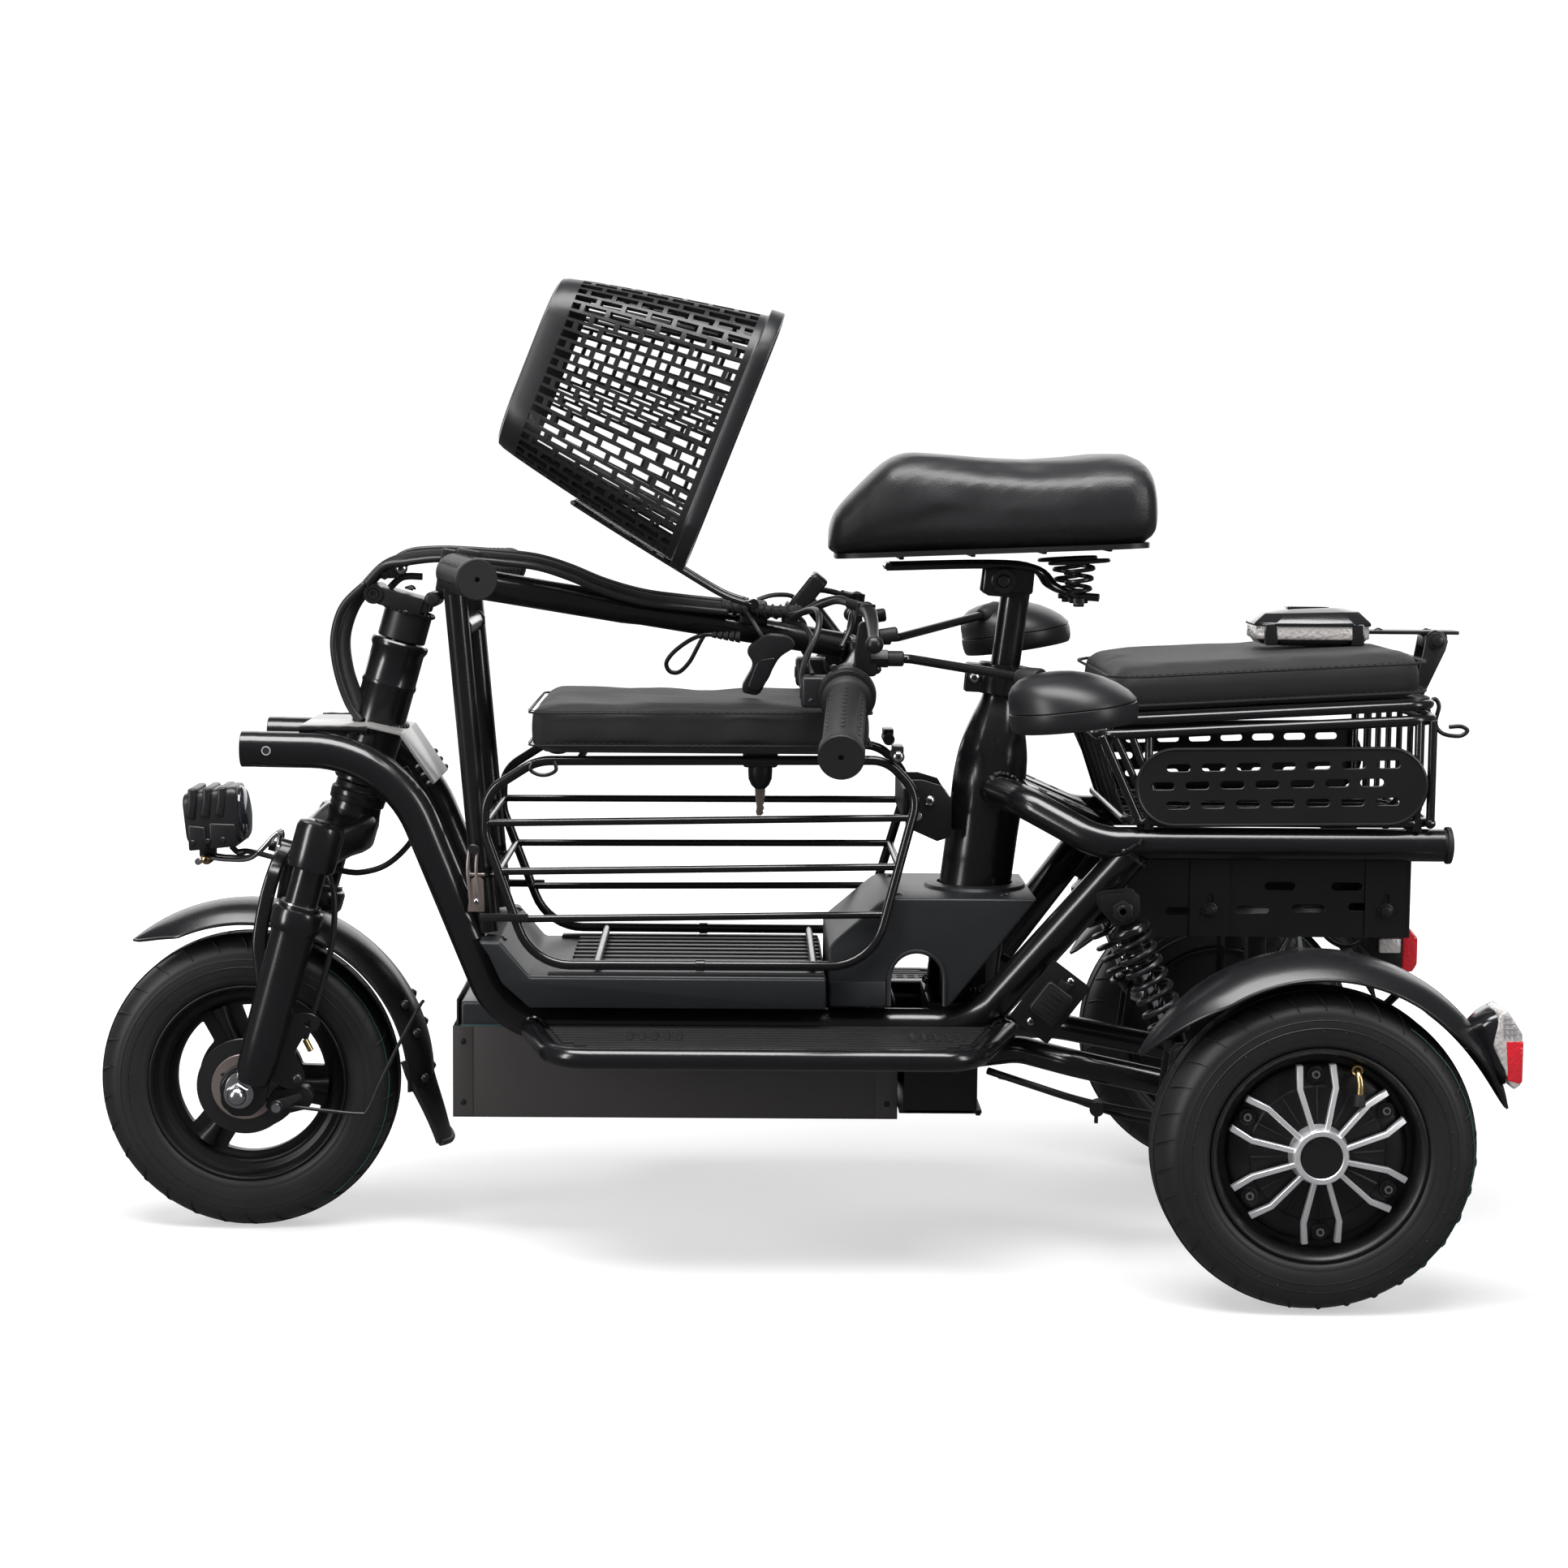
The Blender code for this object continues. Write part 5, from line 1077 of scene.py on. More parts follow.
def make_rear_cushion():
    tilt = about(LID_HINGE, -LID_TILT)
    base = ((0.4572, 0.124, 0.122), (0.4605, 0.1285, 0.1275), (0.47, 0.1295, 0.1285),
            (0.483, 0.1285, 0.1275), (0.4895, 0.121, 0.12))
    solid = pad_layers(0.4005, base, 0.024)
    made = inflated("rear_cushion_shown", solid, 0.004)

    def settle(point):
        x, y, z = point
        edge = max(abs(x - 0.4005) / 0.133, abs(y) / 0.132)
        crown = 0.003 * (1 - edge ** 3) if z > 0.478 else 0
        wrinkle = 0.0009 * sin(43 * x + 25 * y) * sin(37 * y) + 0.0005 * sin(120 * x)
        z = min(z + crown + wrinkle * max(0, (z - 0.475) / 0.015), 0.4945)
        x = max(0.2665, min(0.5345, x))
        y = max(-0.134, min(0.134, y))
        return tilt @ Vector((x, y, max(0.4562, z)))

    dress(made, "cloth", "lid", "rear_cushion", settle)
    outline = rounded(0.1305, 0.1295, 0.025, 8, (0.4005, 0))
    piping("rear_cushion_seam_top", "lid", outline, 0.485, 0.0012, tilt)
    piping("rear_cushion_seam_low", "lid", outline, 0.4615, 0.001, tilt)


def saddle_section(x, top, half, low):
    """One upright slice: flat below, a rolled skirt, upright sides and a crowned top."""
    points, count = [], 28
    middle, rise = (low + top) / 2, (top - low) / 2
    for k in range(count):
        c, s = cos(2 * pi * k / count), sin(2 * pi * k / count)
        y = half * abs(c) ** 0.62 * (1 if c > 0 else -1)
        z = middle + rise * (s ** 0.7 if s > 0 else -(abs(s) ** 0.45))
        points.append(Vector((x, y, z)))
    return points


def make_saddle():
    stations = ((0.0402, 0.596, 0.01), (0.0405, 0.603, 0.022), (0.043, 0.6125, 0.031), (0.05, 0.623, 0.038),
                (0.0615, 0.6345, 0.044), (0.076, 0.649, 0.049), (0.088, 0.6592, 0.053),
                (0.098, 0.6635, 0.0555), (0.11, 0.6655, 0.058), (0.135, 0.664, 0.064),
                (0.172, 0.6612, 0.074), (0.206, 0.66, 0.084), (0.24, 0.6625, 0.094), (0.269, 0.666, 0.1),
                (0.29, 0.6655, 0.1), (0.302, 0.662, 0.096), (0.309, 0.653, 0.09), (0.3115, 0.638, 0.08),
                (0.3125, 0.62, 0.066), (0.311, 0.606, 0.05))
    sections = []
    for x, top, half in stations:
        low = 0.5795 + (x - 0.04) * 0.046 + (0.003 if x < 0.045 else 0)
        if x > 0.305:
            low += 0.004
        sections.append(saddle_section(x, top, half, low))
    mesh_form = loft(sections)
    made = inflated("saddle_shown", mesh_form, 0.0025, 0.0045, 3.0)
    low, high = (Vector(c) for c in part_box("saddle"))

    def settle(point):
        x, y, z = point
        skirt = 0.5775 + (x - 0.04) * 0.048 + 0.0135
        if abs(z - skirt) < 0.0022 and abs(y) > 0.01:
            y *= 1 - 0.01 * (1 - abs(z - skirt) / 0.0022)
        return Vector((max(low.x - 0.001, min(high.x + 0.002, x)),
                       max(low.y - 0.001, min(high.y + 0.001, y)), max(low.z, min(high.z + 0.001, z))))

    dress(made, "vinyl", "seat", "saddle", settle)
    under = Piece("saddle_base", "seat", "plastic")
    rows = []
    for lift in (0.0006, 0.005):
        left, right = [], []
        for x, top, half in stations[1:-1]:
            z = 0.577 + (x - 0.04) * 0.047 + lift
            left.append(Vector((x * 0.955 + 0.0079, -half * 0.88, z)))
            right.append(Vector((x * 0.955 + 0.0079, half * 0.88, z)))
        rows.append(left + right[::-1])
    under.add(loft(rows))
    for x in (0.1, 0.16, 0.22, 0.275):
        z = 0.5748 + (x - 0.04) * 0.047
        under.add(block((x, -0.035, z), (x + 0.004, 0.035, z + 0.004), 0.0008))
    under.done()


def coil(top, foot, radius, wire, turns, steps=18, flare=0.0):
    """A spring's wire; flare is how much wider its top is than its middle."""
    top, foot = Vector(top), Vector(foot)
    matrix = placed(foot, top - foot)
    length = (top - foot).length
    count = int(turns * steps)
    path = []
    for k in range(count + 1):
        t = k / count
        a = 2 * pi * turns * t
        size = radius + flare * (2 * t - 1)
        path.append(matrix @ Vector((size * cos(a), size * sin(a), length * t)))
    return tube(path, wire, 10)


def make_seat_post():
    piece = Piece("seat_post_shown", "seat")
    piece.add(rod(on_seat(0.335), on_seat(0.566), 0.0125, 40, 0.001))
    cheek = [(0.172, 0.551), (0.176, 0.5475), (0.206, 0.5455), (0.214, 0.55), (0.216, 0.5735),
             (0.19, 0.5745), (0.174, 0.57)]
    for side in (-1, 1):
        piece.add(slab(cheek, side * 0.018 - 0.0024, side * 0.018 + 0.0024, bevel=0.0012))
        piece.bolt((0.189, side * 0.0204, 0.56), Y * side, 0.0105, 0.0042, "flat", "black_steel")
        piece.bolt((0.189, side * 0.022, 0.56), Y * side, 0.0055, 0.0055, "hex", "black_steel")
        y = side * 0.02
        path = [(0.09, y, 0.5712), (0.205, y, 0.5728), (0.232, side * 0.036, 0.556),
                (0.246, side * 0.047, 0.55), (0.266, side * 0.054, 0.548)]
        piece.add(tube(smooth(path, 8), 0.0034, 16))
        base = Vector((0.25, side * 0.046, 0.0))
        piece.add(coil(base + Z * 0.576, base + Z * 0.547, 0.0105, 0.0019, 3.4, 18, 0.002), "black_steel")
        ring = [base + Vector((0.0245 * cos(2 * pi * k / 40), 0.0175 * sin(2 * pi * k / 40),
                               0.5775 + 0.0015 * cos(2 * pi * k / 40))) for k in range(40)]
        piece.add(tube(ring, 0.0017, 10, closed=True), "black_steel")
        piece.add(lathe([(0, 0), (0.0078, 0), (0.0078, 0.004), (0.0045, 0.005), (0.0045, 0.009),
                         (0, 0.009)], base + Z * 0.543, Z, 24), "black_steel")
        piece.bolt(base + Z * 0.5435, -Z, 0.005, 0.0035, "hex", "black_steel")
    piece.add(rod((0.189, -0.016, 0.56), (0.189, 0.016, 0.56), 0.013, 32))
    piece.add(block((0.188, -0.0165, 0.551), (0.214, 0.0165, 0.572), 0.002))
    piece.add(rod((0.092, -0.024, 0.5715), (0.092, 0.024, 0.5715), 0.0034, 16))
    piece.done(["seat_post"])


# --- Rear rack, basket, lid, lamp -------------------------------------------------------------
def make_rack():
    piece = Piece("rack_box_shown", "frame", "satin")
    outline = [(0.289, 0.27), (0.524, 0.27), (0.524, 0.3345), (0.289, 0.3345)]
    slots = [oblong((x, 0.3125), 0.013, 0.0034) for x in (0.4155, 0.471)]
    slots += [oblong((x, z), 0.0138, 0.0033) for x, z in ((0.3345, 0.291), (0.393, 0.2925), (0.4395, 0.294),
                                                          (0.4865, 0.2955))]
    for side in (-1, 1):
        piece.add(slab(outline, side * 0.0992 - 0.0008, side * 0.0992 + 0.0008, bevel=0.0003, holes=slots))
    ends = [oblong((y, z), 0.0075, 0.0028) for z in (0.315, 0.293)
            for y in (-0.075, -0.045, -0.015, 0.015, 0.045, 0.075)]
    face = [(-0.0992, 0.27), (0.0992, 0.27), (0.0992, 0.3345), (-0.0992, 0.3345)]
    for x in (0.2898, 0.5232):
        piece.add(slab(face, x - 0.0008, x + 0.0008, "X", 0.0003, ends))
    floor_slots = [oblong((x, y), 0.014, 0.003) for x in (0.33, 0.38, 0.43, 0.48)
                   for y in (-0.06, -0.02, 0.02, 0.06)]
    flat = [(0.289, -0.0992), (0.524, -0.0992), (0.524, 0.0992), (0.289, 0.0992)]
    piece.add(slab(flat, 0.27, 0.2716, "Z", 0.0003, floor_slots))
    for side in (-1, 1):
        for x in (0.357, 0.503):
            strap = [(x - 0.0165, 0.2705), (x + 0.0165, 0.2705), (x + 0.0165, 0.338), (x - 0.0165, 0.338)]
            hole = [oblong((x, 0.2985), 0.0085, 0.0032, 90)]
            piece.add(slab(strap, side * 0.1008 - 0.0009, side * 0.1008 + 0.0009, bevel=0.0003, holes=hole))
            piece.bolt((x, side * 0.1015, 0.2925), Y * side, 0.0066, 0.0012, "flat", "black_steel")
            piece.bolt((x, side * 0.1025, 0.2925), Y * side, 0.0048, 0.004, "hex", "black_steel")
    for y in (-0.06, 0.06):
        piece.add(block((0.395, y - 0.012, 0.236), (0.41, y + 0.012, 0.2705), 0.001), "satin")
    piece.done(["rack_box"])


def make_brake_lamp():
    piece = Piece("brake_lamp_shown", "frame", "plastic")
    shell = [(0.508, 0.2685), (0.532, 0.2685), (0.5335, 0.2665), (0.5335, 0.233), (0.52, 0.231),
             (0.508, 0.245)]
    piece.add(slab(shell, -0.037, 0.037, bevel=0.0018))
    lens = [(0.5325, 0.269), (0.538, 0.269), (0.5455, 0.26), (0.5455, 0.2375), (0.5415, 0.231),
            (0.5325, 0.231)]
    piece.add(slab(lens, -0.038, 0.038, bevel=0.0016, segments=3), "red")
    for k in range(11):
        y = -0.03 + 0.006 * k
        piece.add(block((0.545, y, 0.2385), (0.5462, y + 0.0036, 0.259), 0.0005), "red")
    for side in (-1, 1):
        piece.add(block((0.512, side * 0.04 - 0.003, 0.248), (0.53, side * 0.04 + 0.003, 0.26), 0.001),
                  "clear")
        piece.add(block((0.5, side * 0.028 - 0.006, 0.262), (0.514, side * 0.028 + 0.006, 0.271), 0.001),
                  "satin")
    piece.add(tube(smooth([(0.512, 0.012, 0.25), (0.495, 0.02, 0.243), (0.478, 0.018, 0.252),
                           (0.47, 0.01, 0.268)], 8), 0.0018, 10), "wire")
    piece.done(["brake_lamp"])


def ring_of(front, rear, half, front_z, rear_z, radius):
    """A closed rectangular hoop of rod that may slope from front to rear."""
    slope = (rear_z - front_z) / (rear - front)
    corners = [Vector((x, y, front_z + (x - front) * slope))
               for x, y in ((front, -half), (rear, -half), (rear, half), (front, half))]
    return tube(ring_path(corners, (0.02,) * 4), radius, 16, closed=True)


def make_rear_basket():
    piece = Piece("rear_basket_shown", "frame")
    half = 0.128
    piece.add(ring_of(0.26, 0.534, half, 0.439, 0.454, 0.0045))
    piece.add(ring_of(0.284, 0.532, half, 0.369, 0.369, 0.004))
    for side in (-1, 1):
        y = side * half
        for foot_x, rim_x, rim_z, radius in ((0.532, 0.532, 0.4535, 0.0036), (0.294, 0.262, 0.4392, 0.0036),
                                             (0.306, 0.272, 0.4395, 0.003), (0.314, 0.286, 0.44, 0.003)):
            piece.add(rod((foot_x, y, 0.369), (rim_x, y, rim_z), radius, 16))
            piece.add(ball((foot_x, y, 0.369), radius * 1.25, 10))
        for x, z in ((0.3005, 0.441), (0.5205, 0.453)):
            piece.add(tube(round_path([(x, y, 0.362), (x, y, 0.372), (x, y * 1.01, 0.4), (x, y, z)],
                                      (0.006, 0.02), 5), 0.0034, 14, soft=0.001))
        rows = ((0.4135, 0.0, 7), (0.3985, -0.013, 7), (0.383, 0.0, 7))
        holes = [oblong((0.3245 + shift + 0.0285 * k, z + 0.0007 * k), 0.0098, 0.003, 1.4)
                 for z, shift, count in rows for k in range(count)]
        plate = arc((0.496, 0.3995), 0.031, -88, 92, 18) + arc((0.322, 0.3975), 0.031, 92, 272, 18)
        piece.add(slab(plate, side * 0.132 - 0.0012, side * 0.132 + 0.0012, bevel=0.0005, holes=holes),
                  "satin")
        rim = [Vector((a, side * 0.1322, b)) for a, b in plate]
        piece.add(tube(rim, 0.0017, 8, closed=True), "satin")
    for y in (-0.096, -0.064, -0.032, 0.0, 0.032, 0.064, 0.096):
        piece.add(rod((0.284, y, 0.369), (0.532, y, 0.369), 0.0026, 12))
    for y in (-0.085, -0.0425, 0.0, 0.0425, 0.085):
        piece.add(tube(round_path([(0.5325, y, 0.4535), (0.5325, y, 0.369), (0.4, y, 0.369)], (0.01,), 5),
                       0.0026, 12))
        piece.add(tube(round_path([(0.2615, y, 0.4395), (0.285, y, 0.369), (0.4, y, 0.369)], (0.01,), 5),
                       0.0026, 12))
    piece.done(["rear_basket"])
    loop = Piece("rear_wire_latch", "frame", "black_steel")
    path = [(0.542, -0.06, 0.456), (0.5475, -0.06, 0.466), (0.552, -0.06, 0.46), (0.5495, -0.06, 0.4455),
            (0.556, -0.06, 0.437), (0.57, -0.06, 0.435), (0.5765, -0.06, 0.4395), (0.571, -0.06, 0.443),
            (0.561, -0.06, 0.4425)]
    loop.add(tube(smooth(path, 8), 0.0018, 12, soft=0.0005))
    loop.add(rod((0.538, -0.066, 0.4555), (0.538, -0.054, 0.4555), 0.0062, 18))
    loop.done()


def make_lid():
    tilt = about(LID_HINGE, -LID_TILT)
    piece = Piece("lid_board_shown", "lid", "satin")
    piece.add(slab(rounded(0.132, 0.126, 0.02, 8, (0.402, 0)), 0.4528, 0.4556, "Z", 0.0008), None, tilt)
    ring = ring_of(0.272, 0.533, 0.1265, 0.45, 0.45, 0.0042)
    piece.add(ring, "paint", tilt)
    for x in (0.33, 0.402, 0.474):
        piece.add(rod((x, -0.126, 0.4505), (x, 0.126, 0.4505), 0.003, 14), "paint", tilt)
    piece.add(rod(LID_HINGE - Y * 0.031, LID_HINGE + Y * 0.031, 0.004, 24))
    piece.add(block((0.256, -0.028, 0.4485), (0.275, 0.028, 0.4545), 0.001), None, tilt)
    for side in (-1, 1):
        piece.bolt(LID_HINGE + Y * side * 0.03, Y * side, 0.0052, 0.003, "hex", "black_steel")
    piece.add(block((0.53, -0.02, 0.4525), (0.546, 0.02, 0.4552), 0.0008), None, tilt)
    post = [(0.54, 0.46), (0.5465, 0.461), (0.566, 0.504), (0.568, 0.512), (0.564, 0.5195), (0.556, 0.5215),
            (0.55, 0.518), (0.542, 0.47)]
    for side in (-1, 1):
        piece.add(slab(post, side * 0.0165 - 0.0015, side * 0.0165 + 0.0015, bevel=0.0006))
        piece.bolt((0.558, side * 0.0178, 0.512), Y * side, 0.0072, 0.0018, "flat", "black_steel")
        piece.bolt((0.558, side * 0.019, 0.512), Y * side, 0.005, 0.0042, "hex", "black_steel")
    piece.add(block((0.5405, -0.018, 0.46), (0.546, 0.018, 0.474), 0.0012))
    piece.done(["lid_board"])


def make_lamp():
    piece = Piece("lamp_arm_shown", "lamp", "gloss")

    def ring(half_x, half_y, z, cut, lean=0.0):
        points = [(1, -1 + cut), (1, 1 - cut), (1 - cut, 1), (-1 + cut, 1), (-1, 1 - cut), (-1, -1 + cut),
                  (-1 + cut, -1), (1 - cut, -1)]
        return [Vector((0.4515 + half_x * a, half_y * b, z + lean * a)) for a, b in points]

    body = [ring(0.036, 0.026, 0.5075, 0.38), ring(0.043, 0.03, 0.509, 0.36),
            ring(0.047, 0.0335, 0.5135, 0.33)]
    piece.add(bevelled(loft(body), 0.0012, 2, 20))
    band = [ring(0.0478, 0.0336, 0.513, 0.33), ring(0.0484, 0.034, 0.5148, 0.33),
            ring(0.0478, 0.0336, 0.5248, 0.33)]
    piece.add(bevelled(loft(band), 0.0007, 2, 20), "clear")
    top = [ring(0.0496, 0.0348, 0.524, 0.33), ring(0.0496, 0.0348, 0.5268, 0.33),
           ring(0.04, 0.027, 0.5355, 0.36, 0.001), ring(0.025, 0.016, 0.5388, 0.4, 0.001)]
    piece.add(bevelled(loft(top), 0.001, 2, 14))
    for side in (-1, 1):
        for x in (0.415, 0.488):
            piece.add(block((x - 0.0055, side * 0.03 - 0.0045, 0.508),
                            (x + 0.0055, side * 0.03 + 0.0045, 0.5262), 0.0018))
    piece.add(slab(rounded(0.018, 0.011, 0.004, 4, (0.45, 0)), 0.5384, 0.5402, "Z", 0.0008), "glass")
    piece.add(slab(rounded(0.0425, 0.0128, 0.003, 4, (0.5365, 0)), 0.5172, 0.5202, "Z", 0.0008), "satin")
    piece.add(block((0.548, -0.0128, 0.506), (0.569, 0.0128, 0.518), 0.003, 3), "satin")
    piece.bolt((0.512, 0, 0.52), Z, 0.0042, 0.002, "dome", "black_steel")
    piece.done(["lamp_arm"])


# --- Fork and front wheel ---------------------------------------------------------------------
def make_fork():
    crown = Piece("fork_crown_shown", "steering")
    crown.add(rod(on_head(-0.03), on_head(0.148), 0.0135, 36))
    hub = [(0, 0), (0.0185, 0), (0.0215, 0.003), (0.024, 0.012), (0.0225, 0.02), (0.0215, 0.03),
           (0.024, 0.033), (0.024, 0.04), (0, 0.04)]
    crown.add(lathe(soften(hub, 0.0025), on_head(-0.047), STEER_UP, 48))
    crown.add(lathe(soften([(0, 0), (0.0235, 0), (0.024, 0.01), (0.0215, 0.012), (0.0215, 0.0175),
                            (0, 0.0175)], 0.0012), on_head(-0.0185), STEER_UP, 48), "satin")
    sections = []
    for share, ahead, half_ahead, high, half_high in ((-1.0, 0.016, 0.0185, -0.053, 0.019),
                                                      (-0.8, 0.013, 0.02, -0.05, 0.018),
                                                      (-0.5, 0.008, 0.023, -0.045, 0.0165),
                                                      (-0.25, 0.003, 0.025, -0.041, 0.0175),
                                                      (0, 0.002, 0.0255, -0.04, 0.018),
                                                      (0.25, 0.003, 0.025, -0.041, 0.0175),
                                                      (0.5, 0.008, 0.023, -0.045, 0.0165),
                                                      (0.8, 0.013, 0.02, -0.05, 0.018),
                                                      (1.0, 0.016, 0.0185, -0.053, 0.019)):
        outline = rounded(half_ahead, half_high, 0.01, 5, (ahead, high))
        sections.append([STEER_FRAME @ Vector((a, share * LEG_HALF, b)) for a, b in outline])
    crown.add(loft(sections))
    clamp = [(0.014, 0), (0.0188, 0), (0.02, 0.0015), (0.0205, 0.006), (0.0205, 0.034), (0.019, 0.0385),
             (0.012, 0.0405), (0, 0.0405)]
    for side in (-1, 1):
        foot = on_head(-0.0735, 0.016, side * LEG_HALF)
        crown.add(lathe(clamp[:-1] + [(0.0, 0.0405), (0.0, 0.01), (0.014, 0.01)], foot, STEER_UP, 40))
        y = side * LEG_HALF
        crown.add(rod(on_head(-0.165, 0.016, y), on_head(-0.05, 0.016, y), 0.014, 36))
        crown.add(lathe([(0, 0), (0.007, 0), (0.007, 0.0015), (0, 0.0015)],
                        on_head(-0.0335, 0.016, side * LEG_HALF), STEER_UP, 20), "satin")
        crown.bolt(on_head(-0.063, -0.001, side * 0.0565), -STEER_FORWARD, 0.0042, 0.003, "dome",
                   "black_steel")
    crown.done(["fork_crown"])

    base = Piece("fold_base_shown", "steering", "satin")
    base.add(lathe([(0.0139, 0.126), (0.0195, 0.126), (0.0205, 0.127), (0.0205, 0.152), (0.0139, 0.152)],
                   HEAD_FOOT, STEER_UP, 48))
    base.weld(on_head(0.1515), STEER_UP, 0.0208, 0.002)
    outline = [(-0.0115, 0.1512), (0.0255, 0.1512), (0.027, 0.153), (0.027, 0.1645), (0.0255, 0.1658),
               (-0.0115, 0.1658)]
    plate = loft([[Vector((a, y, b)) for a, b in outline] for y in (-0.0225, 0.0225)])
    base.add(bevelled(plate, 0.0012), None, STEER_FRAME)
    base.add(rod(on_head(0.1586, 0.0305, -0.0225), on_head(0.1586, 0.0305, 0.0225), 0.0085, 32))
    for side in (-1, 1):
        base.add(lathe([(0.005, 0), (0.0082, 0), (0.0085, 0.001), (0.008, 0.0022), (0.005, 0.0022)],
                       on_head(0.1586, 0.0305, side * 0.022), Y * side, 28))
        base.bolt(on_head(0.1586, 0.0305, side * 0.0222), Y * side, 0.0046, 0.0014, "flat", "black_steel")
        low, high = sorted((side * 0.0085, side * 0.0205))
        base.add(rod(FOLD_PIVOT + Y * low, FOLD_PIVOT + Y * high, 0.0065, 28))
        base.add(bevelled(loft([[Vector((a, b, c)) for a, b in ((-0.0175, low), (-0.01, low), (-0.01, high),
                (-0.0175, high))] for c in (0.1545, 0.1655)]), 0.001), None, STEER_FRAME)
        base.bolt(FOLD_PIVOT + Y * side * 0.0205, Y * side, 0.0056, 0.0032, "hex", "black_steel")
        base.bolt(on_head(0.1705, 0.004, side * 0.0105), STEER_UP, 0.0038, 0.002, "dome", "black_steel")
    latch = [on_head(0.1662, 0.02, 0), on_head(0.178, 0.012, 0), on_head(0.183, -0.004, 0)]
    base.add(tube(smooth([p - Y * 0.007 for p in latch], 5), 0.003, 12), "black_steel")
    base.add(slab([(-0.3375, 0.5575), (-0.3225, 0.558), (-0.312, 0.57), (-0.315, 0.58), (-0.327, 0.569)],
                  -0.015, -0.011, bevel=0.0008), "black_steel")
    base.bolt((-0.3195, -0.015, 0.5665), -Y, 0.0055, 0.004)
    base.bolt((-0.333, -0.015, 0.56), -Y, 0.0035, 0.004, "hex", "black_steel")
    base.done(["fold_base"])


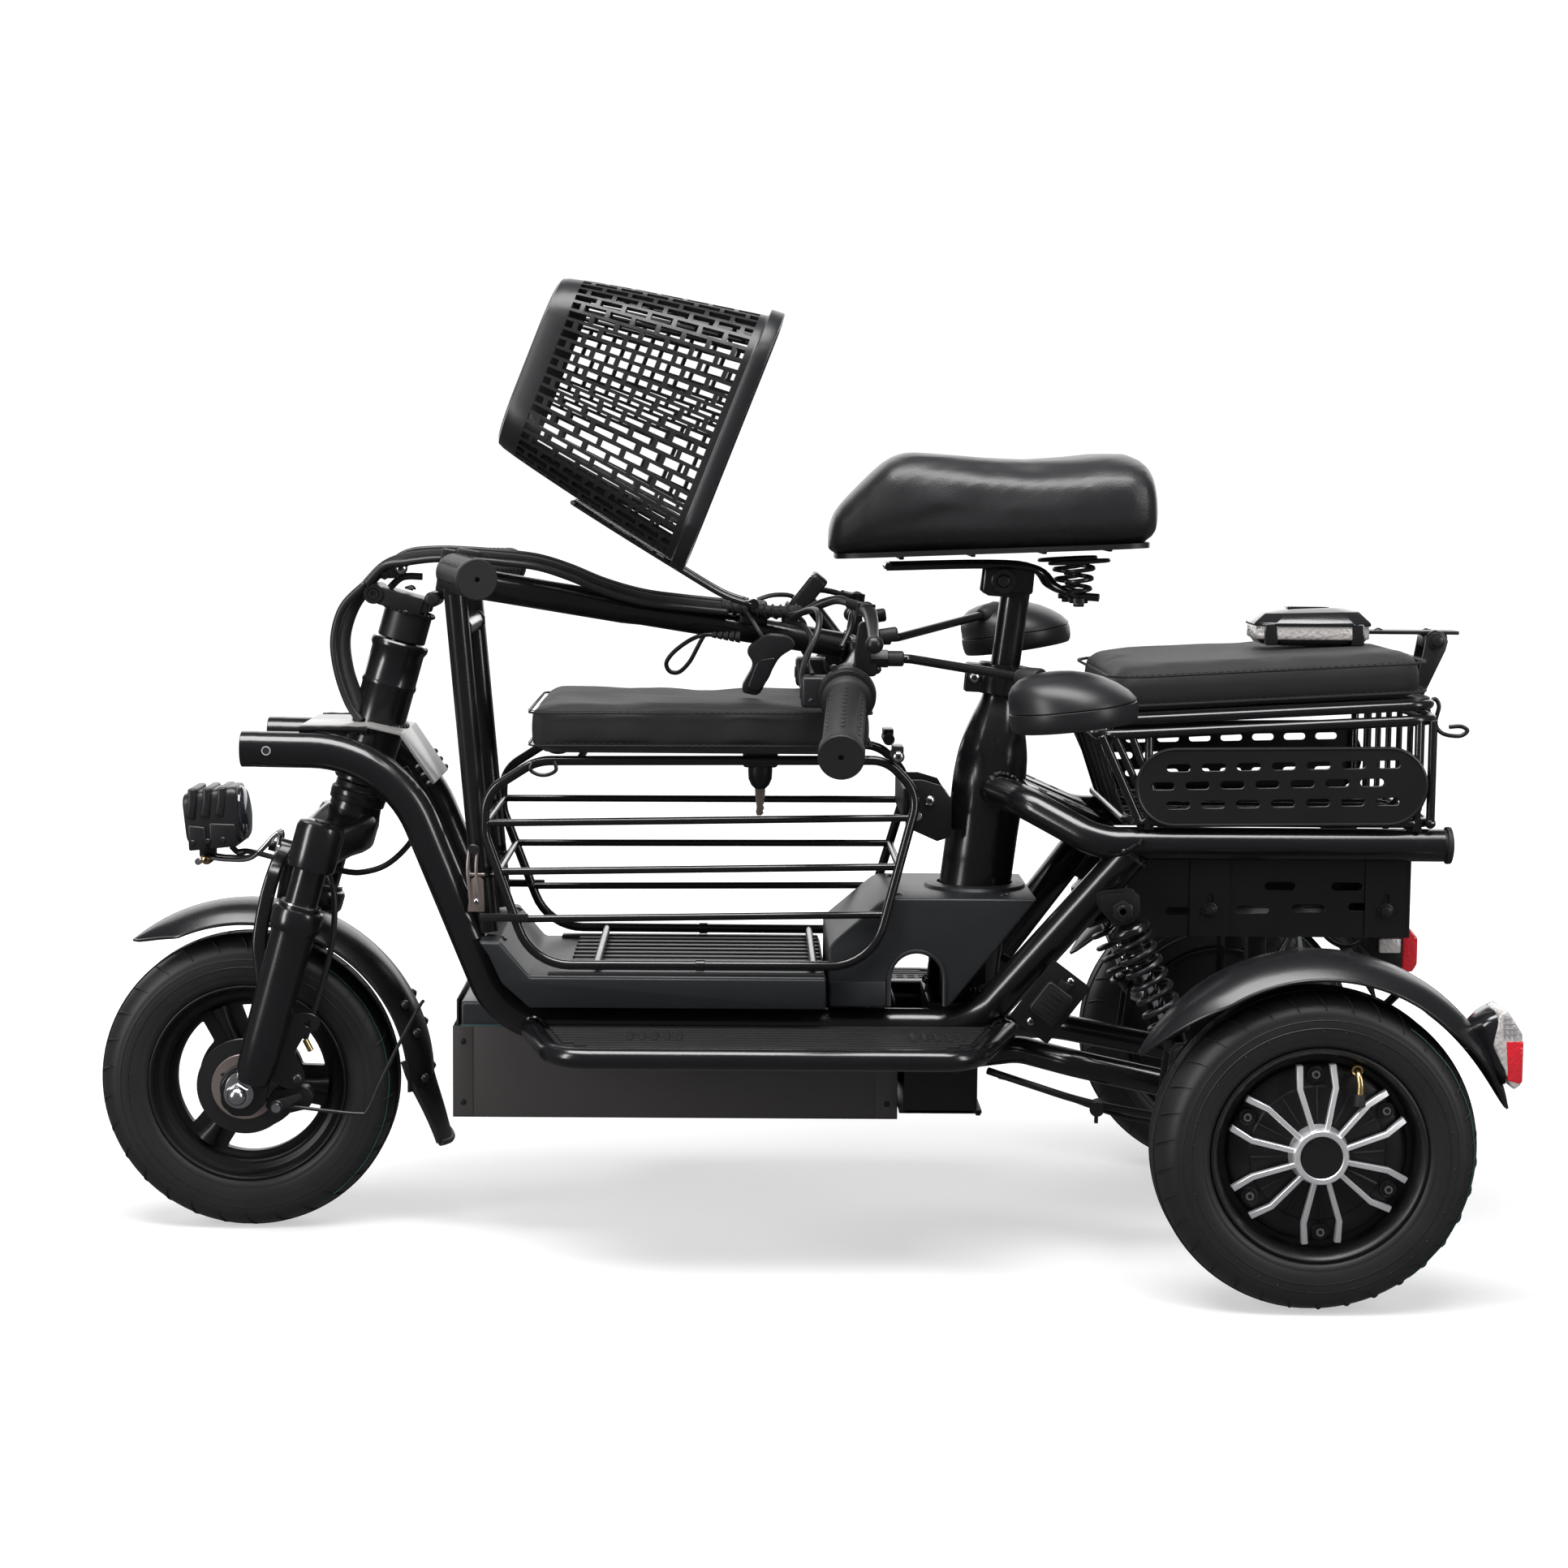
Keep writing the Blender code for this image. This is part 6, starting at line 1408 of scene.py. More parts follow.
def make_fork_lowers():
    piece = Piece("fork_lowers_shown", "fork_lowers")
    leg = [(0, 0), (0.0125, 0), (0.014, 0.0015), (0.016, 0.012), (0.0172, 0.04), (0.0185, 0.128),
           (0.0188, 0.134), (0.0213, 0.1375), (0.0217, 0.14), (0.0217, 0.15), (0.0205, 0.153),
           (0.018, 0.154), (0.018, 0.157), (0.0146, 0.157), (0.0146, 0.055)]
    for side in (-1, 1):
        foot = on_head(-0.262, 0.016, side * LEG_HALF)
        piece.add(lathe(leg + [(0, 0.055)], foot, STEER_UP, 48))
        piece.add(lathe([(0.0146, 0.157), (0.0172, 0.157), (0.0172, 0.1583), (0.0146, 0.1583)], foot,
                        STEER_UP, 48), "steel")
        drop = [(-0.4595, 0.145), (-0.433, 0.153), (-0.4245, 0.146), (-0.429, 0.118), (-0.44, 0.108),
                (-0.456, 0.1075), (-0.466, 0.117), (-0.4665, 0.134)]
        piece.add(slab(soften(drop + drop[:2], 0.004)[1:-1], side * 0.069 - 0.0028, side * 0.069 + 0.0028,
                       bevel=0.0008))
    piece.add(rod(FRONT_AXLE - Y * 0.086, FRONT_AXLE + Y * 0.086, 0.0058, 28), "chrome")
    for side in (-1, 1):
        washer = FRONT_AXLE + Y * side * 0.0715
        piece.add(rod(washer, washer + Y * side * 0.0018, 0.0125, 32, 0.0003), "steel")
        drop = [(FRONT_AXLE.x + 0.0115 * cos(a),
                 FRONT_AXLE.z + 0.0115 * sin(a) * (1 if sin(a) < 0 else 1.6))
                for a in (2 * pi * k / 32 for k in range(32))]
        piece.add(slab(drop, *sorted((side * 0.0731, side * 0.0742)), bevel=0.0003), "steel")
        piece.add(lathe([(0, 0), (0.0104, 0), (0.0104, 0.0046), (0.0092, 0.0054), (0, 0.0054)],
                        FRONT_AXLE + Y * side * 0.0742, Y * side, 6), "steel")
        dome = [(0, 0.004), (0.008, 0.004), (0.008, 0.0085), (0.0072, 0.0112), (0.0055, 0.0134),
                (0.003, 0.0147), (0, 0.0151)]
        piece.add(lathe(dome, FRONT_AXLE + Y * side * 0.0742, Y * side, 40), "steel")
        lug = [(-0.411, 0.194), (-0.3905, 0.1945), (-0.383, 0.1885), (-0.385, 0.18), (-0.396, 0.177),
               (-0.406, 0.16), (-0.399, 0.148), (-0.396, 0.14), (-0.401, 0.13), (-0.411, 0.129),
               (-0.425, 0.136), (-0.433, 0.15)]
        if side < 0:
            piece.add(slab(soften(lug + lug[:2], 0.004)[1:-1], -0.064, -0.059, bevel=0.001,
                           holes=[[(a - 0.3935, b + 0.1855) for a, b in circle(0.0028, 16)]]))
            piece.add(slab(soften([(-0.425, 0.128), (-0.395, 0.131), (-0.389, 0.122), (-0.394, 0.112),
                                   (-0.418, 0.106), (-0.432, 0.112), (-0.425, 0.128), (-0.395, 0.131)],
                                  0.005)[1:-1], -0.06, -0.044, bevel=0.0025, segments=3), "satin")
            piece.bolt((-0.403, -0.064, 0.138), -Y, 0.005, 0.0035, "dome", "black_steel")
            piece.add(rod((-0.42, -0.06, 0.115), (-0.42, -0.07, 0.115), 0.0058, 20), "black_steel")
            piece.bolt((-0.42, -0.07, 0.115), -Y, 0.004, 0.0028, "flat", "steel")
            piece.add(slab([(-0.424, 0.12), (-0.4, 0.127), (-0.398, 0.1225), (-0.418, 0.11)], -0.068,
                           -0.065, bevel=0.0008), "black_steel")
            piece.add(rod((-0.398, -0.052, 0.17), (-0.393, -0.052, 0.16), 0.0026, 14), "brass")
    near = [(-0.2, 0.018, 0.064), (-0.189, 0.025, 0.063), (-0.165, 0.035, 0.061), (-0.1435, 0.0425, 0.059),
            (-0.109, 0.046, 0.056), (-0.086, 0.0462, 0.048), (-0.0745, 0.0465, 0.025)]
    arch = [on_head(h, f, -a) for h, f, a in near] + [on_head(h, f, a) for h, f, a in near[::-1]]
    piece.add(sweep(smooth(arch, 6), rounded(0.0036, 0.0062, 0.003, 4), up=STEER_FORWARD))
    bridge = on_head(-0.0745, 0.047)
    piece.add(rod(bridge - STEER_FORWARD * 0.004, bridge + STEER_FORWARD * 0.006, 0.009, 24))
    strap = [bridge + STEER_FORWARD * 0.006 - STEER_UP * 0.002,
             bridge + STEER_FORWARD * 0.01 + STEER_UP * 0.013, Vector((-0.448, 0, 0.319)),
             Vector((-0.47, 0, 0.317)), Vector((-0.486, 0, 0.3185)), Vector((-0.494, 0, 0.315))]
    for off in (-0.0085, 0.0085):
        piece.add(tube(smooth([p + Y * off for p in strap], 6), 0.0021, 12), "steel")
    piece.add(rod(strap[-1] - Y * 0.0105, strap[-1] + Y * 0.0105, 0.003, 14), "steel")
    piece.add(rod(bridge + STEER_FORWARD * 0.005 - Y * 0.0115, bridge + STEER_FORWARD * 0.005 + Y * 0.0115,
                  0.0034, 14), "steel")
    piece.bolt(bridge + STEER_FORWARD * 0.009, STEER_FORWARD, 0.005, 0.006, "hex", "black_steel")
    piece.bolt((-0.487, -0.0115, 0.317), -Y, 0.0042, 0.0026, "dome", "brass")
    piece.bolt((-0.487, 0.0115, 0.317), Y, 0.0042, 0.0026, "hex", "steel")
    piece.done(["fork_lowers"])


def make_headlight():
    piece = Piece("headlight_shown", "headlight", "plastic")
    centre = Vector((-0.4775, 0, 0.3545))
    turn = Matrix.Translation(centre) @ Matrix.Rotation(radians(-6), 4, "Y")
    shell = [(-0.026, 0.0205, 0.019), (-0.0245, 0.0225, 0.0215), (-0.01, 0.0235, 0.0235),
             (0.009, 0.024, 0.024), (0.0165, 0.0245, 0.0245), (0.02, 0.024, 0.024), (0.021, 0.0225, 0.0225)]
    piece.add(bevelled(loft([[Vector((x, a, b)) for a, b in rounded(half, high, 0.0085, 6)] for x, half,
                             high in shell]), 0.0006, 2, 30), None, turn)
    for k in range(3):
        x = -0.0225 + 0.0125 * k
        fin = [(x - 0.002, 0.002), (x + 0.0055, -0.001), (x + 0.0085, 0.013),
               (x + 0.0105, 0.0262 - 0.0006 * k), (x + 0.003, 0.0268 - 0.0006 * k), (x + 0.0015, 0.014)]
        piece.add(slab(fin, -0.0256, 0.0256, bevel=0.0022, segments=3), None, turn)
    for low_x, high_x in ((-0.0245, -0.0085), (-0.0065, 0.0175)):
        foot = [(low_x, -0.0262), (high_x, -0.0262), (high_x, -0.007), (low_x + 0.0015, -0.004)]
        piece.add(slab(foot, -0.0256, 0.0256, bevel=0.0018, segments=3), None, turn)
    piece.add(lathe([(0, 0.019), (0.0225, 0.019), (0.0232, 0.0205), (0.0228, 0.0225), (0.0195, 0.025),
                     (0.01, 0.0268), (0, 0.0272)], (0, 0, 0), X, 64), "glass", turn)
    for k in range(3):
        piece.add(rod((-0.0205 + 0.013 * k, -0.0245, -0.0195), (-0.0205 + 0.013 * k, -0.0268, -0.0195),
                      0.0026, 18), None, turn)
    piece.add(block((-0.494, -0.0055, 0.318), (-0.48, 0.0055, 0.333), 0.002), "satin")
    piece.add(rod((-0.487, -0.008, 0.317), (-0.487, 0.008, 0.317), 0.0048, 20), "satin")
    piece.add(tube(smooth([(-0.468, 0.004, 0.327), (-0.462, 0.004, 0.3215), (-0.456, 0.002, 0.3225)], 6),
                   0.0026, 10), "wire")
    piece.done(["headlight"])


def guard(centre, half, start, end, tapers):
    """A crowned mudguard with rolled edges, round a wheel's centre; angles in degrees above the rear."""
    sheet, rim, steps, across = 0.0018, 0.0014, 72, 14
    sections, edges = [], ([], [])
    for k in range(steps + 1):
        angle = start + (end - start) * k / steps
        share = 1.0
        for reach, room in zip((angle - start, end - angle), tapers):
            if room:
                share *= min(1.0, max(0.0, reach / room)) ** 0.55
        share = max(0.05, share)
        width = half * share
        radial = Vector((cos(radians(angle)), 0, sin(radians(angle))))
        outside, inside = [], []
        for n in range(across + 1):
            y = -1 + 2 * n / across
            reach = GUARD_RADIUS - (0.009 * y * y + 0.0075 * abs(y) ** 4) * share ** 1.4
            outside.append(centre + radial * reach + Y * y * width)
            inside.append(centre + radial * (reach - sheet) + Y * y * width * 0.985)
        sections.append(outside + inside[::-1])
        edges[0].append(outside[0] - radial * sheet / 2)
        edges[1].append(outside[-1] - radial * sheet / 2)
    return loft(sections), [tube(edge, rim, 8) for edge in edges]


def make_front_fender():
    piece = Piece("front_fender_shown", "fork_lowers", "guard")
    shell, rims = guard(FRONT_AXLE, 0.038, -2, 130, (0, 16))
    piece.add(shell)
    for rim in rims:
        piece.add(rim)
    rows = []
    for k in range(17):
        angle = 9 - 26 * k / 16
        radial = Vector((cos(radians(angle)), 0, sin(radians(angle))))
        out = 0.156 + 0.0235 * max(0, (4 - angle) / 21) ** 1.5
        width, drop = 0.037 - 0.006 * (k / 16), 0.019 - 0.012 * (k / 16)
        outside = [FRONT_AXLE + radial * (out - drop * (n / 4 - 1) ** 2) + Y * width * (n / 4 - 1)
                   for n in range(9)]
        inside = [FRONT_AXLE + radial * (out - 0.003 - drop * (n / 4 - 1) ** 2) + Y * width * 0.97
                  * (n / 4 - 1) for n in range(8, -1, -1)]
        rows.append(outside + inside)
    piece.add(loft(rows), "rubber")
    piece.add(tube([(row[0] + row[-1]) / 2 for row in rows], 0.0024, 8), "rubber")
    piece.add(tube([(row[8] + row[9]) / 2 for row in rows], 0.0024, 8), "rubber")
    piece.add(tube(rows[-1][:9], 0.0026, 8), "rubber")
    for side in (-1, 1):
        for angle in (27, 17, 2):
            radial = Vector((cos(radians(angle)), 0, sin(radians(angle))))
            at = FRONT_AXLE + radial * 0.1515 + Y * side * 0.029
            piece.bolt(at, radial + Y * side * 0.5, 0.0042, 0.0034, "dome", "black_steel")
    stay = [(-0.42, -0.066, 0.116), (-0.4, -0.065, 0.114), (-0.376, -0.062, 0.1105), (-0.352, -0.06, 0.108),
            (-0.3445, -0.059, 0.111), (-0.333, -0.055, 0.137), (-0.317, -0.049, 0.17),
            (-0.303, -0.042, 0.196), (-0.2995, -0.038, 0.201)]
    piece.add(tube(smooth(stay, 6), 0.0015, 10), "wire")
    piece.done(["front_fender"])


def tyre_form(half):
    """A tyre's round: bead, side wall, shoulder and crowned tread, with low ribs on its side."""
    inner = 0.0849
    side = [(inner, 0.84), (0.087, 0.905), (0.089, 0.935), (0.0905, 0.95), (0.0912, 0.948), (0.092, 0.96),
            (0.096, 0.985), (0.101, 0.999), (0.105, 1.0), (0.109, 0.985), (0.1098, 0.975), (0.1106, 0.977),
            (0.114, 0.935), (0.1175, 0.865), (0.1205, 0.77), (0.1228, 0.65), (0.1246, 0.51), (0.1259, 0.35),
            (0.1267, 0.18)]
    return [(r, -y * half) for r, y in side] + [(WHEEL_RADIUS, 0)] + [(r, y * half) for r, y in side[::-1]]


def make_tyre(name, body, node, centre, half, sipes=40):
    piece = Piece(name, body, "tyre")
    piece.add(lathe(tyre_form(half), centre, Y, 160))
    turn = placed(centre, Y)

    def point(angle, across, lift):
        """A point over the tread: across is a share of the half width, -1 to 1."""
        y = abs(across)
        reach = WHEEL_RADIUS - 0.0052 * y ** 2 - 0.0097 * y ** 5
        return turn @ Vector(((reach + lift) * cos(angle), (reach + lift) * sin(angle), across * half))

    for n in range(sipes):
        base = 2 * pi * n / sipes
        for side in (-1, 1):
            path = [point(base + side * 0.03 + 0.075 * (t - 0.35), side * (0.42 + 0.53 * t), -0.0002)
                    for t in (0, 0.2, 0.4, 0.6, 0.8, 1.0)]
            piece.add(tube(path, [0.0003, 0.0006, 0.0008, 0.0008, 0.0007, 0.0004], 6), "rubber")
        path = [point(base + 0.04 + 0.05 * t, -0.26 + 0.52 * t, -0.0003) for t in (0, 0.33, 0.66, 1.0)]
        piece.add(tube(path, [0.0003, 0.0006, 0.0006, 0.0003], 6), "rubber")
    for across in (-0.285, 0.285):
        ring = [point(2 * pi * k / 120, across, -0.0001) for k in range(120)]
        piece.add(tube(ring, 0.0008, 6, closed=True), "rubber")
    for side in (-1, 1):
        start = 0.6 if side < 0 else 2.2
        stripe = [point(start + 1.9 * k / 40, side * 0.8, 0.00005 + 0.0002 * sin(k)) for k in range(41)]
        piece.add(tube(stripe, 0.00045, 5), "green")
        for k in range(26):
            angle = 2 * pi * (k + 0.3 * sin(5 * k)) / 26
            radius = 0.0985 + 0.009 * sin(3 * k) ** 2
            at = turn @ Vector((radius * cos(angle), radius * sin(angle), side * half * 0.997))
            piece.add(ball(at, 0.0008, 6), "tyre")
        for radius, wide in ((0.1008, 0.0005), (0.1072, 0.0004)):
            ring = [turn @ Vector((radius * cos(2 * pi * k / 96), radius * sin(2 * pi * k / 96),
                                   side * half * (0.999 if radius < 0.105 else 0.993))) for k in range(96)]
            piece.add(tube(ring, wide, 6, closed=True), "tyre")
    piece.done([node], 40)


def make_front_wheel():
    make_tyre("front_tyre_shown", "front_wheel", "front_tyre", FRONT_AXLE, 0.032, 30)
    piece = Piece("front_rim_shown", "front_wheel", "satin")
    for side in (-1, 1):
        ring = [(0.064, 0.0035), (0.0665, 0.004), (0.0695, 0.007), (0.0708, 0.015), (0.073, 0.0175),
                (0.0772, 0.019), (0.08, 0.0225), (0.0812, 0.027), (0.0828, 0.0288), (0.0843, 0.0284),
                (0.0846, 0.027), (0.0846, 0.0), (0.064, 0.0)]
        profile = [(r, y * side) for r, y in ring]
        piece.add(lathe(soften(profile + profile[:1], 0.0008)[:-1], FRONT_AXLE, Y, 120))
    windows = []
    for number in range(3):
        middle = 54 + 120 * number
        outer = arc((0, 0), 0.064, middle - 44, middle + 44, 24)
        inner = arc((0, 0), 0.045, middle + 39, middle - 39, 14)
        windows.append([(FRONT_AXLE.x + a, FRONT_AXLE.z + b) for a,
                        b in soften(outer + inner + outer[:2], 0.006, 4)[1:-1]])
    disc = [(FRONT_AXLE.x + a, FRONT_AXLE.z + b) for a, b in circle(0.068, 120)]
    piece.add(slab(disc, -0.004, 0.004, bevel=0.0012, holes=windows))
    for side in (-1, 1):
        for number in range(3):
            middle = radians(54 + 60 + 120 * number)
            start, end = 0.026, 0.066
            rib = [FRONT_AXLE + Vector((r * cos(middle), 0, r * sin(middle))) + Y * side
                   * (0.0035 + 0.002 * sin(pi * (r - start) / (end - start)))
                   for r in (start, 0.035, 0.045, 0.055, end)]
            piece.add(tube(rib, [0.006, 0.005, 0.005, 0.006, 0.009], 16))
    hub = [(0.0063, -0.05), (0.019, -0.05), (0.02, -0.049), (0.0205, -0.034), (0.024, -0.025),
           (0.0265, -0.01), (0.031, -0.003), (0.031, 0.003), (0.0265, 0.01), (0.024, 0.025), (0.022, 0.049),
           (0.021, 0.05), (0.0063, 0.05)]
    piece.add(lathe(soften(hub + hub[:1], 0.0015)[:-1], FRONT_AXLE, Y, 64))
    piece.add(lathe([(0.013, -0.043), (0.0275, -0.043), (0.028, -0.0425), (0.028, -0.0405), (0.0275, -0.04),
                     (0.013, -0.04)], FRONT_AXLE, Y, 96), "disc")
    piece.add(lathe([(0.027, -0.0405), (0.0405, -0.0405), (0.041, -0.04), (0.041, -0.0385),
                     (0.0405, -0.038), (0.027, -0.038)], FRONT_AXLE, Y, 96), "black_steel")
    for k in range(6):
        a = 2 * pi * (k + 0.5) / 6
        at = FRONT_AXLE + Vector((0.021 * cos(a), -0.0431, 0.021 * sin(a)))
        piece.add(rod(at, at - Y * 0.0004, 0.0017, 16, 0.0001), "rubber")
    stem = FRONT_AXLE + Vector((0.064 * cos(0.8), 0, 0.064 * sin(0.8)))
    piece.add(tube(smooth([stem, stem + Vector((-0.008, -0.002, -0.008)),
                           stem + Vector((-0.012, -0.012, -0.012)),
                           stem + Vector((-0.013, -0.022, -0.013))], 6), 0.0026, 14), "brass")
    piece.add(rod(stem + Vector((-0.013, -0.02, -0.013)), stem + Vector((-0.0135, -0.028, -0.0135)), 0.0036,
                  18), "rubber")
    piece.done(["front_rim"])


# --- Folding column, basket, handlebar --------------------------------------------------------
def make_column():
    piece = Piece("column_shown", "column")
    path = [on_column(0.01), on_column(0.16), on_column(0.168), on_column(0.176), on_column(0.35),
            on_column(0.357)]
    piece.add(tube(path, [0.013, 0.0127, 0.0122, 0.0116, 0.011, 0.0075], 36))

    def plate(low, high, bevel):
        outline = [(low[0], low[2]), (high[0], low[2]), (high[0], high[2]), (low[0], high[2])]
        return slab(outline, low[1], high[1], bevel=bevel)

    piece.add(plate((0.0015, -0.0225, 0.0078), (0.013, 0.0225, 0.044), 0.0016), "satin", COLUMN_FRAME)
    piece.add(plate((0.0025, -0.008, 0.001), (0.012, 0.008, 0.01), 0.001), "satin", COLUMN_FRAME)
    piece.add(plate((0.013, -0.015, 0.033), (0.034, 0.015, 0.0465), 0.003), "plastic", COLUMN_FRAME)
    piece.add(rod(FOLD_PIVOT - Y * 0.008, FOLD_PIVOT + Y * 0.008, 0.0065, 28), "satin")
    piece.weld(on_column(0.0135), COLUMN_ALONG, 0.0138, 0.002)
    for side in (-1, 1):
        y = side * 0.034
        rail = [(-0.174, y, 0.6235), (-0.13, y, 0.596), (-0.084, y, 0.568), (-0.05, y, 0.548),
                (-0.03, y, 0.5405), (-0.022, y * 0.9, 0.5395)]
        piece.add(tube(smooth(rail, 6), 0.0024, 16, soft=0.001), "gloss")
    piece.add(rod((-0.022, -0.0345, 0.5395), (-0.022, 0.0345, 0.5395), 0.0045, 24))
    for x, z in ((-0.1735, 0.623), (-0.087, 0.5695)):
        piece.add(rod((x, -0.038, z), (x, 0.038, z), 0.0022, 14), "steel")
    strip = [(-0.174, 0.6245), (-0.086, 0.57), (-0.085, 0.5715), (-0.173, 0.626)]
    piece.add(slab(strip, -0.0105, 0.0105, bevel=0.0003), "cut")
    piece.add(block((-0.034, -0.0125, 0.5205), (-0.01, 0.0125, 0.541), 0.003, 3), "satin")
    for x in (-0.0285, -0.0155):
        piece.bolt((x, -0.0125, 0.531), -Y, 0.0032, 0.002, "dome", "black_steel")
    piece.done(["column_tube"])


def make_basket():
    base, rim = Vector((-0.2083, 0, 0.7394)), Vector((-0.039, 0, 0.6727))
    along = (rim - base).normalized()
    above = Vector((-along.z, 0, along.x))
    depth = (rim - base).length

    rows, columns, fine = 168, 7, 12

    def ring(share, grow=0.0):
        t = max(0.0, min(1.0, (share - 0.03) / 0.9))
        ease = t ** 0.9
        half_high, half_wide = 0.074 + 0.0325 * ease + grow, 0.1055 + 0.03 * ease + grow
        corner = 0.039 + 0.009 * t
        outline = rounded(half_high, half_wide, corner, 14)
        marks = [0.0]
        loop = outline + outline[:1]
        for a, b in zip(loop, loop[1:]):
            marks.append(marks[-1] + hypot(b[0] - a[0], b[1] - a[1]))
        points, place = [], 0
        for k in range(rows):
            want = marks[-1] * k / rows
            while marks[place + 1] < want:
                place += 1
            part = (want - marks[place]) / max(1e-9, marks[place + 1] - marks[place])
            a, b = loop[place], loop[place + 1]
            points.append((a[0] + (b[0] - a[0]) * part, a[1] + (b[1] - a[1]) * part))
        centre = base + along * depth * share
        return [centre + above * a + Y * b for a, b in points]

    start, end = 0.095, 0.905
    fine_rows = columns * fine
    shares = [0.0, 0.012, 0.04, *(start + (end - start) * k / fine_rows for k in range(fine_rows + 1)), 0.93]
    narrower = {0.0: -0.006, 0.012: -0.0016}
    rings = [ring(share, narrower.get(share, 0.0)) for share in shares]
    shell = bmesh.new()
    verts = [[shell.verts.new(p) for p in line] for line in rings]
    for j in range(len(rings) - 1):
        cell = j - 3
        for k in range(rows):
            if 0 <= cell < fine_rows and k % 2 == 0:
                phase = (cell + (fine // 2 if k % 4 else 0)) % fine
                if phase not in (0, fine - 1) and 0 < cell < fine_rows - 1:
                    continue
            m = (k + 1) % rows
            shell.faces.new((verts[j][k], verts[j][m], verts[j + 1][m], verts[j + 1][k]))
    shrink = 0.4
    for j in range(3, len(rings) - 1):
        for k in range(0, rows, 2):
            a, b = verts[j][k], verts[j][(k + 1) % rows]
            middle = (a.co + b.co) / 2
            a.co, b.co = a.co + (a.co - middle) * shrink, b.co + (b.co - middle) * shrink
    bmesh.ops.recalc_face_normals(shell, faces=shell.faces)
    bmesh.ops.solidify(shell, geom=shell.faces[:] + shell.edges[:] + shell.verts[:], thickness=0.0038)
    piece = Piece("front_basket_shown", "column", "plastic")
    piece.add(shell)
    band = [ring(0.925), ring(0.9325, 0.0005), ring(0.934, 0.005), ring(0.938, 0.0056), ring(0.99, 0.0062),
            ring(0.996, 0.0058), ring(0.998, 0.0045), ring(0.998, 0.001), ring(0.99, -0.001),
            ring(0.945, -0.0022), ring(0.925, -0.0026)]
    piece.add(loft(band, closed=True))
    holes = []
    for row in range(-5, 6):
        for column in range(-3, 4):
            shift = 0.013 if row % 2 else 0.0
            a, b = row * 0.0118, column * 0.026 + shift
            if hypot(max(0, abs(a) - 0.03) / 0.036, max(0, abs(b) - 0.06) / 0.036) < 0.85 and abs(b) < 0.09:
                holes.append(oblong((a, b), 0.0095, 0.0033, 90, 3))
    turn = frame_of(base, above, Y, along)
    bottom = slab(rounded(0.069, 0.1005, 0.036, 8), 0.0006, 0.0034, "Z", 0.0008, holes)
    bottom.transform(turn)
    piece.add(bottom)
    piece.done(["front_basket"], 40)


def grip_point(share, side):
    """A point along a grip: share is 0 at its root and 1 at its end."""
    point = GRIP_ROOT.lerp(GRIP_END, share)
    return Vector((point.x, point.y * side, point.z))


def bar_path():
    centre = Vector((0.069, 0, 0.494))
    middle = Y * 0.04
    path = [grip_point(0.975, -1), grip_point(0, -1), centre - middle, centre + middle, grip_point(0, 1),
            grip_point(0.975, 1)]
    return round_path(path, (0.06, 0.03, 0.03, 0.06), 10)


def make_handlebar():
    piece = Piece("handlebar_shown", "column")
    piece.add(tube(bar_path(), 0.011, 30))
    piece.add(block((0.059, -0.02, 0.478), (0.0835, 0.02, 0.51), 0.004, 3), "satin")
    for side in (-1, 1):
        for z in (0.484, 0.504):
            piece.bolt((0.0835, side * 0.0125, z), X, 0.004, 0.0035, "dome", "black_steel")
    piece.weld(on_column(0.35), COLUMN_ALONG, 0.0115, 0.0018)
    piece.done(["handlebar"])


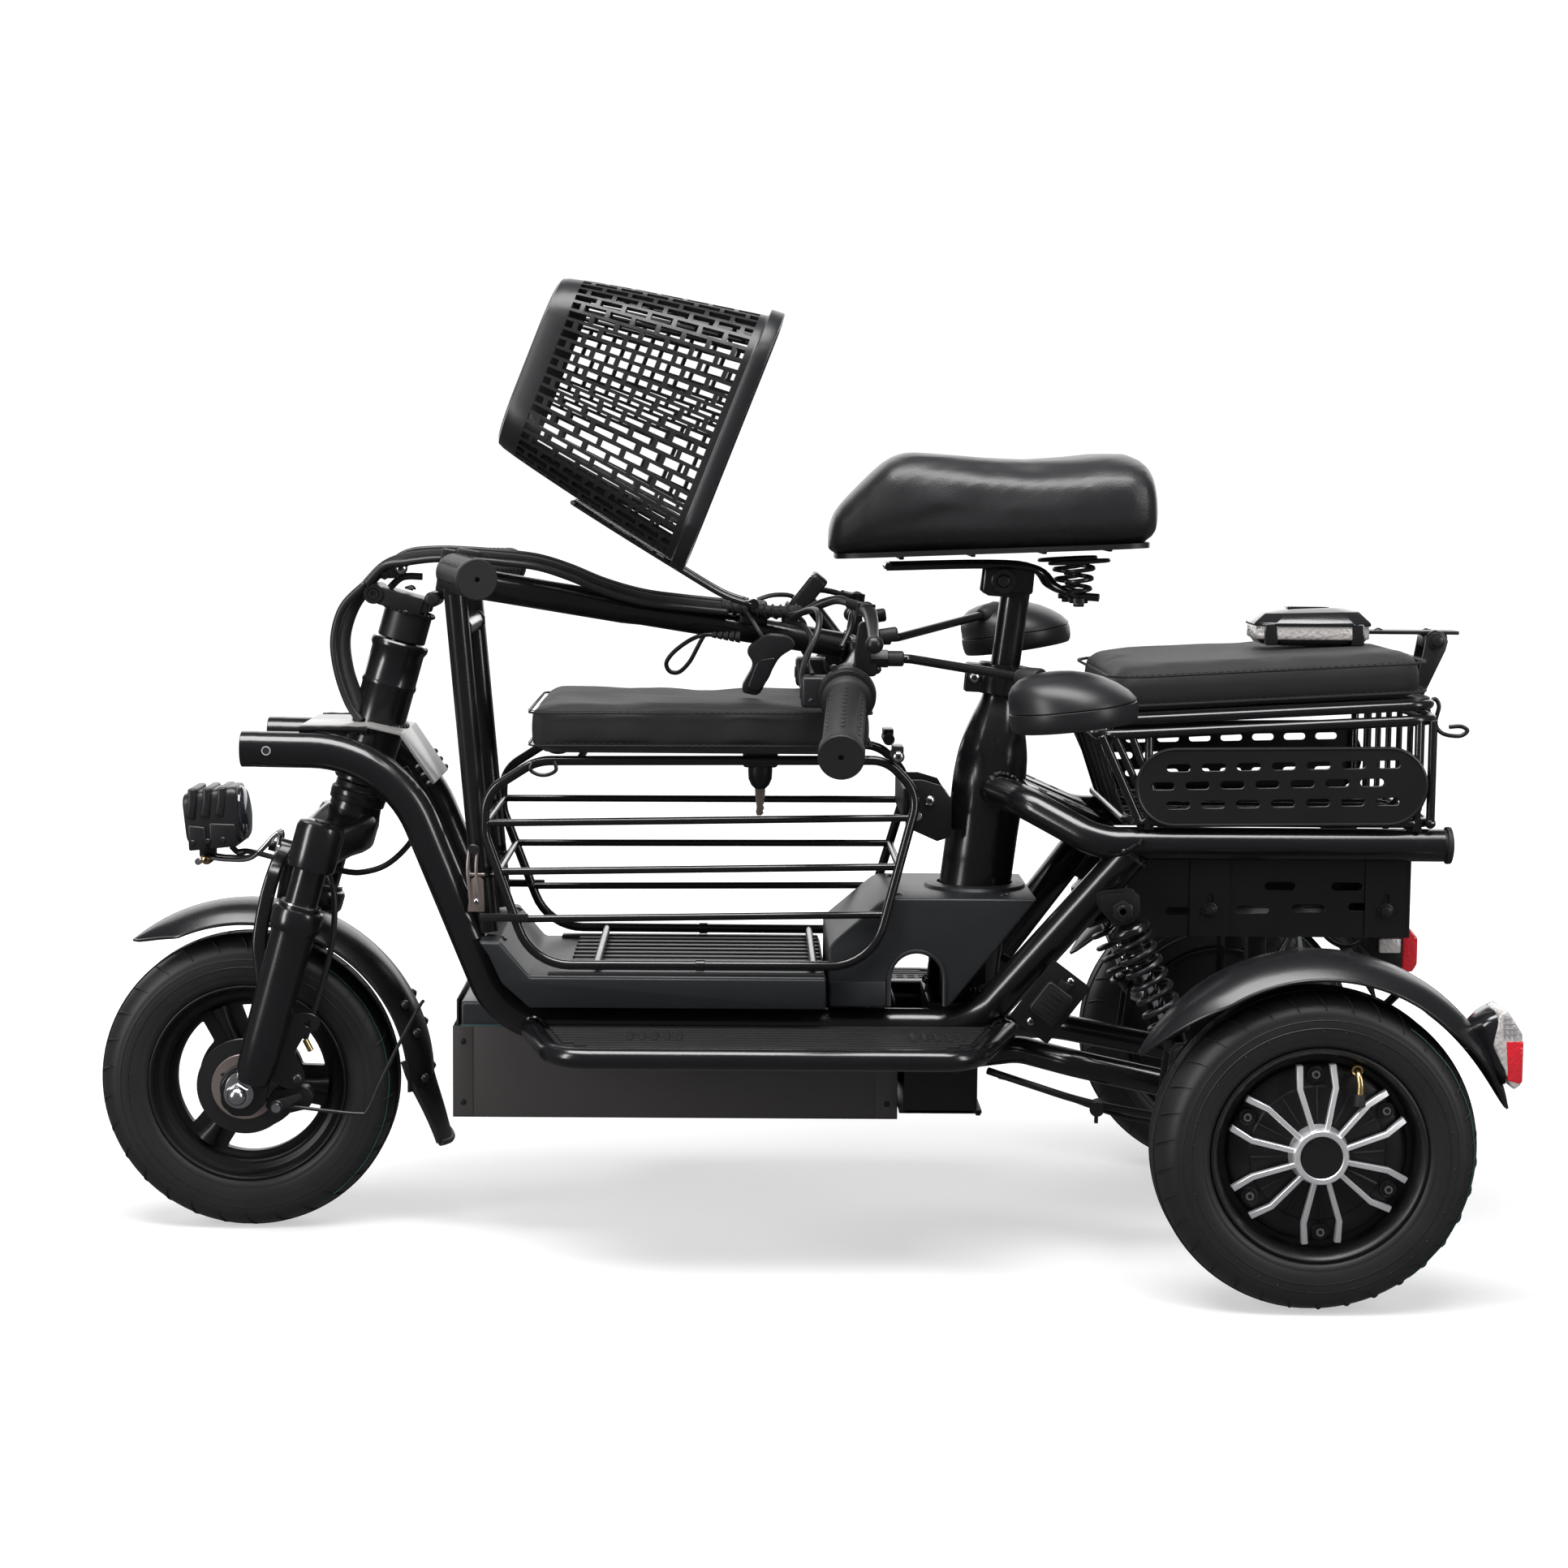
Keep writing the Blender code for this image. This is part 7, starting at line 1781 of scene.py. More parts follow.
def make_display():
    piece = Piece("display_shown", "column", "plastic")
    turn = Matrix.Translation((0.0225, 0.03, 0.544)) @ Matrix.Rotation(radians(-52), 4, "Y")
    piece.add(slab(rounded(0.0225, 0.026, 0.006, 5), -0.0075, 0.0065, "Z", 0.0025, segments=3), None, turn)
    piece.add(slab(rounded(0.0185, 0.0215, 0.004, 5), 0.006, 0.0078, "Z", 0.0006), "glass", turn)
    for k in range(3):
        piece.add(slab(oblong((-0.015, -0.012 + 0.012 * k), 0.004, 0.0022, 90), 0.007, 0.009, "Z", 0.0006),
                  "plastic", turn)
    piece.add(rod((0.022, 0.03, 0.544), (0.05, 0.032, 0.508), 0.0065, 20))
    piece.add(rod((0.056, 0.02, 0.496), (0.059, 0.046, 0.495), 0.0165, 28))
    piece.done()
    pod = Piece("switch_pod_shown", "column", "plastic")
    form = [(-0.029, 0.501), (-0.012, 0.515), (0.008, 0.5135), (0.015, 0.505), (0.0, 0.496),
            (-0.009, 0.479), (-0.017, 0.4625), (-0.031, 0.466), (-0.031, 0.472), (-0.021, 0.49)]
    pod.add(slab(soften(form + form[:2], 0.006, 4)[1:-1], -0.046, -0.02, bevel=0.003, segments=3))
    pod.add(slab(soften([(-0.018, 0.493), (-0.002, 0.496), (-0.0085, 0.478), (-0.017, 0.467),
                         (-0.027, 0.469), (-0.018, 0.493), (-0.002, 0.496)], 0.005, 4)[1:-1], -0.0485,
                 -0.044, bevel=0.0014, segments=3), "gloss")
    for k in range(5):
        at = Vector((-0.033 - 0.005 * k, -0.03, 0.5115 + 0.0004 * k))
        pod.add(lathe(soften([(0, 0), (0.0052 - 0.0005 * k, 0), (0.004 - 0.0005 * k, 0.0044), (0, 0.0044)],
                             0.0008), at, -X, 20), "rubber")
    pod.add(tube(smooth([(-0.056, -0.03, 0.5135), (-0.066, -0.03, 0.5125), (-0.077, -0.02, 0.507),
                         (-0.089, -0.012, 0.4975), (-0.0955, -0.008, 0.488), (-0.0925, -0.006, 0.4805),
                         (-0.0845, -0.004, 0.48), (-0.076, -0.003, 0.4885), (-0.07, -0.002, 0.4995),
                         (-0.065, -0.002, 0.509), (-0.06, -0.002, 0.516)], 8), 0.0019, 12), "wire")
    pod.done()


def make_controls():
    for name, side in SIDES:
        piece = Piece(f"control_{name}_shown", "column", "plastic")
        root, end = grip_point(0, side), grip_point(1, side)
        along = (end - root).normalized()
        housing = [(0, 0), (0.02, 0), (0.0228, 0.002), (0.0236, 0.005), (0.0236, 0.0062), (0.023, 0.0068),
                   (0.0236, 0.0074), (0.0236, 0.0105), (0.0222, 0.0135), (0.019, 0.0145), (0, 0.0145)]
        piece.add(lathe(housing, root + along * 0.0395, along, 48))
        piece.add(lathe(soften([(0, 0), (0.0152, 0), (0.0155, 0.018), (0, 0.018)], 0.002),
                        root + along * 0.004, along, 36))
        piece.add(rod(root + along * 0.018, root + along * 0.042, 0.0142, 32, 0.002))
        at = root + along * 0.029
        piece.add(block(at + Vector((-0.038, -0.0145, -0.015)), at + Vector((-0.01, 0.0145, 0.0105)), 0.003,
                        3))
        piece.add(block(at + Vector((-0.039, -0.007, -0.0085)), at + Vector((-0.0365, 0.007, 0.0025)),
                        0.0012), "gloss")
        piece.bolt(at + Vector((-0.03, side * 0.0145, -0.009)), Y * side, 0.002, 0.0008, "dome",
                   "black_steel", 0.0004)
        for shift in ((-0.012, 0.018), (0.014, -0.016)):
            piece.add(rod(at + Vector((shift[0], side * 0.016, shift[1])),
                          at + Vector((shift[0], side * 0.022, shift[1])), 0.003, 18), "black_steel")
        low_y, high_y = sorted((side * 0.099, side * 0.111))
        arm = [(0.06, 0.486), (0.077, 0.484), (0.079, 0.496), (0.076, 0.515), (0.074, 0.529),
               (0.064, 0.529), (0.061, 0.51)]
        piece.add(slab(soften(arm + arm[:2], 0.004, 3)[1:-1], low_y, high_y, bevel=0.002, segments=3),
                  "satin")
        piece.bolt((0.077, side * 0.105, 0.5), X, 0.0035, 0.003, "dome", "black_steel")
        nut_z = 0.499 if side < 0 else 0.5045
        piece.add(bevelled(rod((0.074, side * 0.105, nut_z), (0.088, side * 0.105, nut_z), 0.0082, 6,
                               0.0002), 0.0006), "satin")
        piece.add(rod((0.086, side * 0.105, nut_z), (0.101, side * 0.105, nut_z), 0.0064, 24, 0.0012),
                  "rubber")
        tip = Vector((0.199, side * 0.205, 0.4895 if side < 0 else 0.523))
        stalk = round_path([(0.095, side * 0.105, nut_z), (0.106, side * 0.106, nut_z), tip], (0.01,), 8)
        piece.add(tube(stalk, 0.0038, 18), "paint")
        piece.add(rod((0.08, side * 0.105, nut_z + 0.018), (0.096, side * 0.105, nut_z + 0.0205), 0.006, 24,
                      0.0015), "rubber")
        piece.add(rod((0.068, side * 0.105, 0.54), (0.056, side * 0.088, 0.543), 0.0042, 20, 0.001),
                  "black_steel")
        piece.done([f"control_{name}"])

        lever = Piece(f"brake_lever_{name}_shown", f"brake_lever_{name}", "satin")
        path = [Vector((0.0692, side * 0.105, 0.5385)), Vector((0.0712, side * 0.118, 0.5372)),
                Vector((0.0722, side * 0.135, 0.5345)), Vector((0.0722, side * 0.17, 0.5285)),
                Vector((0.0712, side * 0.21, 0.523)), Vector((0.0704, side * 0.246, 0.5188))]
        line = smooth(path, 6)
        sizes = [1.15 - 0.45 * min(1, k / (len(line) - 1) * 1.3) for k in range(len(line))]
        lever.add(sweep(line, rounded(0.0042, 0.0062, 0.0036, 5), scale=sizes, up=X))
        lever.add(ball((0.0704, side * 0.248, 0.5185), 0.0072, 28))
        lever.add(rod((0.0685, side * 0.105, 0.533), (0.07, side * 0.105, 0.544), 0.0078, 28))
        lever.bolt((0.07, side * 0.105, 0.5438), Z, 0.0046, 0.0016, "dome", "black_steel")
        lever.done([f"brake_lever_{name}"])


def make_grips():
    for node, side, body in (("throttle_grip", -1, "throttle"), ("grip_right", 1, "column")):
        piece = Piece(f"{node}_shown", body, "rubber")
        root, end = grip_point(0, side), grip_point(1, side)
        along = (end - root).normalized()
        profile = [(0, 0.056), (0.019, 0.056), (0.02, 0.0568), (0.02, 0.0592), (0.0172, 0.0612),
                   (0.016, 0.064), (0.016, 0.183), (0.0166, 0.185), (0.0174, 0.1875), (0.018, 0.189),
                   (0.018, 0.1992), (0.0172, 0.1998), (0.0172, 0.2006), (0.018, 0.2012), (0.018, 0.2035),
                   (0.0172, 0.2045), (0.0024, 0.2045), (0.0018, 0.2015), (0, 0.2015)]
        piece.add(lathe(profile, root, along, 56))
        grip_texture(piece, root, along, 0.016, 0.072, 0.18, 11, 7)
        piece.done([node])


def make_mirrors():
    for name, side in SIDES:
        centre = Vector((0.2265 if side < 0 else 0.2215, side * 0.226, 0.474 if side < 0 else 0.509))
        lean = radians(-7 if side < 0 else -9)
        place = Matrix.Translation(centre) @ Matrix.Rotation(lean, 4, "Y")
        piece = Piece(f"mirror_{name}_shown", f"mirror_{name}", "plastic")
        profile = [(0.0452, -0.0195), (0.0462, -0.0212), (0.0478, -0.0212), (0.0492, -0.019),
                   (0.05, -0.015), (0.0504, -0.009), (0.05, -0.0052), (0.049, -0.0042), (0.05, -0.0036),
                   (0.0496, -0.002), (0.047, 0.005), (0.0425, 0.0118), (0.036, 0.018), (0.028, 0.0226),
                   (0.018, 0.0255), (0.009, 0.0268), (0, 0.027)]
        stretch = Matrix.Diagonal((1.0, 1, 0.93, 1))
        shell = lathe([(0, -0.0195)] + profile, (0, 0, 0), Z, 96)
        for vert in shell.verts:
            vert.co.x -= 0.55 * max(0.0, vert.co.z)
        piece.add(shell, "plastic", place @ stretch)
        piece.add(lathe([(0, -0.0202), (0.0446, -0.0202), (0.045, -0.0198), (0.0446, -0.019), (0, -0.019)],
                        (0, 0, 0), Z, 96), "mirror", place @ stretch)
        tip = Vector((0.199, side * 0.205, 0.4895 if side < 0 else 0.523))
        root = Vector((0.106, side * 0.106, 0.499 if side < 0 else 0.5045))
        inward = (root - tip).normalized()
        piece.add(lathe(soften([(0, -0.01), (0.0098, -0.01), (0.0088, 0.006), (0.006, 0.014), (0, 0.014)],
                               0.002), tip + inward * 0.004, inward, 28), "rubber")
        piece.done([f"mirror_{name}"], 40)


# --- Cables -----------------------------------------------------------------------------------
def make_loom(name, points, radius, look, bodies, ribs=False):
    """A cable along a smooth line, with a spiral rib if asked; it rides on its body when both bodies are the
    same, and otherwise stays loose, on no body.
    """
    piece = Piece(name, bodies[0], look)
    line = smooth(points, 8)
    piece.add(tube(line, radius, 14))
    if ribs:
        marks = [0.0]
        for a, b in zip(line, line[1:]):
            marks.append(marks[-1] + (b - a).length)
        size = radius * 1.12
        path = []
        count = int(marks[-1] / 0.0008)
        for n in range(count + 1):
            want = marks[-1] * n / count
            k = min(len(marks) - 2, max(j for j, m in enumerate(marks) if m <= want + 1e-9))
            part = (want - marks[k]) / max(1e-9, marks[k + 1] - marks[k])
            tangent = (line[k + 1] - line[k]).normalized()
            turn = placed(line[k].lerp(line[k + 1], part), tangent)
            a = 2 * pi * want / 0.0072
            path.append(turn @ Vector((size * cos(a), size * sin(a), 0)))
        piece.add(tube(path, 0.0011, 6))
    if bodies[0] == bodies[1]:
        piece.done()
        return
    mesh = bpy.data.meshes.new(name)
    piece.solid.to_mesh(mesh)
    piece.solid.free()
    for item in piece.looks:
        mesh.materials.append(LOOKS[item])
    made = bpy.data.objects.new(name, mesh)
    bpy.context.scene.collection.objects.link(made)
    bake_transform(made)


def make_cables():
    low = ((-0.352, 0.437), (-0.36, 0.452), (-0.3695, 0.48), (-0.372, 0.508), (-0.364, 0.534),
           (-0.348, 0.553))
    lower = ((0.0058, "braid", -0.01, 0.0035), (0.0034, "wire", -0.02, -0.004),
             (0.0042, "braid", 0.006, 0.003), (0.0028, "wire", 0.016, -0.001))
    for n, (radius, look, y, shift) in enumerate(lower):
        points = [(x + shift * (1 if 0 < k < 5 else 0.3), y * (1 - 0.2 * sin(pi * k / 5)), z) for k,
                  (x, z) in enumerate(low)]
        make_loom(f"loom_low_{n}", points, radius, look, ("frame", "steering"))
    high = ((-0.348, 0.553), (-0.333, 0.568), (-0.315, 0.575), (-0.29, 0.578), (-0.262, 0.5775),
            (-0.235, 0.5755), (-0.205, 0.572), (-0.178, 0.564), (-0.148, 0.552), (-0.115, 0.543),
            (-0.08, 0.5385), (-0.043, 0.535))
    upper = ((0.005, "braid", -0.01, 0.0), (0.003, "wire", -0.019, -0.0035),
             (0.0038, "braid", 0.006, 0.001), (0.0026, "wire", 0.016, -0.003),
             (0.0026, "wire", -0.0015, 0.005))
    for n, (radius, look, y, shift) in enumerate(upper):
        points = [(x, y * (1 + 0.25 * sin(0.9 * k + n)), z + shift * (1 if k > 1 else 0)) for k,
                  (x, z) in enumerate(high)]
        make_loom(f"loom_high_{n}", points, radius, look, ("steering", "column"))
    make_loom("spiral_loom", [(-0.048, -0.008, 0.536), (-0.028, -0.012, 0.5345), (-0.004, -0.018, 0.5325),
                              (0.018, -0.026, 0.533)], 0.0052, "rubber", ("column", "column"), True)
    runs = (
        ("brake_cable_left", 0.0026, [(0.008, -0.03, 0.53), (0.022, -0.048, 0.534), (0.034, -0.066, 0.54),
                                      (0.046, -0.08, 0.5445), (0.056, -0.088, 0.543)]),
        ("brake_cable_right", 0.0026, [(0.004, 0.01, 0.529), (0.018, 0.05, 0.54), (0.034, 0.074, 0.547),
                                       (0.046, 0.084, 0.546), (0.056, 0.088, 0.543)]),
        ("throttle_cable", 0.0027, [(0.01, -0.034, 0.528), (0.024, -0.06, 0.536), (0.031, -0.09, 0.535),
                                    (0.03, -0.108, 0.52), (0.02, -0.116, 0.498), (0.017, -0.118, 0.48),
                                    (0.024, -0.122, 0.468)]),
        ("switch_cable", 0.0022, [(0.006, -0.024, 0.526), (0.02, -0.05, 0.522), (0.026, -0.08, 0.512),
                                  (0.022, -0.104, 0.496), (0.026, -0.116, 0.486)]),
        ("switch_cable_right", 0.0022, [(0.004, 0.016, 0.524), (0.018, 0.05, 0.524), (0.024, 0.084, 0.514),
                                        (0.021, 0.104, 0.498), (0.026, 0.116, 0.487)]),
        ("display_cable", 0.002, [(-0.03, 0.006, 0.536), (-0.01, 0.016, 0.544), (0.006, 0.026, 0.545),
                                   (0.016, 0.03, 0.542)]),
        ("pod_cable", 0.002, [(-0.034, -0.004, 0.535), (-0.026, -0.022, 0.53), (-0.018, -0.03, 0.518),
                               (-0.014, -0.032, 0.512)]),
        ("bar_cable", 0.0022, [(0.012, -0.026, 0.528), (0.034, -0.04, 0.542), (0.052, -0.058, 0.546),
                               (0.06, -0.076, 0.538), (0.058, -0.092, 0.524), (0.05, -0.104, 0.508)]),
    )
    for name, radius, points in runs:
        make_loom(name, points, radius, "wire", ("column", "column"))
    make_loom("fork_cable", [(-0.32, 0.012, 0.395), (-0.306, 0.014, 0.366), (-0.312, 0.012, 0.336),
                             (-0.333, 0.006, 0.313), (-0.356, -0.004, 0.306), (-0.376, -0.018, 0.31),
                             (-0.39, -0.03, 0.313)], 0.0026, "wire", ("frame", "steering"))
    make_loom("fork_cable_low", [(-0.39, -0.03, 0.313), (-0.408, -0.034, 0.317), (-0.43, -0.02, 0.321),
                                 (-0.452, 0.0, 0.323), (-0.462, 0.004, 0.322)], 0.0024, "wire",
              ("steering", "fork_lowers"))
    make_loom("brake_hose", [(-0.398, -0.052, 0.17), (-0.386, -0.047, 0.21), (-0.376, -0.044, 0.25),
                             (-0.374, -0.04, 0.29), (-0.382, -0.032, 0.312)], 0.0026, "wire",
              ("fork_lowers", "fork_lowers"))
    axle = (("axle_cable_near", 0.0032, [(0.18, -0.05, 0.146), (0.215, -0.07, 0.138),
                                         (0.255, -0.084, 0.128), (0.3, -0.086, 0.119),
                                         (0.35, -0.096, 0.114), (0.4, -0.12, 0.118),
                                         (0.419, -0.16, 0.121)]),
            ("axle_cable_far", 0.0032, [(0.18, 0.05, 0.146), (0.215, 0.07, 0.137), (0.255, 0.084, 0.127),
                                        (0.3, 0.086, 0.118), (0.35, 0.096, 0.113), (0.4, 0.12, 0.118),
                                        (0.419, 0.16, 0.121)]),
            ("axle_cable_thin", 0.0022, [(0.19, -0.044, 0.14), (0.225, -0.06, 0.134),
                                         (0.262, -0.078, 0.123), (0.3, -0.08, 0.112), (0.352, -0.09, 0.108),
                                         (0.405, -0.11, 0.115)]),)
    for name, radius, points in axle:
        make_loom(name, points, radius, "wire", ("rear_axle", "rear_axle"))
    ties = Piece("cable_ties", "rear_axle", "rubber")
    for x, z in ((0.268, 0.122), (0.335, 0.1125)):
        ties.add(rod((x, -0.093, z), (x + 0.003, -0.074, z), 0.0062, 16), "rubber")
        ties.add(block((x - 0.001, -0.087, z - 0.013), (x + 0.002, -0.083, z - 0.004), 0.0004), "rubber")
    ties.done()


# --- Rear axle --------------------------------------------------------------------------------
def make_shocks():
    for name, side in SIDES:
        y = side * SHOCK_HALF
        top, foot = Vector((SHOCK_TOP.x, y, SHOCK_TOP.z)), Vector((SHOCK_FOOT.x, y, SHOCK_FOOT.z))
        along = (foot - top).normalized()
        body = Piece(f"shock_body_{name}_shown", f"shock_upper_{name}", "paint")
        low, high = sorted((side * 0.1295, side * 0.1505))
        body.add(rod((top.x, low, top.z), (top.x, high, top.z), 0.0098, 32, 0.0012))
        body.add(lathe(soften([(0, 0.006), (0.0075, 0.006), (0.0085, 0.012), (0.0165, 0.016),
                               (0.018, 0.0185), (0.018, 0.0225), (0.0105, 0.024), (0.0098, 0.052),
                               (0.0088, 0.056), (0.0062, 0.056), (0.0062, 0.028), (0, 0.028)], 0.001), top,
                       along, 40))
        for k in range(5):
            body.add(lathe([(0.01, 0), (0.0122, 0.0004), (0.0125, 0.0012), (0.0122, 0.002), (0.01, 0.0024)],
                           top + along * (0.0275 + 0.0048 * k), along, 36))
        for sign in (-1, 1):
            ear = [(top.x - 0.018, 0.3115), (top.x + 0.0135, 0.3145), (top.x + 0.0155, 0.296),
                   (top.x + 0.006, 0.2865), (top.x - 0.007, 0.288), (top.x - 0.018, 0.299)]
            middle = side * SHOCK_HALF + sign * 0.0125
            body.add(slab(soften(ear + ear[:2], 0.006, 4)[1:-1], middle - 0.0013, middle + 0.0013,
                          bevel=0.0005), "satin")
        out = Y * side
        body.bolt((top.x, side * 0.154, top.z), out, 0.0092, 0.005, "hex", "black_steel")
        body.bolt((top.x, side * 0.1585, top.z), out, 0.005, 0.002, "flat", "black_steel", 0.001)
        body.done([f"shock_body_{name}"])
        rods = Piece(f"shock_rod_{name}_shown", f"shock_lower_{name}", "paint")
        rods.add(rod(top + along * 0.057, foot - along * 0.01, 0.005, 28), "chrome")
        rods.add(lathe(soften([(0, 0), (0.0098, 0), (0.0168, 0.0035), (0.0168, 0.0065), (0.007, 0.0085),
                               (0, 0.0085)], 0.001), foot - along * 0.0215, along, 40))
        rods.add(lathe(soften([(0, 0), (0.0105, 0), (0.0085, 0.012), (0, 0.012)], 0.001),
                       foot - along * 0.0135, along, 32))
        rods.add(rod((foot.x, side * 0.132, foot.z), (foot.x, side * 0.148, foot.z), 0.0082, 28, 0.001))
        rods.done([f"shock_rod_{name}"])
        spring = Piece(f"shock_spring_{name}_shown", f"shock_upper_{name}", "black_steel")
        spring.add(coil(top + along * 0.0235, foot - along * 0.019, 0.015, 0.00235, 7.2, 22))
        made = spring.done([f"shock_spring_{name}"])
        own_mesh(made)


def make_swing_arm():
    piece = Piece("swing_arm_shown", "rear_axle")
    profile = [(0, -0.236), (0.0072, -0.236), (0.008, -0.235), (0.008, -0.1965), (0.0132, -0.196),
               (0.014, -0.195), (0.014, 0.195), (0.0132, 0.196), (0.008, 0.1965), (0.008, 0.235),
               (0.0072, 0.236), (0, 0.236)]
    piece.add(lathe(profile, REAR_AXLE, Y, 40))
    piece.add(lathe([(0.0064, -0.058), (0.0122, -0.058), (0.0128, -0.057), (0.0128, 0.057), (0.0122, 0.058),
                     (0.0064, 0.058)], SWING_PIVOT, Y, 40))
    for side in (-1, 1):
        path = [(0.158, side * 0.04, 0.157), (0.205, side * 0.054, 0.166), (0.25, side * 0.088, 0.16),
                (0.414, side * 0.098, 0.127)]
        piece.add(tube(round_path(path, (0.05, 0.05), 12), 0.0115, 28))
        piece.weld((0.4065, side * 0.0975, 0.1285), (0.16, 0, -0.03), 0.012, 0.0019)
        piece.weld((0.167, side * 0.0425, 0.1585), (0.05, side * 0.015, 0.01), 0.012, 0.0019)
        ear = [(0.312, 0.129), (0.344, 0.129), (0.3365, 0.186), (0.333, 0.1915), (0.323, 0.1915),
               (0.3195, 0.186)]
        for inner in (0.124, 0.156):
            middle = side * inner
            piece.add(slab(ear, middle - 0.0022, middle + 0.0022, bevel=0.0008), "satin")
        piece.add(rod((0.327, side * 0.094, 0.143), (0.327, side * 0.158, 0.143), 0.009, 28))
        piece.add(rod((SHOCK_FOOT.x, side * 0.122, SHOCK_FOOT.z),
                      (SHOCK_FOOT.x, side * 0.159, SHOCK_FOOT.z), 0.0036, 18), "black_steel")
        piece.bolt((SHOCK_FOOT.x, side * 0.1582, SHOCK_FOOT.z), Y * side, 0.0075, 0.0048, "hex",
                   "black_steel")
        piece.bolt((SHOCK_FOOT.x, side * 0.1225, SHOCK_FOOT.z), -Y * side, 0.007, 0.004, "hex", "steel")
    piece.done(["swing_arm"])


def kinked_ray(matrix, angle, lean, low, high):
    """A machined ray that rises from the hub ring and bends over the motor's edge."""
    a = angle
    inner = Vector((0.0215 * cos(a), 0.0215 * sin(a), high))
    knee = Vector((0.0545 * cos(a), 0.0545 * sin(a), high - 0.004))
    outer = Vector((0.0718 * cos(a + lean), 0.0718 * sin(a + lean), low))
    path = [inner, knee, outer]
    sections = []
    for k, point in enumerate(path):
        ahead = (path[min(2, k + 1)] - path[max(0, k - 1)]).normalized()
        side = Z.cross(ahead).normalized() * (0.0019, 0.0021, 0.0025)[k]
        sections.append([matrix @ p for p in (point - side - Z * 0.006, point + side - Z * 0.006,
                                              point + side, point - side)])
    return bevelled(loft(sections), 0.0004, 1)


def make_rear_wheels():
    for name, side in SIDES:
        centre = REAR_AXLE + Y * side * TRACK
        body = f"rear_wheel_{name}"
        make_tyre(f"rear_tyre_{name}_shown", body, f"rear_tyre_{name}", centre, 0.038, 34)
        piece = Piece(f"hub_motor_{name}_shown", body, "satin")
        hub = [(0, -0.012), (0.0084, -0.012), (0.0084, -0.05), (0.019, -0.05), (0.0215, -0.048),
               (0.022, -0.036), (0.055, -0.031), (0.077, -0.03), (0.08, -0.0325), (0.0828, -0.035),
               (0.0843, -0.0345), (0.0846, -0.033), (0.0846, 0.033), (0.0842, 0.0345), (0.0826, 0.035),
               (0.0805, 0.0335), (0.0785, 0.029), (0.0775, 0.017), (0.0755, 0.014), (0.0715, 0.014),
               (0.07, 0.0155), (0.0695, 0.019), (0.066, 0.0215), (0.054, 0.0222), (0.0525, 0.0238),
               (0.03, 0.0262), (0.025, 0.0268), (0.0235, 0.0268), (0, 0.0268)]
        piece.add(lathe(hub, centre, Y * side, 128))
        turn = frame_of(centre, X * -side, Z, Y * side)
        ring = [(0.0166, 0.0262), (0.0166, 0.0405), (0.0172, 0.0412), (0.0206, 0.0412), (0.0214, 0.0402),
                (0.0222, 0.033), (0.024, 0.0262)]
        piece.add(lathe(ring, centre, Y * side, 96), "cut")
        piece.add(lathe([(0, 0.026), (0.0172, 0.026), (0.0172, 0.0396), (0.0164, 0.0402), (0, 0.0402)],
                        centre, Y * side, 64))
        for pair in range(6):
            middle = radians(93 + 60 * pair)
            for sign in (-1, 1):
                piece.add(kinked_ray(turn, middle + sign * 0.258, sign * -0.078, 0.029, 0.038), "cut")
            at = turn @ Vector((0.0625 * cos(middle), 0.0625 * sin(middle), 0.022))
            piece.add(lathe(soften([(0, 0), (0.0075, 0), (0.0065, 0.003), (0, 0.003)], 0.0006),
                            at - Y * side * 0.001, Y * side, 24))
            piece.bolt(at + Y * side * 0.0018, Y * side, 0.0034, 0.0026, "flat", "steel")
            piece.bolt(at + Y * side * 0.002, Y * side, 0.0017, 0.0012, "hex", "black_steel", 0.0004)
        for k in range(12):
            a = radians(93 + 30 * k)
            web = [turn @ Vector((r * cos(a), r * sin(a), z)) for r,
                   z in ((0.026, 0.0262), (0.04, 0.0246), (0.052, 0.0236))]
            piece.add(tube(web, 0.0011, 8))
        stem = [turn @ Vector((r * cos(radians(a)), r * sin(radians(a)), z)) for r, a,
                z in ((0.076, 66.5, 0.012), (0.0725, 66.5, 0.024), (0.069, 65, 0.03), (0.064, 62, 0.0325),
                      (0.056, 58, 0.0335))]
        piece.add(tube(smooth(stem, 6), 0.0026, 16), "brass")
        piece.add(lathe([(0.003, 0), (0.0044, 0.0004), (0.0044, 0.0024), (0.003, 0.003)], stem[1],
                        stem[1] - stem[0], 20), "brass")
        piece.add(lathe(soften([(0, -0.001), (0.0038, -0.001), (0.0046, 0.0085), (0, 0.0085)], 0.0008),
                        stem[4], stem[4] - stem[3], 20), "rubber")
        piece.add(rod(turn @ Vector((0, 0, -0.048)), turn @ Vector((0, 0, -0.056)), 0.015, 40), "satin")
        piece.done([f"hub_motor_{name}"], 34)


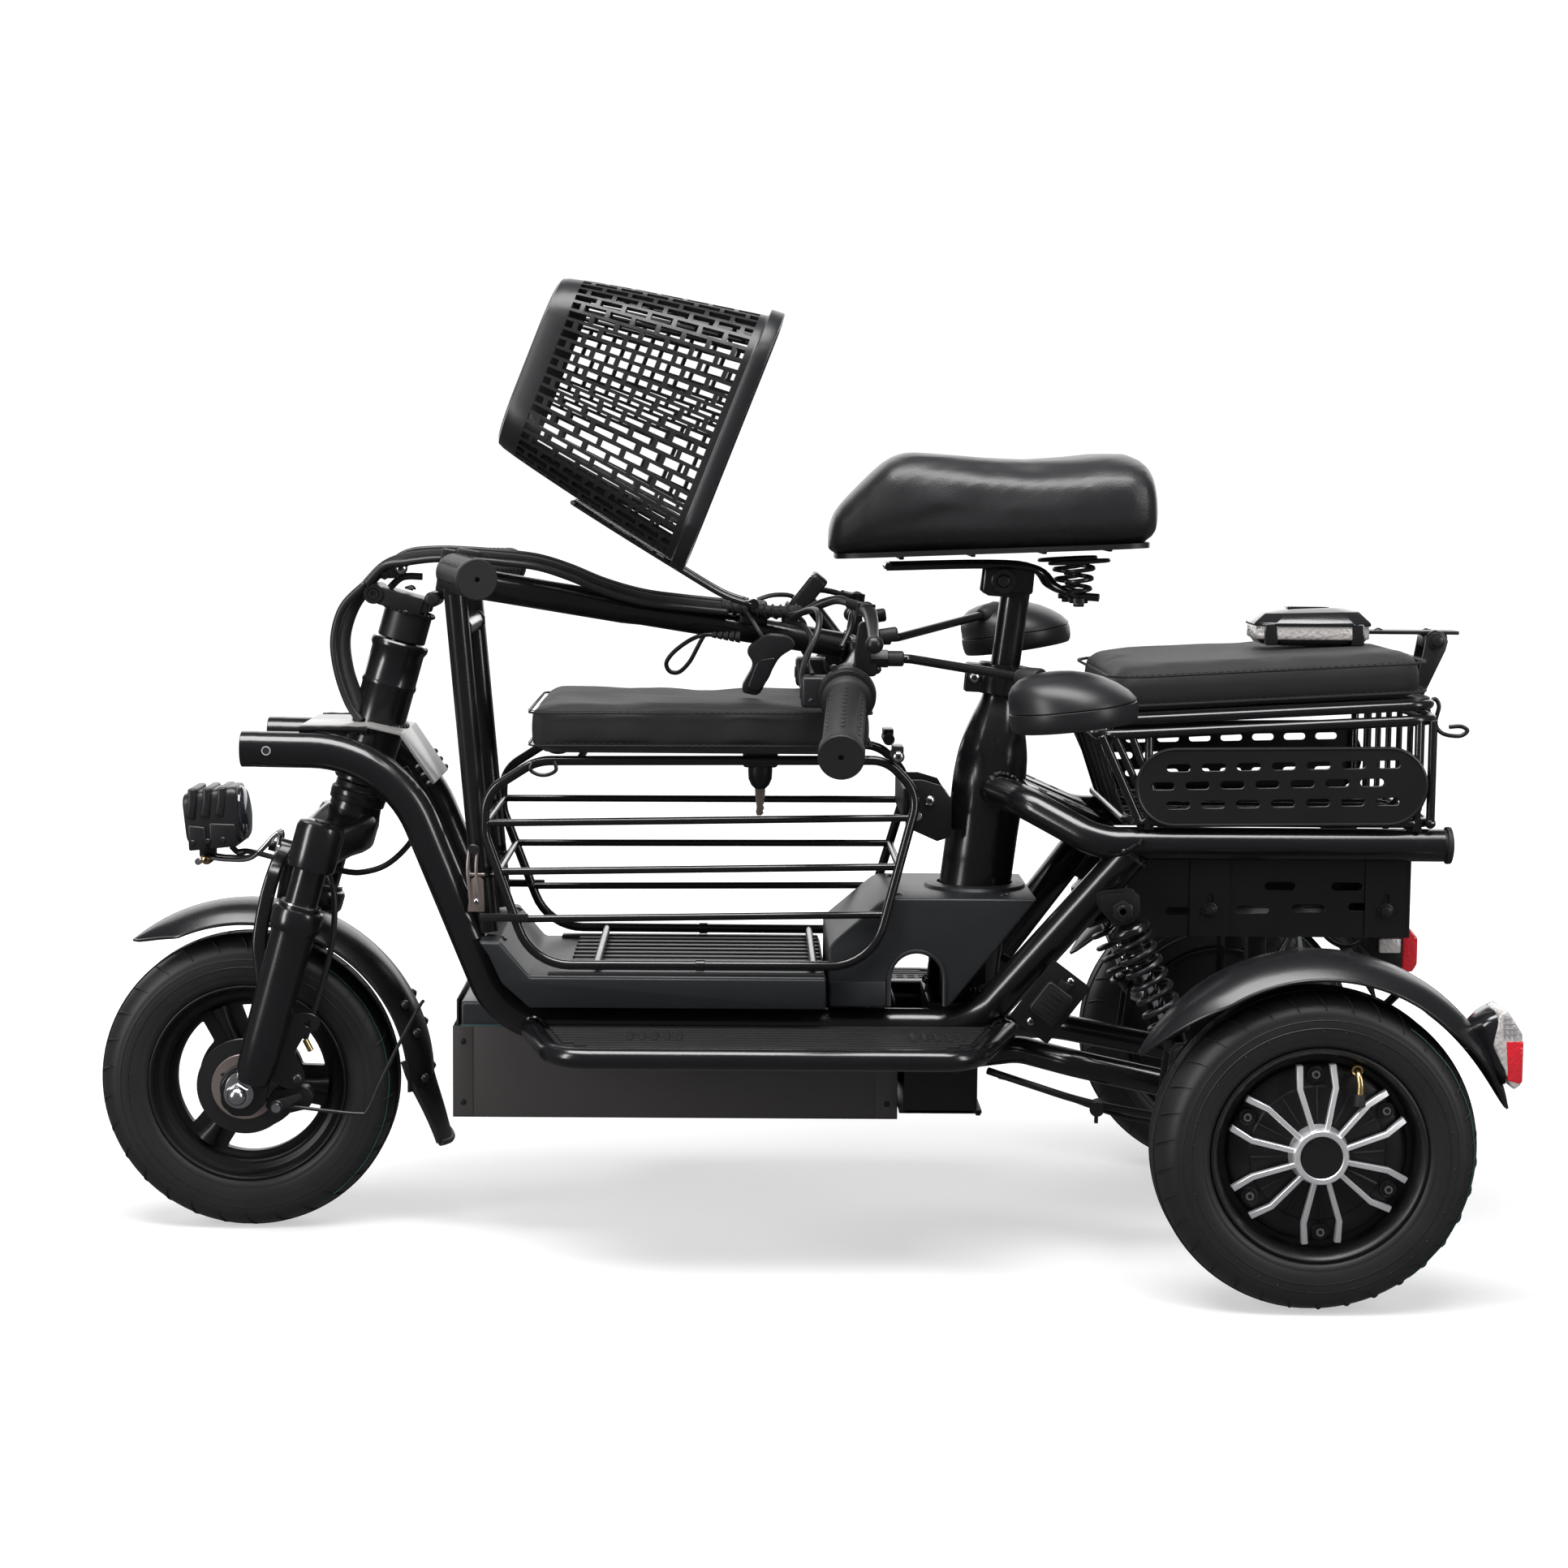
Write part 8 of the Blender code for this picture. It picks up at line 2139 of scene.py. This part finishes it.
def make_rear_fenders():
    for name, side in SIDES:
        centre = REAR_AXLE + Y * side * TRACK
        piece = Piece(f"rear_fender_{name}_shown", "rear_axle", "gloss")
        shell, rims = guard(centre, 0.041, 12, 152, (34, 30))
        piece.add(shell, "guard")
        for rim in rims:
            piece.add(rim, "guard")
        inner = centre.y - side * 0.034
        stay = [(0.409, side * 0.156, 0.15), (0.409, side * 0.156, 0.236),
                (0.409, inner - side * 0.004, 0.262), (0.409, inner + side * 0.02, 0.277)]
        piece.add(sweep(round_path(stay, (0.012, 0.012), 6), rounded(0.0155, 0.0016, 0.0012, 3), up=X),
                  "satin")
        piece.add(rod((0.409, side * 0.15, 0.145), (0.409, side * 0.162, 0.145), 0.012, 24), "satin")
        piece.bolt((0.409, centre.y - side * 0.02, 0.28), Z, 0.0046, 0.0026, "dome", "black_steel")
        brace = [(0.425, side * 0.156, 0.158), (0.47, side * 0.186, 0.212),
                 (0.495, inner + side * 0.006, 0.25)]
        piece.add(tube(smooth(brace, 6), 0.0034, 14), "paint")
        piece.done([f"rear_fender_{name}"])

        lamp = Piece(f"tail_light_{name}_shown", "rear_axle", "gloss")
        y = centre.y
        cone = []
        for x, low, high, half in ((0.5385, 0.212, 0.224, 0.01), (0.545, 0.2, 0.229, 0.0165),
                                   (0.553, 0.187, 0.235, 0.022), (0.56, 0.18, 0.2385, 0.024)):
            cone.append([Vector((x + (0.2105 - b) * 0.16, y + a, b)) for a,
                         b in rounded(half, (high - low) / 2, min(half, (high - low) / 2) * 0.45, 4,
                                      (0, (high + low) / 2))])
        lamp.add(loft(cone), "gloss")
        lens = [(0.5535, 0.212), (0.5572, 0.2372), (0.5635, 0.2405), (0.576, 0.2215), (0.576, 0.1815),
                (0.57, 0.1775), (0.566, 0.185)]
        lamp.add(slab(lens, y - 0.0245, y + 0.0245, bevel=0.002, segments=3), "clear")
        band = [(0.565, 0.185), (0.5625, 0.2165), (0.5768, 0.2165), (0.5768, 0.1835), (0.5735, 0.1822)]
        lamp.add(slab(band, y - 0.025, y + 0.025, bevel=0.0016, segments=3), "red")
        for k in range(4):
            z = 0.2215 + 0.004 * k
            lamp.add(block((0.56, y - 0.0252, z), (0.5752 - 0.0026 * k, y + 0.0252, z + 0.0008), 0.0003),
                     "label")
        for k in range(3):
            x = 0.561 + 0.004 * k
            lamp.add(block((x, y - 0.0253, 0.218), (x + 0.0007, y + 0.0253, 0.2365 - 0.0045 * k), 0.0003),
                     "label")
        lamp.add(rod((0.548, y, 0.213), (0.536, y, 0.213), 0.0075, 24), "plastic")
        lamp.done([f"tail_light_{name}"])


# --- Everything -------------------------------------------------------------------------------
def main():
    make_looks()
    make_stage()
    for make in (make_main_tubes, make_rear_rails, make_seat_tube, make_head_tube, make_seat_clamp,
                 make_swing_bracket, make_deck, make_hump, make_foot_rests, make_battery, make_charge_port,
                 make_child_handle, make_latch, make_child_seat, make_child_cushion, make_rear_cushion,
                 make_saddle, make_seat_post, make_rack, make_brake_lamp, make_rear_basket, make_lid,
                 make_lamp, make_fork, make_fork_lowers, make_headlight, make_front_fender,
                 make_front_wheel, make_column, make_basket, make_handlebar, make_display, make_controls,
                 make_grips, make_mirrors, make_cables, make_shocks, make_swing_arm, make_rear_wheels,
                 make_rear_fenders):
        make()


main()
